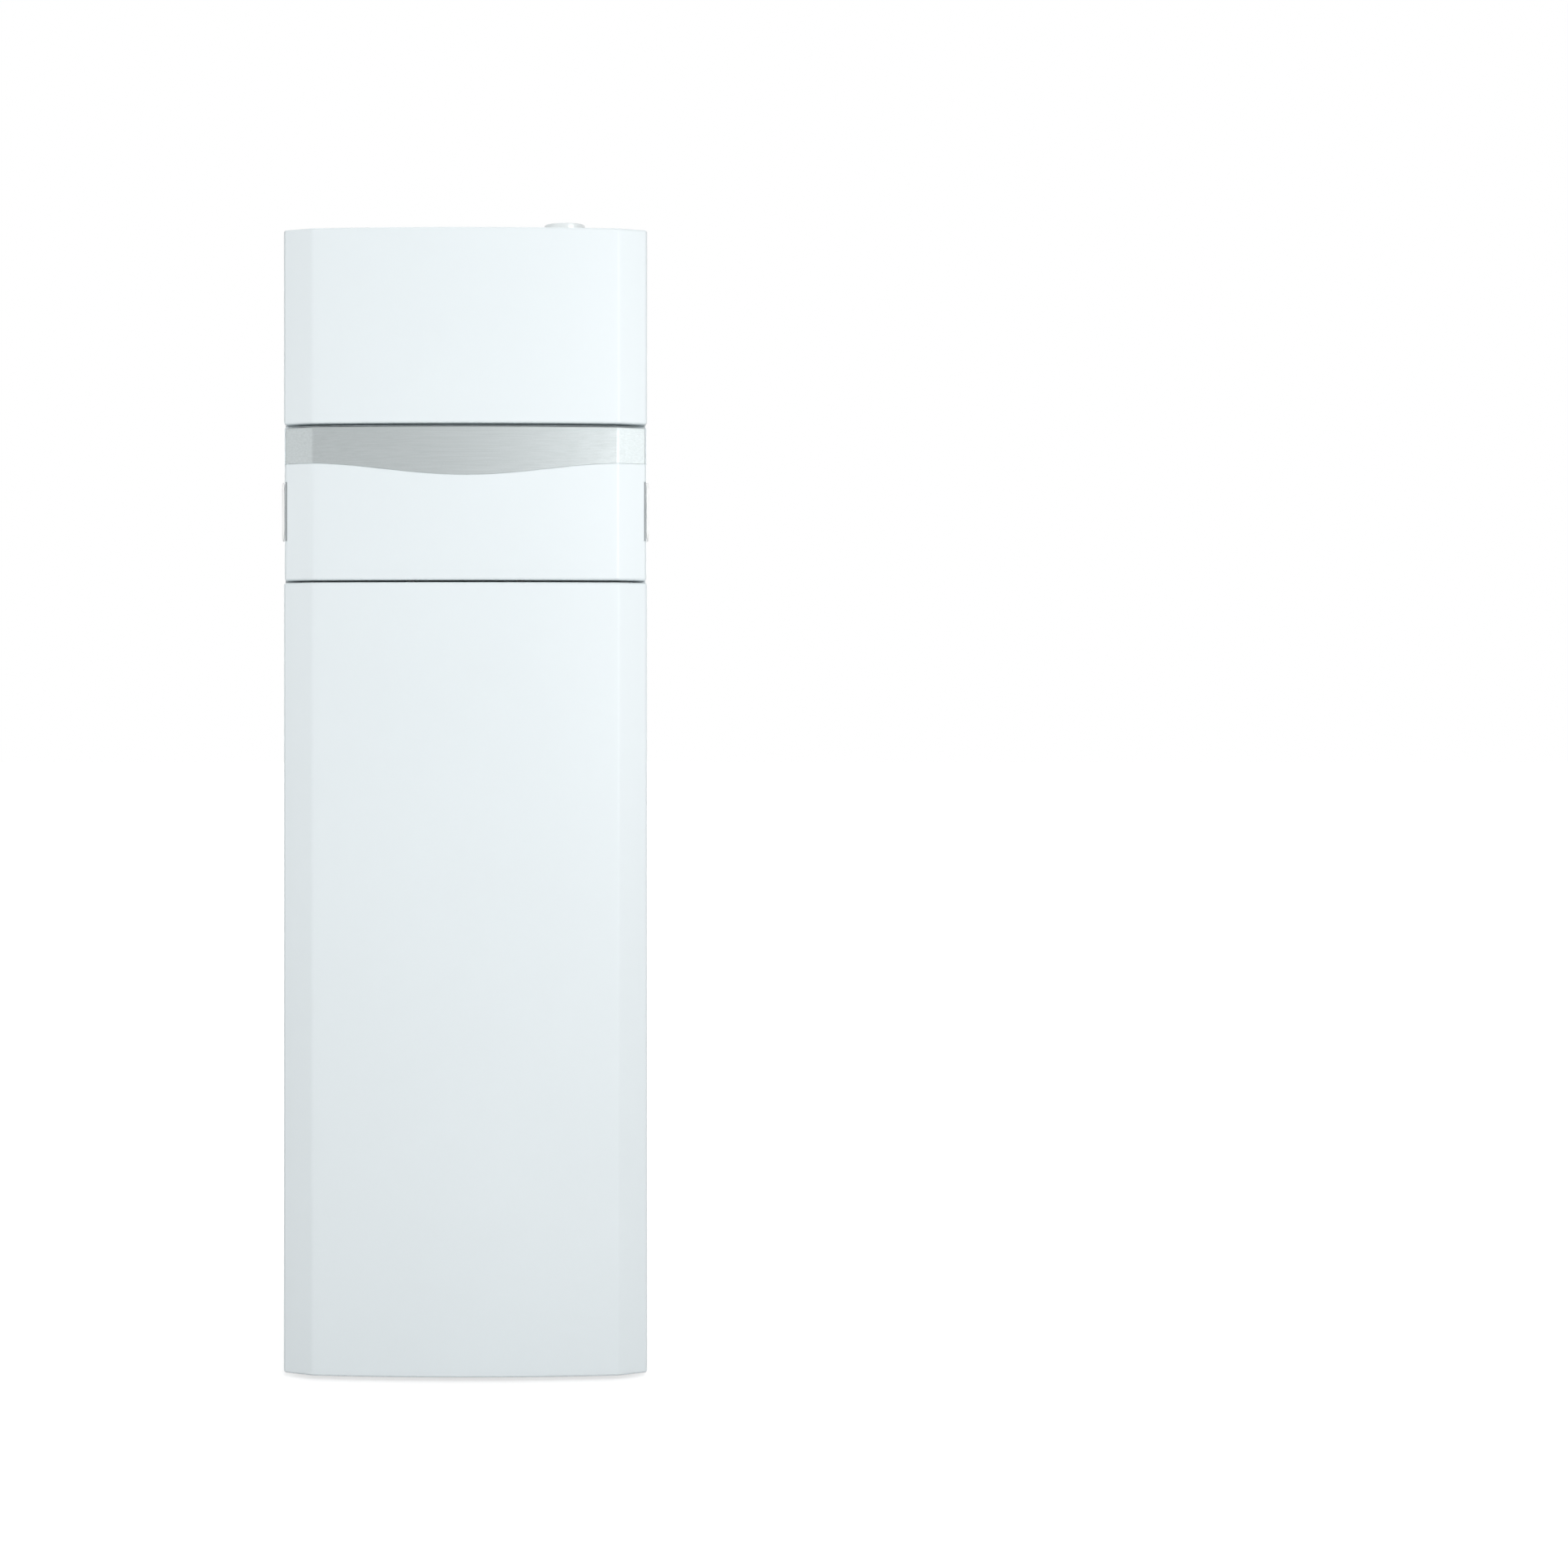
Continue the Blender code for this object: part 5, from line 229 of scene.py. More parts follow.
def moulded_skin(tree, given):
    """Skin of a moulding or casting: a fine sand-like texture and a faint mottling."""
    sand = noise(tree, given["Texture"], 2.0)
    rough = maths(tree, "ADD", given["Roughness"], spread(tree, sand, -0.05, 0.05))
    return tinted(tree, given, swing(tree, noise(tree, 24), given["Mottle"])), rough, sand


def handled_metal(tree, given):
    """Bare copper and brass: darker patches of tarnish, bright where handled, and fine turning marks."""
    patches = spread(tree, noise(tree, given["Patches"], 5.0), 0.0, 1.0)
    mix = add_node(tree, "ShaderNodeMix", data_type="RGBA", Factor=maths(tree, "MULTIPLY", patches, 0.55))
    put(tree, mix.inputs[6], given["Colour"])
    put(tree, mix.inputs[7], given["Tarnish"])
    rough = maths(tree, "ADD", given["Roughness"], maths(tree, "MULTIPLY", patches, 0.16))
    return mix.outputs[2], rough, noise(tree, given["Marks"], 2.0, (1, 1, 0.1))


# Each effect with the values that its group is given besides the colour
EFFECTS = {
    "powder_coat": (powder_coat, {"Roughness": 0.4, "Peel": 420, "Cloud": 0.012}),
    "drawn_grain": (drawn_grain, {"Roughness": 0.3, "Streaks": 900, "Contrast": 0.10, "Speckle": 0.04}),
    "zinc_spangle": (zinc_spangle, {"Roughness": 0.4, "Cells": 90, "Contrast": 0.10}),
    "moulded_skin": (moulded_skin, {"Roughness": 0.45, "Texture": 1400, "Mottle": 0.03}),
    "handled_metal": (handled_metal, {"Tarnish": GREY, "Roughness": 0.28, "Patches": 14, "Marks": 700}),
}


def effect_group(name):
    """The node group of an effect, made once; it puts out the surface's colour, roughness and height."""
    if name in bpy.data.node_groups:
        return bpy.data.node_groups[name]
    build, values = EFFECTS[name]
    tree = bpy.data.node_groups.new(name, "ShaderNodeTree")
    kinds = {tuple: "NodeSocketColor"}
    for label, value in {"Colour": GREY, **values}.items():
        kind = kinds.get(type(value), "NodeSocketFloat")
        tree.interface.new_socket(name=label, in_out="INPUT", socket_type=kind).default_value = value
    made = build(tree, tree.nodes.new("NodeGroupInput").outputs)
    result = tree.nodes.new("NodeGroupOutput")
    for label, value in zip(("Colour", "Roughness", "Height"), made):
        kind = "NodeSocketColor" if label == "Colour" else "NodeSocketFloat"
        tree.interface.new_socket(name=label, in_out="OUTPUT", socket_type=kind)
        put(tree, result.inputs[label], value)
    return tree


def look(effect, relief, metallic=0.0, coat=None, **values):
    """What makes a finish: effect, relief in metres, metallic share, weight and roughness of a clear coat."""
    return effect, relief, metallic, coat, values


FINISHES = {
    "white_powder": look("powder_coat", 4e-5, Roughness=0.40, Peel=420, Cloud=0.010),
    "white_moulding": look("powder_coat", 2e-5, Roughness=0.34, Peel=700, Cloud=0.008),
    "silver_trim": look(
        "drawn_grain", 2e-5, 0.75, Roughness=0.44, Streaks=520, Contrast=0.045, Speckle=0.075
    ),
    "light_plastic": look("moulded_skin", 3e-5, Roughness=0.42, Texture=1500, Mottle=0.012),
    "flue_moulding": look("moulded_skin", 1e-5, 0, (0.7, 0.10), Roughness=0.30, Texture=1500, Mottle=0.01),
    "grip_moulding": look("moulded_skin", 1e-5, 0, (0.4, 0.03), Roughness=0.36, Texture=1500, Mottle=0.01),
    "dark_plastic": look("moulded_skin", 5e-5, Roughness=0.48, Texture=1200, Mottle=0.10),
    "grey_plastic": look("moulded_skin", 5e-5, Roughness=0.46, Texture=1200, Mottle=0.04),
    "red_plastic": look("moulded_skin", 2e-5, Roughness=0.34, Texture=1600, Mottle=0.04),
    "display_window": look("moulded_skin", 5e-6, 0, (0.6, 0.04), Roughness=0.10, Texture=300, Mottle=0.05),
    "galvanised_steel": look("zinc_spangle", 2e-5, 0.9, Roughness=0.40, Cells=85, Contrast=0.16),
    "stainless_steel": look(
        "drawn_grain", 4e-6, 1.0, Roughness=0.30, Streaks=500, Contrast=0.04, Speckle=0.01
    ),
    "cast_aluminium": look("moulded_skin", 2.5e-4, 0.9, Roughness=0.50, Texture=650, Mottle=0.06),
    "cast_iron": look("moulded_skin", 4e-4, 0.2, Roughness=0.50, Texture=420, Mottle=0.12),
    "brass": look(
        "handled_metal", 2e-5, 1.0, Roughness=0.26, Patches=30, Marks=900, Tarnish=(0.38, 0.25, 0.09, 1)
    ),
    "copper": look(
        "handled_metal", 1.5e-5, 1.0, Roughness=0.24, Patches=12, Marks=600, Tarnish=(0.34, 0.13, 0.07, 1)
    ),
    "red_enamel": look("powder_coat", 2e-5, 0, (0.5, 0.12), Roughness=0.30, Peel=260, Cloud=0.04),
    "tank_steel": look("powder_coat", 8e-5, 0.4, Roughness=0.45, Peel=260, Cloud=0.08),
    "jacket_foam": look("moulded_skin", 1.2e-3, Roughness=0.88, Texture=260, Mottle=0.05),
}
VARIANT_COLOURS = {"flue_moulding": (0.80, 0.84, 0.845), "grip_moulding": (0.88, 0.885, 0.875)}

# Which of the sidebar's colours a slot takes; the other slots take the record's
SIDEBAR_COLOURS = {
    "white_powder": "white",
    "white_moulding": "white",
    "silver_trim": "silver",
    "light_plastic": "light_grey",
    "copper": "copper",
    "brass": "brass",
    "red_plastic": "red",
    "red_enamel": "red",
}


def finish_colour(slot):
    if slot in SIDEBAR_COLOURS:
        return tuple(getattr(colours(), SIDEBAR_COLOURS[slot]))
    slots = {entry["slot"]: entry["base_color"] for entry in frame["record"]["materials"]}
    return tuple(slots[slot][:3])


def surfaced(name, effect, colour, **values):
    """A new material coloured and roughened by an effect, with its shader and the effect's node."""
    made = bpy.data.materials.new(name)
    made.use_nodes = True
    tree = made.node_tree
    shader = tree.nodes["Principled BSDF"]
    values["Colour"] = (*colour, 1)
    group = add_node(tree, "ShaderNodeGroup", node_tree=effect_group(effect), **values)
    put(tree, shader.inputs["Base Color"], group.outputs["Colour"])
    put(tree, shader.inputs["Roughness"], group.outputs["Roughness"])
    return made, shader, group


def finish(slot, name=None):
    """The material of one of the record's slots, or a variant of it under its own name, made once."""
    name = name or slot
    known = bpy.data.materials.get(name)
    if known and "boiler_finish" in known:
        return known
    if known:
        known.name = f"{name}.packed"
    effect, relief, metallic, coat, values = FINISHES[name]
    colour = VARIANT_COLOURS.get(name) or finish_colour(slot)
    made, shader, group = surfaced(name, effect, colour, **values)
    made["boiler_finish"] = True
    tree = made.node_tree
    bump = add_node(tree, "ShaderNodeBump", Strength=1.0, Distance=relief, Height=group.outputs["Height"])
    put(tree, shader.inputs["Normal"], bump.outputs["Normal"])
    shader.inputs["Metallic"].default_value = metallic
    if coat:
        shader.inputs["Coat Weight"].default_value, shader.inputs["Coat Roughness"].default_value = coat
    return made


def plain_finish(name, colour, roughness, emission=0.0):
    """A small finish of its own, such as printed ink or a lit digit, with a faint unevenness."""
    if name in bpy.data.materials:
        return bpy.data.materials[name]
    made, shader, _ = surfaced(name, "moulded_skin", colour, Roughness=roughness)
    shader.inputs["Emission Color"].default_value = (*colour, 1)
    shader.inputs["Emission Strength"].default_value = emission
    return made


# For each axis, where a point holds the two coordinates across it and the one along it
ACROSS = {"X": (1, 2, 0), "Y": (0, 2, 1), "Z": (0, 1, 2)}


def across_of(place, axis):
    """The two coordinates of a place across an axis, and the one along it."""
    return [place[index] for index in ACROSS[axis]]


def on_axis(axis, first, second, along):
    """A point from two coordinates across an axis and one along it."""
    point = Vector()
    for index, value in zip(ACROSS[axis], (first, second, along)):
        point[index] = value
    return point


def middle(node, axis):
    """The middle of a node's box, seen along an axis."""
    return across_of([(low + high) / 2 for low, high in zip(*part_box(node))], axis)[:2]


def gathered(shapes):
    """Several meshes as one."""
    whole = bmesh.new()
    for shape in shapes:
        mesh = bpy.data.meshes.new("gathered")
        shape.to_mesh(mesh)
        shape.free()
        whole.from_mesh(mesh)
        bpy.data.meshes.remove(mesh)
    return whole


def loose(name, shape):
    """An object of a mesh, or of a list of meshes as one."""
    if isinstance(shape, list):
        shape = gathered(shape)
    bmesh.ops.recalc_face_normals(shape, faces=shape.faces)
    mesh = bpy.data.meshes.new(name)
    shape.to_mesh(mesh)
    shape.free()
    made = bpy.data.objects.new(name, mesh)
    bpy.context.scene.collection.objects.link(made)
    return made


def remove(made):
    mesh = made.data
    bpy.data.objects.remove(made)
    bpy.data.meshes.remove(mesh)


def shaded(made, angle=FINE_ANGLE):
    """Smooth shading, with sharp edges where faces meet at more than an angle."""
    made.data.shade_smooth()
    made.data.set_sharp_from_angle(angle=angle)


def evened(made):
    """Even shading on the flats beside small rounded edges."""
    made.modifiers.new("even_normals", "WEIGHTED_NORMAL").keep_sharp = True


def soften(made, width, segments=2, angle=math.radians(35)):
    """Small rounded edges by a Bevel modifier."""
    bevel = made.modifiers.new("soft_edges", "BEVEL")
    bevel.width = width
    bevel.segments = segments
    bevel.limit_method = "ANGLE"
    bevel.angle_limit = angle
    evened(made)


def piece(name, shape, slot, body="cabinet", soft=None, smooth=True, finished=None, node=None):
    """A piece with its finish, on its body; soft is an edge's width and segments, node what it replaces."""
    made = loose(name, shape)
    if smooth:
        shaded(made)
    made.data.materials.append(finished or finish(slot))
    if body:
        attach(made, body)
    if soft:
        soften(made, *soft)
    if node:
        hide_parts(node)
    return made


def carve(made, *steps):
    """Cuts, joins or intersects a piece with shapes, in order, and turns the result into its mesh."""
    tools = []
    for operation, shape in steps:
        tools.append(loose("cutter", shape))
        modifier = made.modifiers.new("carve", "BOOLEAN")
        modifier.operation = operation
        modifier.solver = "EXACT"
        modifier.object = tools[-1]
    bpy.context.view_layer.update()
    mesh = bpy.data.meshes.new_from_object(made.evaluated_get(bpy.context.evaluated_depsgraph_get()))
    old = made.data
    made.modifiers.clear()
    made.data = mesh
    bpy.data.meshes.remove(old)
    mesh.name = made.name
    for tool in tools:
        remove(tool)
    if not mesh.polygons:
        raise RuntimeError(f"{made.name} has no faces left after carving")


def prism(outline, low, high, axis="Z"):
    """A closed outline drawn across an axis and extruded between two places on it."""
    shape = bmesh.new()
    base = shape.faces.new([shape.verts.new(on_axis(axis, *point, low)) for point in outline])
    grown = bmesh.ops.extrude_face_region(shape, geom=[base])
    moved = [part for part in grown["geom"] if isinstance(part, bmesh.types.BMVert)]
    bmesh.ops.translate(shape, verts=moved, vec=on_axis(axis, 0, 0, high - low))
    return shape


def block(left, right, front, rear, bottom, top):
    return prism([(left, front), (right, front), (right, rear), (left, rear)], bottom, top)


def rectangle(centre, wide, tall):
    """Outline of a rectangle about its centre, from half its width and height."""
    corners = ((-1, -1), (1, -1), (1, 1), (-1, 1))
    return [(centre[0] + x * wide, centre[1] + y * tall) for x, y in corners]


def polar(centre, radius, angle):
    return (centre[0] + radius * math.cos(angle), centre[1] + radius * math.sin(angle))


def arc(centre, radius, start, end, steps):
    """Points on an arc between two angles, both ends included."""
    return [polar(centre, radius, start + (end - start) * step / steps) for step in range(steps + 1)]


def circle(centre, radius, sides, start=0.0):
    return arc(centre, radius, start, start + FULL_TURN, sides)[:-1]


def spaced(low, high, count):
    return [low + (high - low) * step / (count - 1) for step in range(count)]


def bar(centre, inner, outer, width, angle):
    """Outline of a straight bar along a radius."""
    ahead = Vector((math.cos(angle), math.sin(angle)))
    beside = Vector((-ahead.y, ahead.x)) * width / 2
    corners = ((inner, -1), (outer, -1), (outer, 1), (inner, 1))
    return [Vector(centre) + ahead * reach + beside * side for reach, side in corners]


def turned(profile, axis, centre, sides=32, at=0.0):
    """A profile of radius and rise, turned about an axis; the rise counts from a place on that axis."""
    shape = bmesh.new()
    lines = []
    for step in range(sides):
        angle = FULL_TURN * step / sides
        points = [on_axis(axis, *polar(centre, radius, angle), at + rise) for radius, rise in profile]
        lines.append([shape.verts.new(point) for point in points])
    for line, following in zip(lines, lines[1:] + lines[:1]):
        for step, (before, after) in enumerate(zip(profile, profile[1:])):
            if max(before[0], after[0]) > MERGE:
                shape.faces.new((line[step], line[step + 1], following[step + 1], following[step]))
    bmesh.ops.remove_doubles(shape, verts=shape.verts, dist=MERGE)
    return shape


def banded(axis, centre, inner, outer, low, high, soft=0.0, sides=48):
    """A ring of rectangular section with softened outer corners."""
    profile = [(inner, low), (outer - soft, low), (outer, low + soft), (outer, high - soft)]
    return turned(profile + [(outer - soft, high), (inner, high), (inner, low)], axis, centre, sides)


def ring_tube(rings, closed=False):
    """A skin over rings of equal counts; the end rings are filled unless the rings close on themselves."""
    shape = bmesh.new()
    made = [[shape.verts.new(point) for point in ring] for ring in rings]
    for ring, following in zip(made, made[1:] + made[:1] * closed):
        for place in range(-1, len(ring) - 1):
            shape.faces.new((ring[place], ring[place + 1], following[place + 1], following[place]))
    if not closed:
        shape.faces.new(made[0])
        shape.faces.new(made[-1])
    bmesh.ops.remove_doubles(shape, verts=shape.verts, dist=MERGE)
    return shape


def offset_line(points, distance):
    """An open line moved to its left by a distance, with mitred corners."""
    points = [Vector(point) for point in points]
    normals = []
    for start, end in zip(points, points[1:]):
        run = (end - start).normalized()
        normals.append(Vector((-run.y, run.x)))
    moved = [points[0] + normals[0] * distance]
    for point, before, after in zip(points[1:-1], normals, normals[1:]):
        mitre = (before + after).normalized()
        moved.append(point + mitre * (distance / mitre.dot(after)))
    return moved + [points[-1] + normals[-1] * distance]


def collared_nut(centre, radius, low, high, axis="Z"):
    """A union nut: six flats with their corners turned off at both ends."""
    count = 72
    cut = (high - low) * 0.12
    rings = []
    for level, share in ((low, 0.90), (low + cut, 1), (high - cut, 1), (high, 0.90)):
        rings.append([])
        for step in range(count):
            angle = FULL_TURN * step / count
            flat = math.cos(math.pi / 6) / math.cos((angle % (math.pi / 3)) - math.pi / 6)
            rings[-1].append(on_axis(axis, *polar(centre, radius * min(flat, share), angle), level))
    return ring_tube(rings)


def hex_nut(place, axis, facing, radius, height):
    """A hexagon nut with a washer under it, and the end of its stud a little proud."""
    first, second, along = across_of(place, axis)
    parts = ((20, 1.12, 0, 0.16), (6, 1, 0.16, 1), (12, 0.5, 0, 1.3))
    shapes = []
    for sides, share, start, end in parts:
        ends = sorted((along + facing * height * start, along + facing * height * end))
        shapes.append(prism(circle((first, second), radius * share, sides), *ends, axis))
    return gathered(shapes)


def screw_head(place, axis, facing, radius):
    """A pan head screw on a washer, seated on a face; facing is the sign along the axis."""
    height, washer, rim = radius * 0.62, radius * 1.35, radius * 0.12
    profile = [(0, 0), (washer, 0), (washer, rim), (radius, rim)]
    for angle in map(math.radians, (20, 40, 60, 78)):
        profile.append((radius * math.cos(angle), rim + height * math.sin(angle)))
    profile += [(radius * 0.5, rim + height), (0, rim + height)]
    *centre, along = across_of(place, axis)
    return turned([(reach, facing * rise) for reach, rise in profile], axis, centre, 20, along)


def cross_recess(place, axis, facing, radius):
    """Painted shade of the cross recess in a screw's head: two thin dark bars just proud of it."""
    *centre, along = across_of(place, axis)
    ends = sorted(along + facing * radius * share for share in (0.60, 0.742))
    half, thin = radius * 0.52, radius * 0.10
    return [prism(rectangle(centre, *arms), *ends, axis) for arms in ((half, thin), (thin, half))]


def screws(name, places, axis, facing, radius=SMALL_SCREW):
    """A row of screws on the cabinet as one piece, and the painted shade in the cross of each as another."""
    piece(name, [screw_head(place, axis, facing, radius) for place in places], "stainless_steel")
    marks = [arm for place in places for arm in cross_recess(place, axis, facing, radius)]
    # Dark bars standing for the shade inside each screw's cross: painted shade.
    piece(f"{name}_recesses", marks, "dark_plastic", smooth=False)


def seen_from(node, place, axis, facing):
    """Where a node's surface is met along an axis from outside: its coordinate on that axis."""
    index = "XYZ".index(axis)
    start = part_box(node)[facing > 0][index] + facing * OVERRUN
    *centre, _ = across_of(place, axis)
    hit, spot, _, _ = NODES[node].ray_cast(on_axis(axis, *centre, start), on_axis(axis, 0, 0, -facing))
    if not hit:
        raise RuntimeError(f"nothing of {node} to seat a fitting on at {tuple(place)}")
    return spot[index]


def seated(node, places, axis, facing):
    """Places across an axis, moved onto a node's outer surface."""
    probes = [on_axis(axis, *place, 0) for place in places]
    levels = [seen_from(node, probe, axis, facing) for probe in probes]
    return [on_axis(axis, *place, level) for place, level in zip(places, levels)]


CROWN_FACETS = 56
EDGE_SEGMENTS = 4
WAVE_POINTS = 96
WAVE_HALF = 0.268
BAND_BORDER = 0.002
BAND_RECESS = 0.0006
BAND_SHEET = 0.0013
BAND_SEAM = 0.0012
BAND_WRAP = 0.0024
STUD_FROM_END = 0.060
STUD_FROM_SIDE = 0.0158
WINDOW_INSET = 0.0023
SWING_ROOM = 0.0023


def front_plan(half, rear):
    """Plan of a front, from its left rear corner round the chamfers and the crown to its right one."""
    given = sizes()
    inner = half - given.chamfer_width
    shoulder = side_plane() - given.chamfer_depth
    line = [(-half, rear), (-half, side_plane())]
    for share in spaced(-1, 1, CROWN_FACETS + 1):
        line.append((inner * share, shoulder - given.crown_depth * (1 - share * share)))
    return line + [(half, side_plane()), (half, rear)]


def is_level(edge):
    return abs(edge.verts[0].co.z - edge.verts[1].co.z) < MERGE


def rounded(shape, edges, radius, segments):
    bmesh.ops.bevel(shape, geom=edges, offset=radius, segments=segments, profile=0.5, affect="EDGES")


def front_solid(half, inset, bottom, top, rear, fine=True):
    """A solid of that plan, drawn in all round, its shoulders softened and its outer edges rounded."""
    shape = prism(offset_line(front_plan(half, rear), inset), bottom + inset, top - inset)
    if fine:
        shoulder = half - sizes().chamfer_width
        near = inset * 0.4 + MERGE
        upright = [edge for edge in shape.edges if not is_level(edge)]
        upright = [edge for edge in upright if abs(abs(edge.verts[0].co.x) - shoulder) < near]
        rounded(shape, upright, sizes().shoulder_round, 3)
    rounding = sizes().edge_round - inset
    if rounding > SEAT:
        outer = []
        for edge in shape.edges:
            x, y, _ = edge.verts[0].co
            side = abs(x) > half - inset - MERGE and y < side_plane() + rounding
            if min(point.co.y for point in edge.verts) < rear - MERGE and (is_level(edge) or side):
                outer.append(edge)
        rounded(shape, outer, rounding, EDGE_SEGMENTS)
    return shape


def front_piece(name, slot, solid, body, node, angle, *steps):
    """A front carved from its solid, evenly shaded and put in the place of its node."""
    made = piece(name, solid, slot, None)
    carve(made, *steps)
    shaded(made, angle)
    evened(made)
    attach(made, body)
    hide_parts(node)


def cover_rear():
    """Rear edge of the covers' side walls."""
    return side_plane() + 0.045


def stud(across, level):
    """A locating stud of a cover: its shank, a groove for the spring clip, and a round nose."""
    radius = 0.0029
    start, end = cover_rear() - 0.003, COVER_HIGH.y
    profile = [(0, start), (radius * 1.5, start), (radius * 1.5, start + 0.0012), (radius, start + 0.0018)]
    nose = ((1, 0.0060), (0.72, 0.0052), (0.72, 0.0040), (1, 0.0032), (0.8, 0.0010), (0.4, 0.0002))
    profile += [(radius * share, end - back) for share, back in (*nose, (0, 0.0001))]
    return turned(profile, "Y", (across, level), 16)


def cover_tab(sign, level):
    """The lug spot-welded inside a cover's side wall, which carries one stud."""
    wall = COVER_HIGH.x - sizes().cover_sheet
    outline = ((SEAT, 0.001), (-0.022, 0.001), (-0.022, 0.004), (-0.0045, 0.004), (-0.003, 0.0055))
    outline += ((-0.003, 0.020), (SEAT, 0.020))
    plan = [(sign * (wall + across), cover_rear() - back) for across, back in outline]
    return prism(plan, level - 0.012, level + 0.012)


def hat_rail(level, half):
    """A hat section glued across the inside of a cover; it follows the crown."""
    reach = half - sizes().chamfer_width - 0.020
    skin = sizes().cover_sheet
    section = ((0.020, skin), (0.012, skin), (0.009, 0.009), (-0.009, 0.009), (-0.012, skin), (-0.020, skin))
    outline = [(rise, deep + 0.0002) for rise, deep in section]
    outline += [(rise * 0.96, deep + 0.0012) for rise, deep in reversed(section)]
    plan = [point for point in front_plan(half, cover_rear()) if abs(point[0]) <= reach]
    return ring_tube([[Vector((x, y + deep, level + rise)) for rise, deep in outline] for x, y in plan])


def make_cover(body):
    """A cover: crowned sheet with chamfers and rounded rims, its lugs, studs and stiffeners."""
    low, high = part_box(body)
    half, rear, sheet = high.x, cover_rear(), sizes().cover_sheet
    solid = front_solid(half, 0, low.z, high.z, rear)
    inside = front_solid(half, sheet, low.z, high.z, rear + OVERRUN, fine=False)
    front_piece(f"{body}_front", "white_powder", solid, body, body, FINE_ANGLE, ("DIFFERENCE", inside))
    ends = (low.z + STUD_FROM_END, high.z - STUD_FROM_END)
    places = [(sign, level) for sign in (-1, 1) for level in ends]
    tabs = [cover_tab(*place) for place in places]
    piece(f"{body}_lugs", tabs, "galvanised_steel", body, (0.0004, 2))
    studs = [stud(sign * (COVER_HIGH.x - STUD_FROM_SIDE), level) for sign, level in places]
    piece(f"{body}_studs", studs, "stainless_steel", body)
    tall = high.z - low.z
    rails = [hat_rail(low.z + tall * share, half) for share in ((0.25, 0.5, 0.75) if tall > 1 else (0.5,))]
    piece(f"{body}_stiffeners", rails, "galvanised_steel", body, (0.0008, 2))


def flap_solid(inset, rear=FLAP_HIGH.y, fine=True):
    return front_solid(FLAP_HIGH.x, inset, FLAP_LOW.z, FLAP_HIGH.z, rear, fine)


def wave_level(across):
    """Level of the band's lower edge: straight at the sides, one smooth dip in the middle."""
    share = min(abs(across) / WAVE_HALF, 1)
    dip = sizes().band_dip * (1 + math.cos(math.pi * share)) / 2
    return FLAP_HIGH.z - sizes().band_height - dip


def wave_region(drop, border, back):
    """The band's outline from the front, grown by a drop at its lower edge, as a block down to a depth."""
    half, top = FLAP_HIGH.x - border, FLAP_HIGH.z - border
    places = [-half, *spaced(-WAVE_HALF, WAVE_HALF, WAVE_POINTS + 1), half]
    outline = [(-half, top), *((across, wave_level(across) - drop) for across in places), (half, top)]
    return prism(outline, FLAP_LOW.y - OVERRUN, back, "Y")


def stadium(inset, steps=14):
    """Side view of a grip: a slot shape drawn in by an inset, as depth and level."""
    depth, level = middle("flap_grip_right", "X")
    radius = (GRIP_HIGH.y - GRIP_LOW.y) / 2
    rise = (GRIP_HIGH.z - GRIP_LOW.z) / 2 - radius
    upper = arc((depth, level + rise), radius - inset, 0, math.pi, steps)
    return upper + arc((depth, level - rise), radius - inset, math.pi, FULL_TURN, steps)


def relief_slot(sign, front, margin=0.0):
    """The slot in the flap's front beside a grip."""
    across = sorted(sign * (FLAP_HIGH.x - inward) for inward in (0.0017, 0.0044))
    return block(*across, front, side_plane() + 0.0030, GRIP_LOW.z + margin, GRIP_HIGH.z - margin)


def hinge_parts(node):
    """At one bracket: the notch that clears it, the flap's two lugs and the bore for the pin."""
    across = middle(node, "Y")[0]
    depth, level = HINGE
    radius, back, bore = 0.0062, depth - 0.0077, 0.0029
    gap, thick, overlap = 0.0048, 0.0030, 0.0008
    reach = gap + thick + overlap
    floor = FLAP_LOW.z + sizes().flap_wall + SEAT
    notch = block(
        across - 0.007, across + 0.007, depth - 0.0039, FLAP_HIGH.y + OVERRUN, FLAP_LOW.z - OVERRUN, floor
    )
    lug = arc(HINGE, radius, -QUARTER, QUARTER, 12) + [(back, level + radius), (back, level - radius)]
    lugs = [prism(lug, across + low, across + low + thick, "X") for low in (-gap - thick, gap)]
    return [notch], lugs, [prism(circle(HINGE, bore, 20), across - reach, across + reach, "X")]


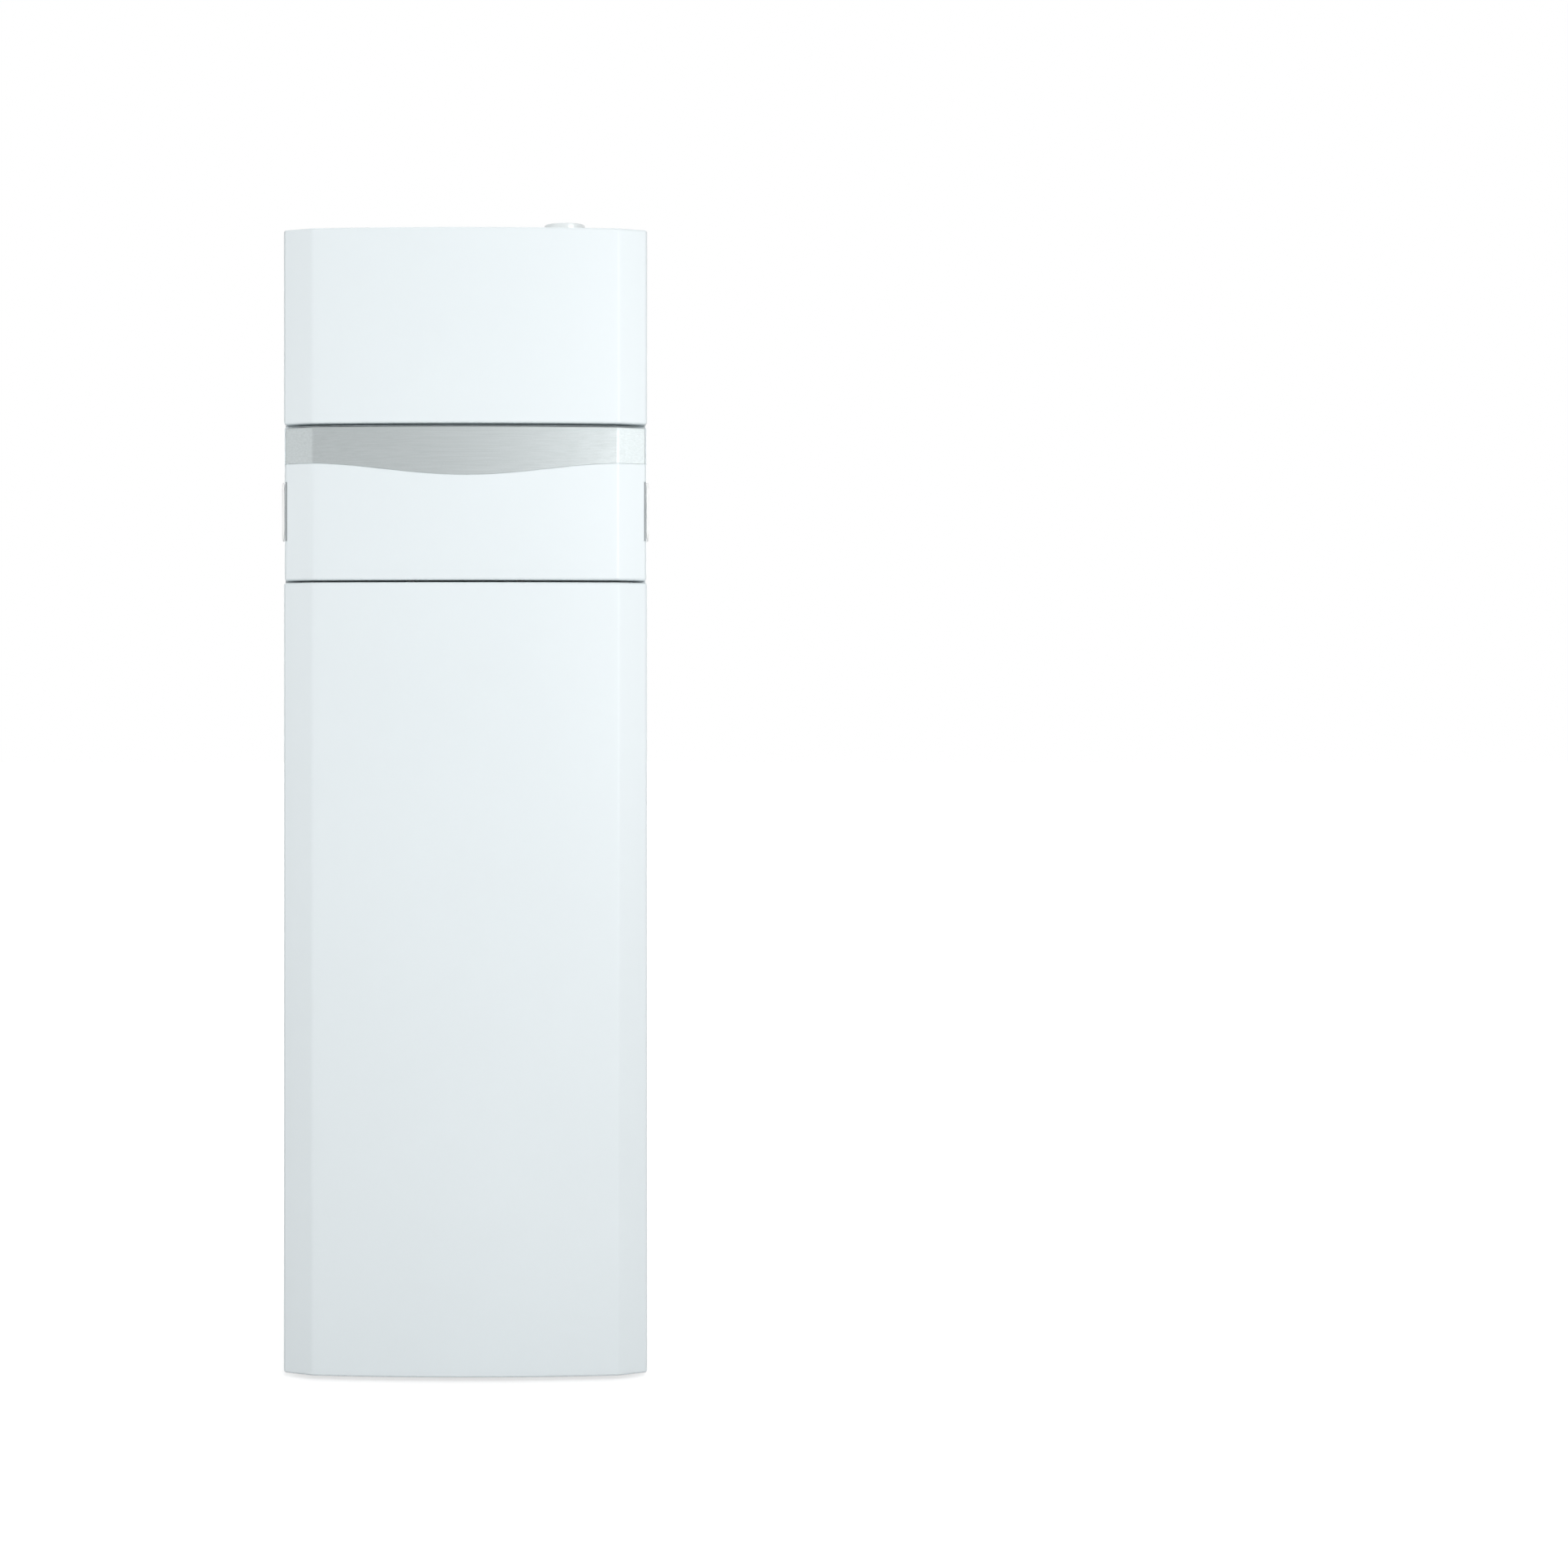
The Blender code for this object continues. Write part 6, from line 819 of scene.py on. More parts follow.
def make_flap_panel():
    """The flap's moulding, with its recess for the band, hinge lugs, notches, grip windows and slots."""
    half, rear, wall = FLAP_HIGH.x, FLAP_HIGH.y, sizes().flap_wall
    recess = loose("recess", wave_region(BAND_SEAM, BAND_BORDER - BAND_SEAM, side_plane() + BAND_WRAP))
    floor = BAND_RECESS + BAND_SHEET + SEAT
    carve(recess, ("DIFFERENCE", flap_solid(floor, rear + OVERRUN, fine=False)))
    hollow = bmesh.new()
    hollow.from_mesh(recess.data)
    remove(recess)
    left, right = hinge_parts("flap_bracket_left"), hinge_parts("flap_bracket_right")
    notches, lugs, bores = [one + other for one, other in zip(left, right)]
    windows = []
    for sign in (-1, 1):
        span = sorted((sign * (half - wall - OVERRUN), sign * (half + OVERRUN)))
        windows.append(prism(stadium(WINDOW_INSET), *span, "X"))
    swing_radius = FLAP_HIGH.z - HINGE[1] + SWING_ROOM
    swept = prism(circle(HINGE, swing_radius, 240), -half - OVERRUN, half + OVERRUN, "X")
    front_piece(
        "flap_moulding",
        "white_moulding",
        flap_solid(0),
        "flap",
        "flap_panel",
        FRONT_ANGLE,
        ("DIFFERENCE", flap_solid(wall, rear + OVERRUN, fine=False)),
        ("DIFFERENCE", hollow),
        ("DIFFERENCE", notches),
        ("UNION", lugs),
        ("DIFFERENCE", bores),
        ("DIFFERENCE", [relief_slot(sign, FLAP_LOW.y) for sign in (-1, 1)]),
        ("DIFFERENCE", windows),
        ("INTERSECT", swept),
    )


def make_flap_band():
    """The silver band in its recess: a thin curved strip, its lower edge one smooth wave."""
    back = flap_solid(BAND_RECESS + BAND_SHEET, FLAP_HIGH.y + OVERRUN, fine=False)
    strip = wave_region(0, BAND_BORDER, side_plane() + BAND_WRAP - SEAT)
    steps = ("DIFFERENCE", back), ("INTERSECT", strip)
    solid = flap_solid(BAND_RECESS)
    front_piece("flap_silver_band", "silver_trim", solid, "flap", "flap_band", FRONT_ANGLE, *steps)


def make_grip(side, sign):
    """A grip on the flap's side: a rounded rim round a dished finger well, and beside it a dark strip that is
    painted shade in the relief slot.
    """
    node = f"flap_grip_{side}"
    well, outside = sorted(abs(corner.x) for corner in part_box(node))
    inside, floor = FLAP_HIGH.x + SEAT, well + 0.0014
    section = [(0.0082, well), (0.0046, well), (0.0030, well + 0.0016), (0.0026, well + 0.0040)]
    section += [(0.0026, inside), (0, inside)]
    rim = ((0, 0.0016), (0.0004, 0.0006), (0.0011, 0.0001), (0.0020, 0), (0.0031, 0.0002), (0.0038, 0.0008))
    section += [(inset, outside - fall) for inset, fall in (*rim, (0.0042, 0.0020))]
    section += [(0.0048, floor + 0.0022), (0.0062, floor + 0.0005), (0.0082, floor)]
    rings = [[Vector((sign * across, y, z)) for y, z in stadium(inset)] for inset, across in section]
    moulding = finish("light_plastic", "grip_moulding")
    piece(f"grip_{side}", ring_tube(rings), "light_plastic", "flap", finished=moulding, node=node)
    # The grey strip in the relief slot is painted shade: it darkens the slot where only shade would fall.
    seal = relief_slot(sign, side_plane() + 0.0006, 0.001)
    piece(f"grip_seal_{side}", seal, "grey_plastic", "flap", smooth=False)


INK_DEPTH = 0.00016
DIAL_START, DIAL_SWEEP = math.radians(225), -math.radians(270)

# Where each bar of a digit lies, in half widths and quarter heights from its middle, and the bars lit
SEGMENT_OF = {"a": (0, 2), "b": (1, 1), "c": (1, -1), "d": (0, -2), "e": (-1, -1), "f": (-1, 1), "g": (0, 0)}
SEGMENTS_LIT = {"0": "abcdef", "6": "acdefg"}


def marked(name, shapes, finished, slot="dark_plastic", body="cabinet"):
    """Thin printed or lit shapes as one piece with a finish of their own."""
    piece(name, shapes, slot, body, smooth=False, finished=finished)


def ink():
    return plain_finish("dark_print", (0.060, 0.066, 0.072), 0.55)


def white_print():
    return plain_finish("white_print", (0.78, 0.80, 0.80), 0.5)


def printed(outline, face, depth=INK_DEPTH):
    """An outline seen from the front, printed just proud of a face at a depth."""
    return prism(outline, face - depth, face, "Y")


def strip(centre, inner, outer, start=0, end=FULL_TURN):
    """Outline of an arched strip between two radii."""
    return arc(centre, outer, start, end, 24) + arc(centre, inner, end, start, 24)


def dial_angle(share):
    return DIAL_START + DIAL_SWEEP * share


def lettered(text, height, centre, face, depth=INK_DEPTH):
    """Numerals or a unit, upright, seen from the front."""
    curve = bpy.data.curves.new("numeral", "FONT")
    curve.body = text
    curve.size = height
    curve.extrude = depth / 2
    curve.align_x = curve.align_y = "CENTER"
    holder = bpy.data.objects.new("numeral", curve)
    bpy.context.scene.collection.objects.link(holder)
    bpy.context.view_layer.update()
    mesh = bpy.data.meshes.new_from_object(holder.evaluated_get(bpy.context.evaluated_depsgraph_get()))
    bpy.data.objects.remove(holder)
    bpy.data.curves.remove(curve)
    place = Matrix.Translation((centre[0], face - depth / 2, centre[1]))
    mesh.transform(place @ Matrix.Rotation(QUARTER, 4, "X"))
    shape = bmesh.new()
    shape.from_mesh(mesh)
    bpy.data.meshes.remove(mesh)
    return shape


def digit(character, centre, width, height, face):
    """A seven-bar digit as on a heating control's display."""
    thick = width * 0.16
    half = thick / 2
    shapes = []
    for name in SEGMENTS_LIT[character]:
        across, up = SEGMENT_OF[name]
        x = centre[0] + across * (width - thick) / 2
        z = centre[1] + up * (height - thick) / 4
        reach = ((height - thick) / 4 if across else (width - thick) / 2) - thick * 0.62
        points = [*rectangle((0, 0), reach, half), (-reach - half, 0)]
        points.insert(2, (reach + half, 0))
        if across:
            points = [(b, a) for a, b in points]
        shapes.append(printed([(x + a, z + b) for a, b in points], face))
    return shapes


def teardrop(centre, size, lean=0.0):
    """A pointed drop, upright: a flame or a drop of water."""
    points = []
    for step in range(28):
        angle = FULL_TURN * step / 28
        rise = math.cos(angle)
        swell = math.sin(angle) * (0.5 - 0.5 * rise) ** 0.5 * 0.62
        points.append((centre[0] + size * (swell + lean * max(rise, 0) ** 2), centre[1] + size * rise * 0.62))
    return points


def make_knob(node):
    """A control knob: skirt, tapered body, a rounded grip across it and a pointer line."""
    low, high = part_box(node)
    centre = middle(node, "Y")
    radius = (high.x - low.x) / 2
    base, floor = FASCIA_FACE - SEAT, low.y + 0.005
    side = [(0.0052, floor), (0.0044, floor + 0.0003), (0.0036, floor), (0.0030, floor)]
    side += [(0.0022, floor + 0.0004), (0.0018, floor + 0.0014), (0.0011, base - 0.0046)]
    side += [(0.0006, base - 0.0041), (0, base - 0.0034), (0, base - 0.0004), (0.0004, base)]
    profile = [(0, floor), *((radius - inset, level) for inset, level in side)]
    profile += [(0.003, base), (0.003, high.y), (0, high.y)]
    half, reach = 0.0035, radius - 0.0055
    levels = (centre[1] - reach, centre[1] + reach)
    grip = block(centre[0] - half, centre[0] + half, low.y, floor + 0.0008, *levels)
    front = [edge for edge in grip.edges if min(point.co.y for point in edge.verts) < low.y + MERGE]
    rounded(grip, front, 0.0014, 4)
    piece(f"{node}_moulding", [turned(profile, "Y", centre, 56), grip], "light_plastic", node, node=node)
    line = bar(centre, 0.0085, reach - 0.0012, 0.0013, QUARTER)
    marked(f"{node}_pointer", [printed(line, low.y)], ink(), body=node)


def make_knob_scale(name, numerals, lean):
    """The printed scale round a knob: ticks and numerals, and its sign below."""
    node = f"{name}_knob"
    centre = middle(node, "Y")
    inner, short, long, numerals_at = 0.0232, 0.0252, 0.0262, 0.0305
    shapes = []
    for tick in range(21):
        outline = bar(centre, inner, short if tick % 5 else long, 0.0006, dial_angle(tick / 20))
        shapes.append(printed(outline, FASCIA_FACE))
    for place, text in enumerate(numerals):
        spot = polar(centre, numerals_at, dial_angle(place / (len(numerals) - 1)))
        shapes.append(lettered(text, 0.0058, spot, FASCIA_FACE))
    marked(f"{name}_scale", shapes, ink())
    sign = teardrop((centre[0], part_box(node)[0].z - 0.0120), 0.0058, lean)
    marked(f"{name}_sign", [printed(sign, FASCIA_FACE)], ink())


def make_display_signs():
    """The lit display: temperature, unit, a flame and a row of level bars on a dim panel."""
    low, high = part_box("display")
    face, margin = low.y, 0.0045
    panel = plain_finish("dim_panel", (0.012, 0.030, 0.038), 0.22, 0.35)
    lit = plain_finish("lit_signs", (0.62, 0.86, 0.95), 0.30, 1.5)
    centre = middle("display", "Y")
    outline = rectangle(centre, (high.x - low.x) / 2 - margin, (high.z - low.z) / 2 - margin)
    marked("display_panel", [printed(outline, face, INK_DEPTH / 2)], panel, "display_window")
    level = centre[1] + 0.003
    wide, tall = 0.0135, 0.0260
    shapes = digit("6", (-0.012, level), wide, tall, face) + digit("0", (0.006, level), wide, tall, face)
    shapes.append(lettered("°C", 0.0085, (0.0235, level + 0.0085), face))
    shapes.append(printed(teardrop((-0.0385, level + 0.003), 0.0105, 0.12), face))
    for step in range(8):
        left, foot, rise = -0.0440 + step * 0.0038, low.z + 0.0075, low.z + 0.0090 + step * 0.0007
        right = left + 0.0027
        shapes.append(printed([(left, foot), (right, foot), (right, rise), (left, rise)], face))
    shapes += [printed(circle((place, low.z + 0.0095), 0.0016, 16), face) for place in (0.034, 0.042)]
    marked("display_signs", shapes, lit, "display_window")


def make_button_signs():
    """Minus, ring and plus on the three buttons."""
    reach, line, ring = 0.0030, 0.0009, 0.0022
    for node in ("left_button", "middle_button", "right_button"):
        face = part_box(node)[0].y
        centre = middle(node, "Y")
        minus = bar(centre, -reach, reach, line, 0)
        shapes = [printed(strip(centre, ring, reach) if node == "middle_button" else minus, face)]
        if node == "right_button":
            shapes.append(printed(bar(centre, -reach, reach, line, QUARTER), face, INK_DEPTH * 1.2))
        marked(f"{node}_sign", shapes, white_print(), "light_plastic", node)


def make_gauge_dial():
    """The pressure gauge's white dial with its ticks, numerals, a green working range and a red end."""
    centre = middle("pressure_gauge", "Y")
    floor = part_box("gauge_needle")[1].y + SEAT
    face, thin, rim = floor - 0.0001, 0.00005, 0.0175
    white = plain_finish("dial_white", (0.80, 0.81, 0.80), 0.6)
    marked("gauge_dial", [printed(circle(centre, 0.0188, 48), floor, 0.0001)], white, "light_plastic")
    shapes = []
    for tick in range(41):
        inner, width = (0.0163, 0.0003) if tick % 10 else (0.0152, 0.0006)
        shapes.append(printed(bar(centre, inner, rim, width, dial_angle(tick / 40)), face, thin))
    for place in range(5):
        shapes.append(lettered(str(place), 0.0040, polar(centre, 0.0125, dial_angle(place / 4)), face, thin))
    shapes.append(lettered("bar", 0.0034, (centre[0], centre[1] - 0.0080), face, thin))
    marked("gauge_print", shapes, ink())
    ranges = ("gauge_green", (0.05, 0.32, 0.10), 0.25, 0.5), ("gauge_red", (0.50, 0.03, 0.02), 0.75, 1)
    for name, colour, first, last in ranges:
        outline = strip(centre, rim + 0.0001, rim + 0.0011, dial_angle(first), dial_angle(last))
        marked(name, [printed(outline, face, thin)], plain_finish(name, colour, 0.5), "light_plastic")


def make_switch_signs():
    """The off ring and the on bar printed beside the rocker switch."""
    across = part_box("power_switch")[1].x + 0.0105
    level = middle("power_switch", "Y")[1]
    ring = strip((across, level - 0.008), 0.0014, 0.0020)
    line = bar((across, level + 0.008), -0.0021, 0.0021, 0.0008, QUARTER)
    marked("switch_signs", [printed(ring, FASCIA_FACE), printed(line, FASCIA_FACE)], ink())


def rounded_frame(half, bottom, top, radius):
    """Outline of an upright rectangle with round corners, seen from the front."""
    points = []
    for quarter, (x, z) in enumerate(((half, top), (-half, top), (-half, bottom), (half, bottom))):
        centre = (x - math.copysign(radius, x), z - radius if z == top else z + radius)
        points += arc(centre, radius, quarter * QUARTER, (quarter + 1) * QUARTER, 6)
    return points


def make_fascia_trim():
    """Screws at the fascia's corners, and a dark printed line of painted shade for the groove that frames the
    display and its buttons.
    """
    levels = (FASCIA_LOW.z + 0.012, FASCIA_HIGH.z - 0.012)
    places = [(sign * 0.2515, FASCIA_FACE, level) for sign in (-1, 1) for level in levels]
    screws("fascia_screws", places, "Y", -1)
    # The groove round the display is not cut: its shade is painted as a thin dark band just proud of the face.
    outer = rounded_frame(0.070, 1.4080, 1.5160, 0.006)
    inner = rounded_frame(0.0694, 1.4086, 1.5154, 0.0054)
    proud = FASCIA_FACE - INK_DEPTH
    lines = ((outer, FASCIA_FACE), (outer, proud), (inner, proud), (inner, FASCIA_FACE))
    rings = [[Vector((x, y, z)) for x, z in line] for line, y in lines]
    marked("fascia_frame", [ring_tube(rings, closed=True)], ink())


# How much each node's edges are softened, in metres, and in how many segments, by finish and by node
SOFT_BY_SLOT = {
    "galvanised_steel": (0.0004, 1),
    "white_powder": (0.0005, 2),
    "red_plastic": (0.0007, 3),
    "display_window": (0.0004, 2),
    "stainless_steel": (0.0008, 2),
    "cast_aluminium": (0.0010, 2),
    "cast_iron": (0.0016, 3),
    "brass": (0.0007, 2),
    "copper": (0.0003, 2),
    "jacket_foam": (0.0040, 3),
}
SOFT_BY_NODE = {
    "gauge_needle": (0.0001, 1),
    "power_switch": (0.0004, 2),
    "control_fascia": (0.0008, 3),
    "control_box": (0.0012, 2),
    "gas_valve": (0.0022, 3),
    "pump_head": (0.0016, 3),
    "diverter_actuator": (0.0020, 3),
}
SOFT = (0.0006, 2)

# A finish counts as metal from this metallic share
METAL = 0.2

FEET = ("foot_front_left", "foot_front_right", "foot_rear_left", "foot_rear_right")
SOFT_BY_NODE.update(dict.fromkeys(FEET, (0.0010, 2)))
REPLACED = (
    "lower_cover upper_cover flap_panel flap_band flap_grip_left flap_grip_right heating_knob water_knob "
    "flue_adapter cable_gland rear_panel condensate_siphon"
).split()


def dress_nodes(metal):
    """Gives finish, shading and softened edges to the nodes of metal, or to the others."""
    for entry in frame["record"]["subparts"]:
        node, slot = entry["node"], entry["material_slot"]
        if node in REPLACED or (FINISHES[slot][2] >= METAL) != metal:
            continue
        made = NODES[node]
        made.data.materials.clear()
        made.data.materials.append(finish(slot))
        shaded(made)
        made.modifiers.new("weld", "WELD").merge_threshold = 1e-5
        soften(made, *SOFT_BY_NODE.get(node, SOFT_BY_SLOT.get(slot, SOFT)))


# In the fittings below, sizes are in metres and places lie in the frame of the construction model


def make_flue_adapter():
    """The flue adapter: flange, air collar and the socket with its bead, rounded lip and seal."""
    low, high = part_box("flue_adapter")
    centre = middle("flue_adapter", "Z")
    base = TOP_EDGE.z + SEAT
    flange, collar, socket, bore = 0.070, 0.055, 0.0355, 0.0330
    plate, collar_top, bead = base + 0.004, base + 0.040, high.z - 0.0135
    lip = (socket - bore) / 2
    rim, fillet, roll = 0.0016, 0.0030, 0.0015
    profile = [(bore, low.z), (socket, low.z), (socket, base)]
    profile += [(flange - 0.0004, base), (flange, base + 0.0004)]
    profile += arc((flange - rim, plate - rim), rim, 0, QUARTER, 4)
    profile += arc((collar + fillet, plate + fillet), fillet, 3 * QUARTER, math.pi, 4)
    profile += arc((collar - roll, collar_top - roll), roll, 0, math.pi, 8)
    profile += [(collar - 2 * roll, plate + 0.0006), (socket, plate + 0.0006)]
    for angle in spaced(-QUARTER, QUARTER, 9):
        profile.append((socket + 0.0025 * math.cos(angle), bead + 0.0035 * math.sin(angle)))
    profile += [*arc((bore + lip, high.z - lip), lip, 0, math.pi, 8), (bore, low.z)]
    moulding = finish("light_plastic", "flue_moulding")
    body = turned(profile, "Z", centre, 72)
    piece("flue_adapter_moulding", body, "light_plastic", finished=moulding, node="flue_adapter")
    ring = [(SEAT, -0.003), (-0.0016, -0.001), (-0.0016, 0), (SEAT, 0.003), (SEAT, -0.003)]
    seal = turned([(bore + across, rise) for across, rise in ring], "Z", centre, 64, bead)
    piece("flue_seal", seal, "dark_plastic")
    places = [(*spot, plate) for spot in circle(centre, 0.0628, 4, math.radians(45))]
    screws("flue_screws", places, "Z", 1, 0.0032)
    ports = []
    for turn in (200, 232):
        spot = polar(centre, 0.0455, math.radians(turn))
        ports.append(banded("Z", spot, 0.0, 0.0052, plate + 0.001, collar_top + 0.002, 0.0008, 20))
    piece("flue_test_caps", ports, "grey_plastic")


def make_connections():
    """Union nuts on the five pipes above the top panel, with a plate and grommets that close its slot."""
    nuts = {"brass": [], "stainless_steel": []}
    seals, bores = [], []
    plate = TOP_EDGE.z - 0.0012 - SEAT
    for name in ("heating_return", "heating_flow", "hot_water", "cold_water", "gas"):
        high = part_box(f"{name}_pipe")[1]
        place = (high.x - 0.0160, high.y - 0.0139)
        nut = collared_nut(place, 0.0190, high.z - 0.0224, high.z + 0.0004)
        nuts["brass" if name == "gas" else "stainless_steel"].append(nut)
        reach = seen_from(f"{name}_pipe", (place[0], 0, plate + 0.006), "Y", 1) - place[1]
        bores.append(prism(circle(place, reach + 0.0015, 32), plate - 0.004, plate + OVERRUN))
        seals.append(banded("Z", place, reach + 0.0002, reach + 0.0075, plate, plate + 0.0030, 0.0010, 40))
    for slot, shapes in nuts.items():
        piece(f"union_nuts_{slot}", shapes, slot)
    piece("pipe_grommets", seals, "dark_plastic")
    sheet = block(-0.2815, 0.2815, TOP_EDGE.y - 0.084, TOP_EDGE.y - 0.008, plate - 0.0012, plate)
    carve(piece("pipe_closing_plate", sheet, "white_powder", smooth=False), ("DIFFERENCE", bores))


def make_cable_gland():
    """The cord gland: its nut on the top panel, a ribbed cap and a blind plug."""
    low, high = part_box("cable_gland")
    centre = middle("cable_gland", "Z")
    base = TOP_EDGE.z + SEAT
    rings = []
    cap = ((0.0062, 0.0128), (0.0068, 0.0135), (0.0150, 0.0130), (0.0182, 0.0112), (0.0197, 0.0090))
    for level, reach in cap:
        ribbed = 0.0006 if 0.0065 < level < 0.017 else 0
        ring = []
        for step in range(96):
            spot = polar(centre, reach - ribbed * (step // 3 % 2), FULL_TURN * step / 96)
            ring.append(Vector((*spot, base + level)))
        rings.append(ring)
    nut = collared_nut(centre, 0.0150, base, base + 0.0062)
    tail = banded("Z", centre, 0.005, 0.0105, low.z, base, 0.0005, 32)
    piece("cable_gland_body", [nut, ring_tube(rings), tail], "dark_plastic", node="cable_gland")
    plug = [(0, -0.0002), (0.0058, -0.0002), (0.0064, -0.0010), (0, -0.0010)]
    piece("cable_gland_plug", turned(plug, "Z", centre, 32, high.z), "grey_plastic")


def long_bead(level, radius):
    """Outline of a bead across the back, with round ends."""
    half = 0.205
    right = arc((half, level), radius, -QUARTER, QUARTER, 10)
    return right + arc((-half, level), radius, QUARTER, 3 * QUARTER, 10)


def pressing(outline_of, steps):
    """The tool that presses a shape into the back, from its radius at several depths."""
    rings = []
    for depth, radius in steps:
        rings.append([Vector((x, REAR_HIGH.y + depth, z)) for x, z in outline_of(radius)])
    return ring_tube(rings)


def make_rear_panel():
    """The back: a zinc-coated sheet with long pressed beads, and screws in dished seats round its edge."""
    outer, inner = REAR_HIGH.y, REAR_LOW.y
    sheet = block(REAR_LOW.x, REAR_HIGH.x, inner, outer, REAR_LOW.z, REAR_HIGH.z)
    made = piece("rear_sheet", sheet, "galvanised_steel")
    inset, margin, seat, pad = 0.012, 0.045, 0.0023, 0.0085
    across = spaced(REAR_LOW.x + inset, REAR_HIGH.x - inset, 4)
    up = spaced(REAR_LOW.z + inset, REAR_HIGH.z - inset, 9)
    spots = [(x, z) for x in (across[0], across[-1]) for z in up]
    spots += [(x, z) for x in across[1:-1] for z in (up[0], up[-1])]
    depths = (inner - 0.0016, inner + 0.0004)
    backing = [prism(circle(spot, pad, 24), *depths, "Y") for spot in spots]
    sides = (REAR_LOW.x + margin, REAR_HIGH.x - margin)
    backing.append(block(*sides, *depths, REAR_LOW.z + margin, REAR_HIGH.z - margin))
    pressed = []
    first_bead = 0.16
    for level in spaced(REAR_LOW.z + first_bead, REAR_HIGH.z - first_bead, 9):
        steps = ((-0.0020, 0.0075), (0.0, 0.0105), (0.004, 0.0185))
        pressed.append(pressing(lambda radius: long_bead(level, radius), steps))
    for spot in spots:
        pressed.append(pressing(lambda radius: circle(spot, radius, 24), ((-seat, 0.0050), (0.001, 0.0075))))
    carve(made, ("UNION", backing), ("DIFFERENCE", pressed))
    shaded(made)
    soften(made, 0.0006, 2, math.radians(25))
    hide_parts("rear_panel")
    screws("rear_screws", [(x, outer - seat, z) for x, z in spots], "Y", 1)


def make_casing_fittings():
    """Screws of the side flanges and shelves, levelling nuts, and the control box's edging and catches."""
    radius = sizes().screw_radius
    flange, shelf = 0.2850, 0.284
    places = []
    for side, sign in (("left", -1), ("right", 1)):
        spots = [(sign * flange, level) for level in (0.045, 0.600, 1.062, 1.590, 1.845)]
        places += seated(f"side_panel_{side}", spots, "Y", -1)
    screws("flange_screws", places, "Y", -1, radius)
    spots = [(sign * shelf, y) for sign in (-1, 1) for y in (-0.225, 0.0, 0.225)]
    places = [place for node in ("module_shelf", "middle_shelf") for place in seated(node, spots, "Z", 1)]
    screws("shelf_screws", places, "Z", 1, radius)
    nuts = [collared_nut(middle(node, "Z"), 0.0125, 0.0225, 0.0293) for node in FEET]
    piece("levelling_nuts", nuts, "stainless_steel")
    low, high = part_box("control_box")
    rings = []
    for wider, rise in ((0, 0.0012), (0.0035, 0.0012), (0.0035, 0), (0, 0)):
        outline = rectangle((0.187, 1.505), 0.0350 + wider, 0.0200 + wider)
        rings.append([Vector((x, high.y + rise, z)) for x, z in outline])
    piece("cable_entry_edging", ring_tube(rings, closed=True), "dark_plastic", smooth=False)
    levels = (high.z - 0.0002, high.z + 0.0030)
    catches = [block(x - 0.010, x + 0.010, low.y + 0.004, low.y + 0.030, *levels) for x in (-0.200, 0.200)]
    piece("control_catches", catches, "grey_plastic", soft=(0.0010, 2))


def make_door_fittings():
    """Nuts on the burner door, its sight glass and the igniter."""
    x, z = middle("burner_door", "Y")
    off_centre, ring = 0.00865, 0.121
    spots = circle((x - off_centre, z), ring, 6, math.radians(30))
    places = seated("burner_door", spots, "Y", -1)
    nuts = [hex_nut(place, "Y", -1, 0.0062, 0.0058) for place in places]
    piece("door_nuts", nuts, "stainless_steel", smooth=False)
    door = seen_from("burner_door", (-0.070, 0, 1.622), "Y", -1)
    glass = (-0.1705, 1.7120)
    piece("sight_ring", banded("Y", glass, 0.0048, 0.0088, door - 0.0045, door, sides=32), "stainless_steel")
    piece("sight_glass", banded("Y", glass, 0.0, 0.0047, door - 0.0028, door, sides=24), "display_window")
    plate = block(-0.096, -0.044, door - 0.0030, door, 1.6110, 1.6420)
    piece("igniter_plate", plate, "stainless_steel", soft=(0.0012, 2))
    level = 1.6265
    screws("igniter_screws", [(x, door - 0.003, level) for x in (-0.0905, -0.0495)], "Y", -1)
    profile = [(0, -0.0210), (0.0030, -0.0210), (0.0034, -0.0200)]
    for shed in range(4):
        foot = -0.0180 + shed * 0.0038
        profile += [(0.0034, foot), (0.0042, foot + 0.0006), (0.0042, foot + 0.0014), (0.0034, foot + 0.002)]
    profile += [(0.0052, -0.0040), (0.0052, -0.002), (0, -0.002)]
    ceramic = plain_finish("ceramic", (0.80, 0.78, 0.72), 0.22)
    spots = [(-0.0790, level), (-0.0610, level)]
    posts = [turned(profile, "Y", spot, 20, door) for spot in spots]
    piece("igniter_ceramics", posts, "light_plastic", finished=ceramic)
    tips = [banded("Y", spot, 0.0, 0.0011, door - 0.0275, door - 0.0200, 0.0002, 12) for spot in spots]
    piece("igniter_tips", tips, "stainless_steel")


def make_fan_fittings():
    """Screws round the fan's scroll and on its outlet, and the ribs of the inlet."""
    fan = middle("fan_impeller", "Y")
    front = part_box("fan_housing")[0].y + 0.006
    rim = ((35, 0.046), (88, 0.0465), (140, 0.0560), (195, 0.0610), (248, 0.0720), (300, 0.0760))
    spots = [polar(fan, radius, math.radians(turn)) for turn, radius in rim]
    screws("fan_screws", [(x, front, z) for x, z in spots], "Y", -1, 0.0032)
    depths = (front - 0.0016, front + 0.0002)
    ribs = []
    for turn in range(8):
        ribs.append(prism(bar(fan, 0.0375, 0.0430, 0.0022, math.radians(22.5 + 45 * turn)), *depths, "Y"))
    ribs.append(banded("Y", fan, 0.0425, 0.0440, *depths, 0.0004, 64))
    piece("fan_ribs", ribs, "cast_aluminium")
    places = [(x, front, z) for z in (1.6720, 1.6945) for x in (0.0405, 0.0600)]
    screws("plenum_screws", places, "Y", -1, 0.0028)


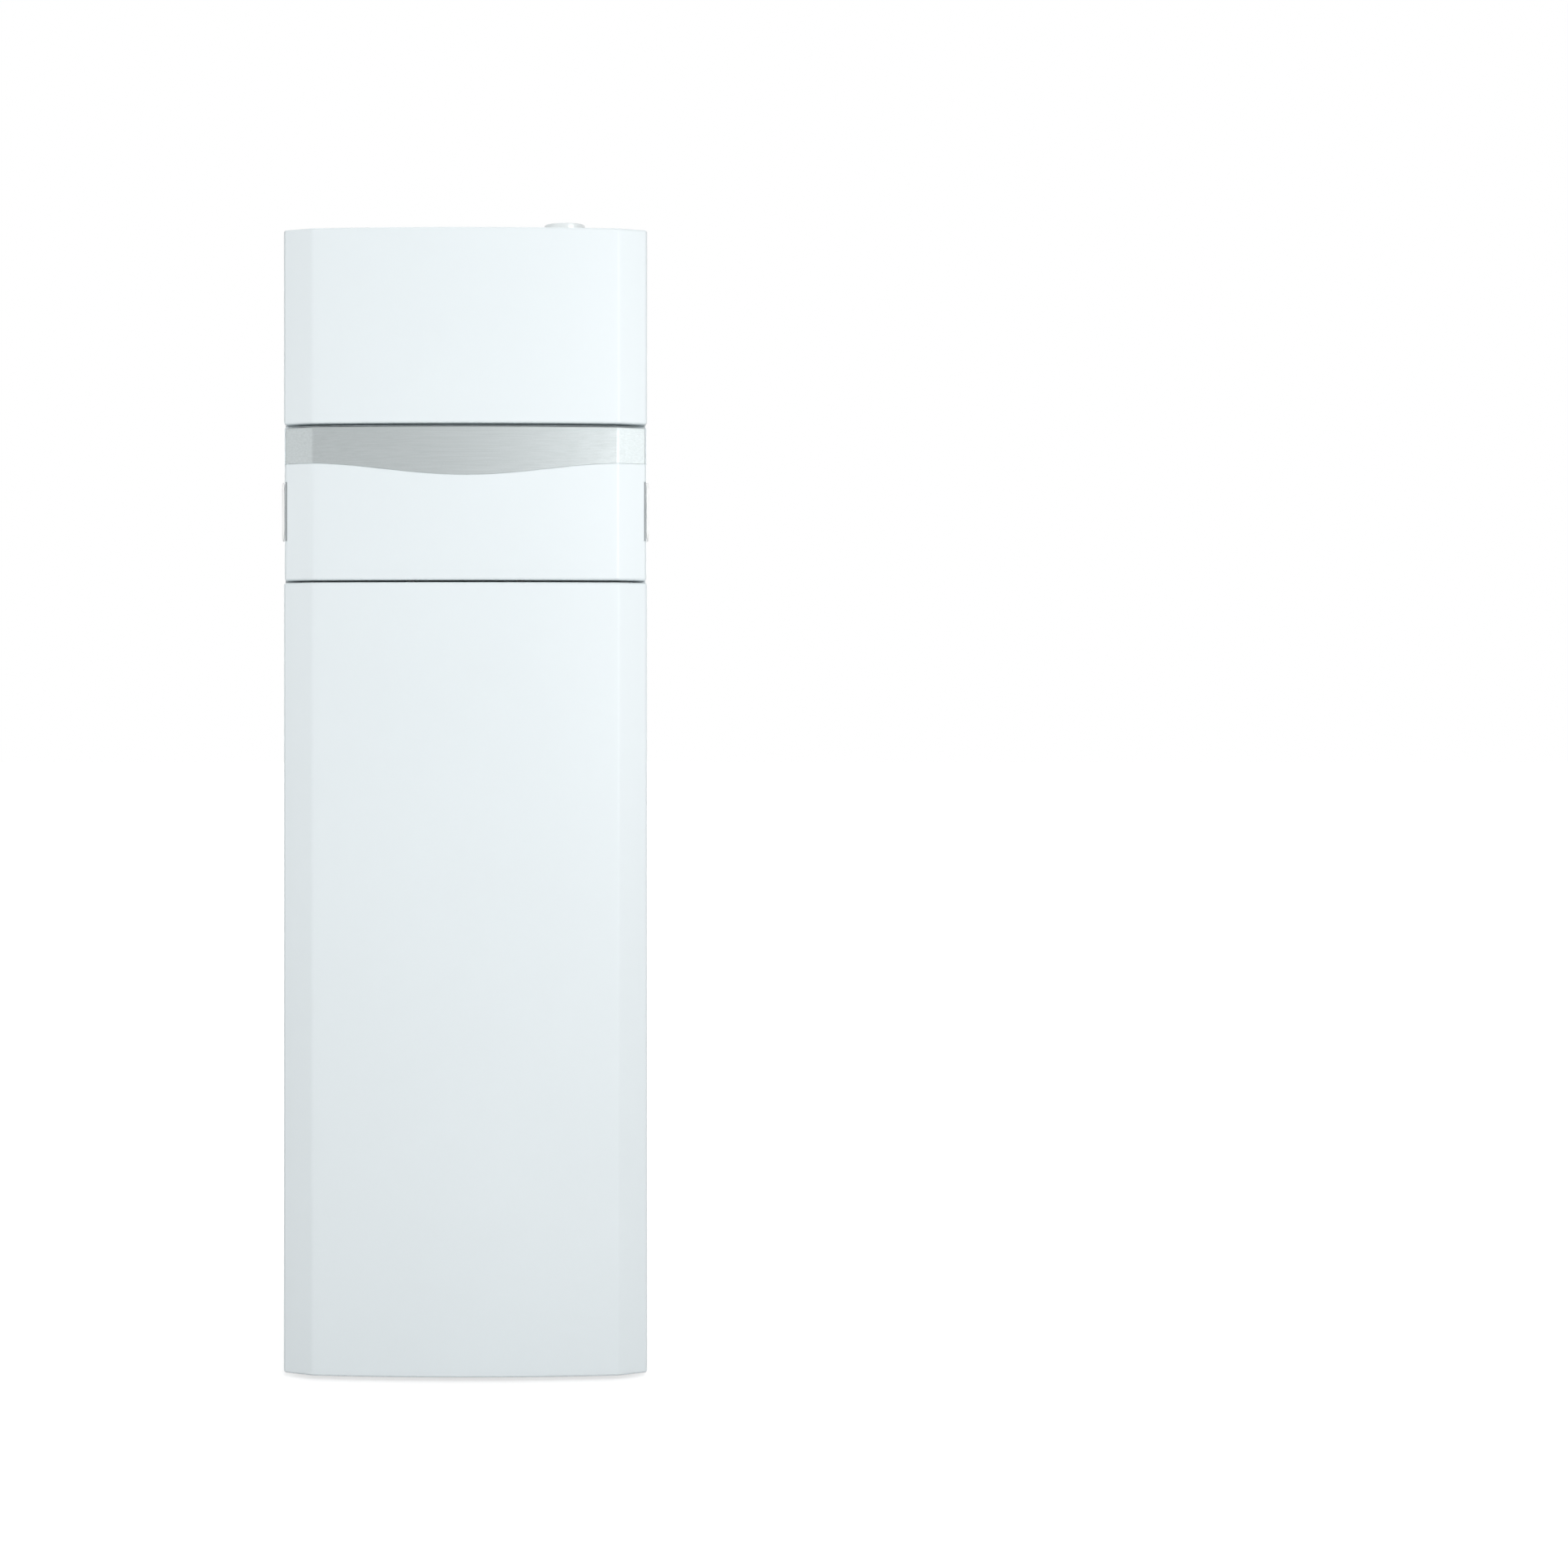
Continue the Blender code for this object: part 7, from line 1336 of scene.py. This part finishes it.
def make_gas_valve_fittings():
    """The gas valve's coil caps, plugs, test nipples and screws."""
    low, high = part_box("gas_valve")
    face = low.y
    coils = (-0.227, -0.197)
    levels = (high.z - 0.0002, high.z + 0.0022)
    caps = [banded("Z", (x, -0.190), 0.0, 0.0112, *levels, 0.0008, 32) for x in coils]
    piece("solenoid_caps", caps, "stainless_steel")
    plugs = [block(x - 0.0085, x + 0.0085, -0.2170, -0.2010, 1.6530, 1.6720) for x in coils]
    piece("solenoid_plugs", plugs, "dark_plastic", soft=(0.0014, 3))
    nipple = [(0, -0.0120), (0.0022, -0.0120), (0.0026, -0.0112), (0.0026, -0.0050), (0.0046, -0.0050)]
    nipple += [(0.0046, 0), (0, 0)]
    adjuster = [(0, -0.0070), (0.0060, -0.0070), (0.0070, -0.0060), (0.0070, 0), (0, 0)]
    turns = ((nipple, -0.232, 20), (nipple, -0.216, 20), (adjuster, -0.194, 28))
    nipples = [turned(profile, "Y", (x, 1.6320), sides, face) for profile, x, sides in turns]
    piece("test_nipples", nipples, "brass")
    corners = [(x, face, z) for x in (-0.2375, -0.1865) for z in (1.5865, 1.6120)]
    screws("valve_screws", corners, "Y", -1)


def make_clamps():
    """The two bolted clamp bands of the heat exchanger, and the band of the flue pipe."""
    across, level = -0.070, 1.730
    inner, outer, width = 0.1112, 0.1124, 0.014
    ears = (level + 0.1105, level + 0.1230)
    clamps = []
    for depth in (0.060, 0.186):
        clamps.append(banded("Y", (across, level), inner, outer, depth, depth + width, 0.0002, 96))
        for ear in (across - 0.020, across):
            clamps.append(block(ear, ear + 0.008, depth + 0.001, depth + width - 0.001, *ears))
        bolt = circle((depth + width / 2, level + 0.118), 0.0021, 12, math.radians(45))
        clamps.append(prism(bolt, across - 0.024, across + 0.014, "X"))
    piece("exchanger_clamps", clamps, "stainless_steel")
    band = banded("Z", middle("flue_adapter", "Z"), 0.0354, 0.0368, 1.760, 1.772, 0.0003, 56)
    piece("flue_clamp", band, "stainless_steel")


def make_pump_fittings():
    """The pump's dial, marks, screws, cooling fins, terminal box and unions."""
    low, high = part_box("pump_head")
    pump = middle("pump_head", "Y")
    front, head = low.y, low.y + 0.0080
    dial = [(0, -0.0050), (0.0085, -0.0050), (0.0098, -0.0038), (0.0104, 0), (0, 0)]
    piece("pump_dial", turned(dial, "Y", pump, 40, front), "red_plastic")
    marks = [printed(bar(pump, 0.0030, 0.0078, 0.0013, math.radians(60)), front - 0.0050)]
    for step in range(11):
        marks.append(printed(bar(pump, 0.0130, 0.0165, 0.0010, math.radians(225 - 27 * step)), front))
    marked("pump_marks", marks, white_print(), "light_plastic")
    places = [(x, head, z) for x, z in circle(pump, 0.0315, 4, math.radians(45))]
    screws("pump_screws", places, "Y", -1)
    fins = []
    for turn in range(28):
        outline = bar(pump, 0.0400, 0.0422, 0.0020, FULL_TURN * turn / 28)
        fins.append(prism(outline, head + 0.012, high.y - 0.012, "Y"))
    piece("pump_fins", fins, "dark_plastic", smooth=False)
    terminal = block(pump[0] - 0.020, pump[0] + 0.020, -0.080, -0.040, high.z - 0.004, high.z + 0.012)
    piece("pump_terminal_box", terminal, "dark_plastic", soft=(0.0025, 3))
    unions = [collared_nut((-0.205, 0.0), 0.0195, foot, foot + 0.016) for foot in (1.1500, 1.2740)]
    piece("pump_unions", unions, "brass")


def make_diverter_fittings():
    """The diverter actuator's release, screws and plug, and the nut under it."""
    low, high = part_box("diverter_actuator")
    centre = middle("diverter_actuator", "Z")
    x, y = centre
    release = [(0, 0.0040), (0.0075, 0.0040), (0.0082, 0.0032), (0.0082, 0), (0, 0)]
    piece("actuator_release", turned(release, "Z", centre, 32, high.z), "red_plastic")
    places = [(x + dx, y + dy, high.z) for dx in (-0.017, 0.017) for dy in (-0.017, 0.017)]
    screws("actuator_screws", places, "Z", 1, 0.0024)
    plug = block(low.x - 0.010, low.x + 0.001, y - 0.009, y + 0.009, low.z + 0.012, low.z + 0.030)
    piece("actuator_plug", plug, "light_plastic", soft=(0.0012, 2))
    piece("diverter_nut", collared_nut((-0.100, -0.030), 0.0215, 1.1345, 1.1455), "brass")


def make_siphon():
    """The condensate siphon: a turned cup with ribs on its collar and grey rings."""
    low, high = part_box("condensate_siphon")
    siphon = middle("condensate_siphon", "Z")
    base, wide = low.z, (high.x - low.x) / 2
    cup = [(0, 0), (0.0270, 0), (0.0290, 0.0012), (0.0326, 0.0098), (0.0328, 0.0920)]
    cup += [(wide - 0.0008, 0.0920), (wide, 0.0928), (wide, 0.1012), (wide - 0.0012, 0.1024)]
    cup += [(0.0140, 0.1190), (0.0120, 0.1215)]
    cup = [(radius, base + rise) for radius, rise in cup]
    cup += [(0.0120, high.z - 0.0008), (0.0112, high.z), (0, high.z)]
    piece("siphon_cup", turned(cup, "Z", siphon, 64), "light_plastic", node="condensate_siphon")
    ribs = [banded("Z", siphon, 0.0325, 0.0342, z, z + 0.0030, 0.0008, 48) for z in (1.1320, 1.1520, 1.1720)]
    for turn in range(36):
        outline = bar(siphon, 0.0355, 0.0376, 0.0022, FULL_TURN * turn / 36)
        ribs.append(prism(outline, base + 0.0934, base + 0.1006))
    ribs.append(banded("Z", siphon, 0.0115, 0.0148, high.z - 0.0140, high.z - 0.0080, 0.0010, 32))
    piece("siphon_ribs", ribs, "grey_plastic")


def make_vessel_fittings():
    """The expansion vessel's valve cap and seam, and the safety valve's base nut."""
    vessel = (0.040, 1.273)
    cap = [(0, -0.0150), (0.0068, -0.0150), (0.0080, -0.0138), (0.0084, 0), (0, 0)]
    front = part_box("expansion_vessel")[0].y
    piece("vessel_valve_cap", turned(cap, "Y", vessel, 28, front), "dark_plastic")
    piece("vessel_bead", banded("Y", vessel, 0.1530, 0.1556, 0.1275, 0.1325, 0.0009, 96), "red_enamel")
    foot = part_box("safety_valve")[0].z
    nut = collared_nut((0.090, -0.130), 0.0205, foot + 0.0002, foot + 0.0128)
    piece("safety_valve_base", nut, "brass")


def make_store_fittings():
    """Straps round the store's insulation, their buckles, the drain cock's nut and its blind cap."""
    low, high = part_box("tank_jacket_right")
    centre, reach = (0.0, (low.y + high.y) / 2), high.x
    front = centre[1] - reach - 0.0010
    levels, width = (0.270, 0.560, 0.860), 0.022
    straps = [banded("Z", centre, reach - 0.0012, reach + 0.0010, z, z + width, 0.0003, 144) for z in levels]
    piece("store_straps", straps, "dark_plastic")
    depths = (front - 0.0055, front + 0.002)
    buckles = [block(-0.0210, 0.0210, *depths, z - 0.004, z + width + 0.004) for z in levels]
    piece("store_buckles", buckles, "grey_plastic", soft=(0.0022, 3))
    piece("drain_nut", collared_nut((0.050, 0.160), 0.0150, -0.2040, -0.1908, "Y"), "brass")
    cap = banded("Z", (0.050, -0.2245), 0.0, 0.0100, 0.1192, 0.1330, 0.0012, 24)
    piece("drain_cap", cap, "dark_plastic")


def seen_rays(tree, *kinds):
    """One for rays of these kinds, otherwise nothing."""
    path = tree.nodes.new("ShaderNodeLightPath")
    seen = 0.0
    for kind in kinds:
        seen = maths(tree, "MAXIMUM", seen, path.outputs[f"Is {kind} Ray"])
    return seen


def make_surround():
    """A white surround: full white to the camera and in reflections, softer on diffuse surfaces."""
    world = bpy.data.worlds.new("white_surround")
    bpy.context.scene.world = world
    world.use_nodes = True
    tree = world.node_tree
    background = tree.nodes["Background"]
    background.inputs["Color"].default_value = (1, 1, 1, 1)
    seen = seen_rays(tree, "Camera", "Glossy", "Transmission")
    strength = add_node(tree, "ShaderNodeMapRange", Value=seen, To_Min=studio().fill, To_Max=1.0)
    put(tree, background.inputs["Strength"], strength.outputs["Result"])


def make_floor():
    """A white floor that keeps the object's shadow and is lit up to the background's white for the camera."""
    made, shader, _ = surfaced("studio_floor", "moulded_skin", (0.62, 0.62, 0.62), Roughness=0.9, Mottle=0)
    tree = made.node_tree
    shader.inputs["Specular IOR Level"].default_value = 0
    away = add_node(tree, "ShaderNodeVectorMath", operation="LENGTH")
    put(tree, away.inputs[0], tree.nodes.new("ShaderNodeTexCoord").outputs["Object"])
    near = {"Value": away.outputs["Value"], "From_Min": 0.7, "From_Max": 2.4, "To_Min": 0.66, "To_Max": 1.0}
    nearness = add_node(tree, "ShaderNodeMapRange", interpolation_type="SMOOTHSTEP", **near)
    lift = maths(tree, "MULTIPLY", seen_rays(tree, "Camera", "Glossy"), nearness.outputs["Result"])
    shader.inputs["Emission Color"].default_value = (1, 1, 1, 1)
    put(tree, shader.inputs["Emission Strength"], lift)
    reach = 40
    shape = bmesh.new()
    shape.faces.new([shape.verts.new((x, y, 0)) for x, y in rectangle((0, 0), reach, reach)])
    floor = loose("studio_floor", shape)
    floor.data.materials.append(made)
    return floor


def area_lamp(name, place, target, size, power, hidden=None):
    """A square soft lamp aimed at a point, kept out of one kind of light where that is named."""
    light = bpy.data.lights.new(name, "AREA")
    light.shape = "SQUARE"
    light.size = size
    light.energy = power
    lamp = bpy.data.objects.new(name, light)
    bpy.context.scene.collection.objects.link(lamp)
    lamp.location = place
    lamp.rotation_euler = (Vector(target) - Vector(place)).to_track_quat("-Z", "Y").to_euler()
    if hidden:
        setattr(lamp, f"visible_{hidden}", False)
    return lamp


def make_camera():
    """The photograph's view; the shift frames the boiler at the left of the picture."""
    given = studio()
    data = bpy.data.cameras.new("photo_view")
    data.lens = given.lens
    data.sensor_width = 36
    data.sensor_fit = "HORIZONTAL"
    data.shift_x, data.shift_y = 0.2031, -0.0575
    data.clip_end = 200
    camera = bpy.data.objects.new("photo_view", data)
    bpy.context.scene.collection.objects.link(camera)
    camera.location = (0, side_plane() - given.camera_distance, given.camera_height)
    camera.rotation_euler = (QUARTER, 0, 0)
    bpy.context.scene.camera = camera


def make_stage():
    """Floor, surround, lamps and the photograph's view."""
    given = studio()
    make_surround()
    lamps = [
        area_lamp("key_lamp", (0.50, -4.20, 2.20), (0.05, -0.3, 1.45), 1.3, given.key, "glossy"),
        area_lamp("right_card", (3.06, -4.3, 2.1), (0, -0.3, 1.5), 3.0, given.side, "diffuse"),
        area_lamp("left_lamp", (-3.4, -2.2, 1.8), (0, -0.3, 1.1), 1.8, given.rim, "diffuse"),
        area_lamp("top_lamp", (0, 0.6, 4.2), (0, 0.2, 1.9), 2.0, given.above),
    ]
    for side in (-1, 1):
        lamps.append(area_lamp(f"rear_lamp_{side}", (side * 3.4, 3.2, 1.3), (0, 0, 1.0), 2.2, given.back))
    bpy.context.scene.view_settings.view_transform = "Standard"
    make_floor()
    make_camera()


class BOILER_OT_covers(bpy.types.Operator):
    """Builds the two removable covers with their lugs, studs and stiffeners"""

    bl_idname = "boiler.covers"
    bl_label = "Covers"

    def execute(self, context):
        make_cover("upper_cover")
        make_cover("lower_cover")
        return {"FINISHED"}


class BOILER_OT_flap(bpy.types.Operator):
    """Builds the flap with its silver band and its two grips"""

    bl_idname = "boiler.flap"
    bl_label = "Flap"

    def execute(self, context):
        make_flap_panel()
        make_flap_band()
        make_grip("left", -1)
        make_grip("right", 1)
        return {"FINISHED"}


class BOILER_OT_metalwork(bpy.types.Operator):
    """Dresses the casing sheets, castings, pipes and valves"""

    bl_idname = "boiler.metalwork"
    bl_label = "Metalwork"

    def execute(self, context):
        dress_nodes(metal=True)
        return {"FINISHED"}


class BOILER_OT_mouldings(bpy.types.Operator):
    """Dresses the moulded, foamed and painted pieces"""

    bl_idname = "boiler.mouldings"
    bl_label = "Mouldings"

    def execute(self, context):
        dress_nodes(metal=False)
        return {"FINISHED"}


class BOILER_OT_control(bpy.types.Operator):
    """Builds the knobs, scales, display signs, gauge dial and switch signs of the control unit"""

    bl_idname = "boiler.control"
    bl_label = "Control unit"

    def execute(self, context):
        make_knob("heating_knob")
        make_knob("water_knob")
        make_knob_scale("heating", "123456789", 0.12)
        make_knob_scale("water", [str(degrees) for degrees in range(35, 70, 5)], 0.0)
        make_display_signs()
        make_button_signs()
        make_gauge_dial()
        make_switch_signs()
        make_fascia_trim()
        return {"FINISHED"}


class BOILER_OT_top(bpy.types.Operator):
    """Builds the flue adapter, the union nuts of the pipes and the cord gland on top"""

    bl_idname = "boiler.top"
    bl_label = "Flue adapter and connections"

    def execute(self, context):
        make_flue_adapter()
        make_connections()
        make_cable_gland()
        return {"FINISHED"}


class BOILER_OT_casing(bpy.types.Operator):
    """Builds the beaded rear panel and the screws, nuts and catches of the casing"""

    bl_idname = "boiler.casing"
    bl_label = "Rear panel and casing fittings"

    def execute(self, context):
        make_rear_panel()
        make_casing_fittings()
        return {"FINISHED"}


class BOILER_OT_burner(bpy.types.Operator):
    """Builds the nuts, screws, igniter, test nipples and clamps of the burner module"""

    bl_idname = "boiler.burner"
    bl_label = "Burner fittings"

    def execute(self, context):
        make_door_fittings()
        make_fan_fittings()
        make_gas_valve_fittings()
        make_clamps()
        return {"FINISHED"}


class BOILER_OT_hydraulics(bpy.types.Operator):
    """Builds the fittings of pump, diverter, siphon, vessel, safety valve and store"""

    bl_idname = "boiler.hydraulics"
    bl_label = "Hydraulic fittings"

    def execute(self, context):
        make_pump_fittings()
        make_diverter_fittings()
        make_siphon()
        make_vessel_fittings()
        make_store_fittings()
        return {"FINISHED"}


class BOILER_OT_stage(bpy.types.Operator):
    """Sets the floor, the white surround, the lamps and the photograph's view"""

    bl_idname = "boiler.stage"
    bl_label = "Stage"

    def execute(self, context):
        make_stage()
        return {"FINISHED"}


STEPS = (
    BOILER_OT_covers,
    BOILER_OT_flap,
    BOILER_OT_metalwork,
    BOILER_OT_mouldings,
    BOILER_OT_control,
    BOILER_OT_top,
    BOILER_OT_casing,
    BOILER_OT_burner,
    BOILER_OT_hydraulics,
    BOILER_OT_stage,
)
GROUPS = {"boiler_sizes": BoilerSizes, "boiler_colours": BoilerColours, "boiler_studio": BoilerStudio}


class BOILER_PT_panel(bpy.types.Panel):
    """The boiler's sizes, colours, light and steps"""

    bl_idname = "BOILER_PT_panel"
    bl_label = "Floor standing boiler"
    bl_space_type = "VIEW_3D"
    bl_region_type = "UI"
    bl_category = "Boiler"

    def draw(self, context):
        layout = self.layout
        for title, group in GROUPS.items():
            layout.label(text=group.__doc__)
            for name in group.__annotations__:
                layout.prop(getattr(context.scene, title), name)
        for step in STEPS:
            layout.operator(step.bl_idname)


CLASSES = (*GROUPS.values(), *STEPS, BOILER_PT_panel)


def register():
    for made in CLASSES:
        bpy.utils.register_class(made)
    for name, group in GROUPS.items():
        setattr(bpy.types.Scene, name, bpy.props.PointerProperty(type=group))


def unregister():
    for name in GROUPS:
        delattr(bpy.types.Scene, name)
    for made in reversed(CLASSES):
        bpy.utils.unregister_class(made)


def main():
    """Builds everything in order."""
    register()
    for step in STEPS:
        getattr(bpy.ops.boiler, step.bl_idname.split(".")[1])()


if __name__ == "__main__":
    main()
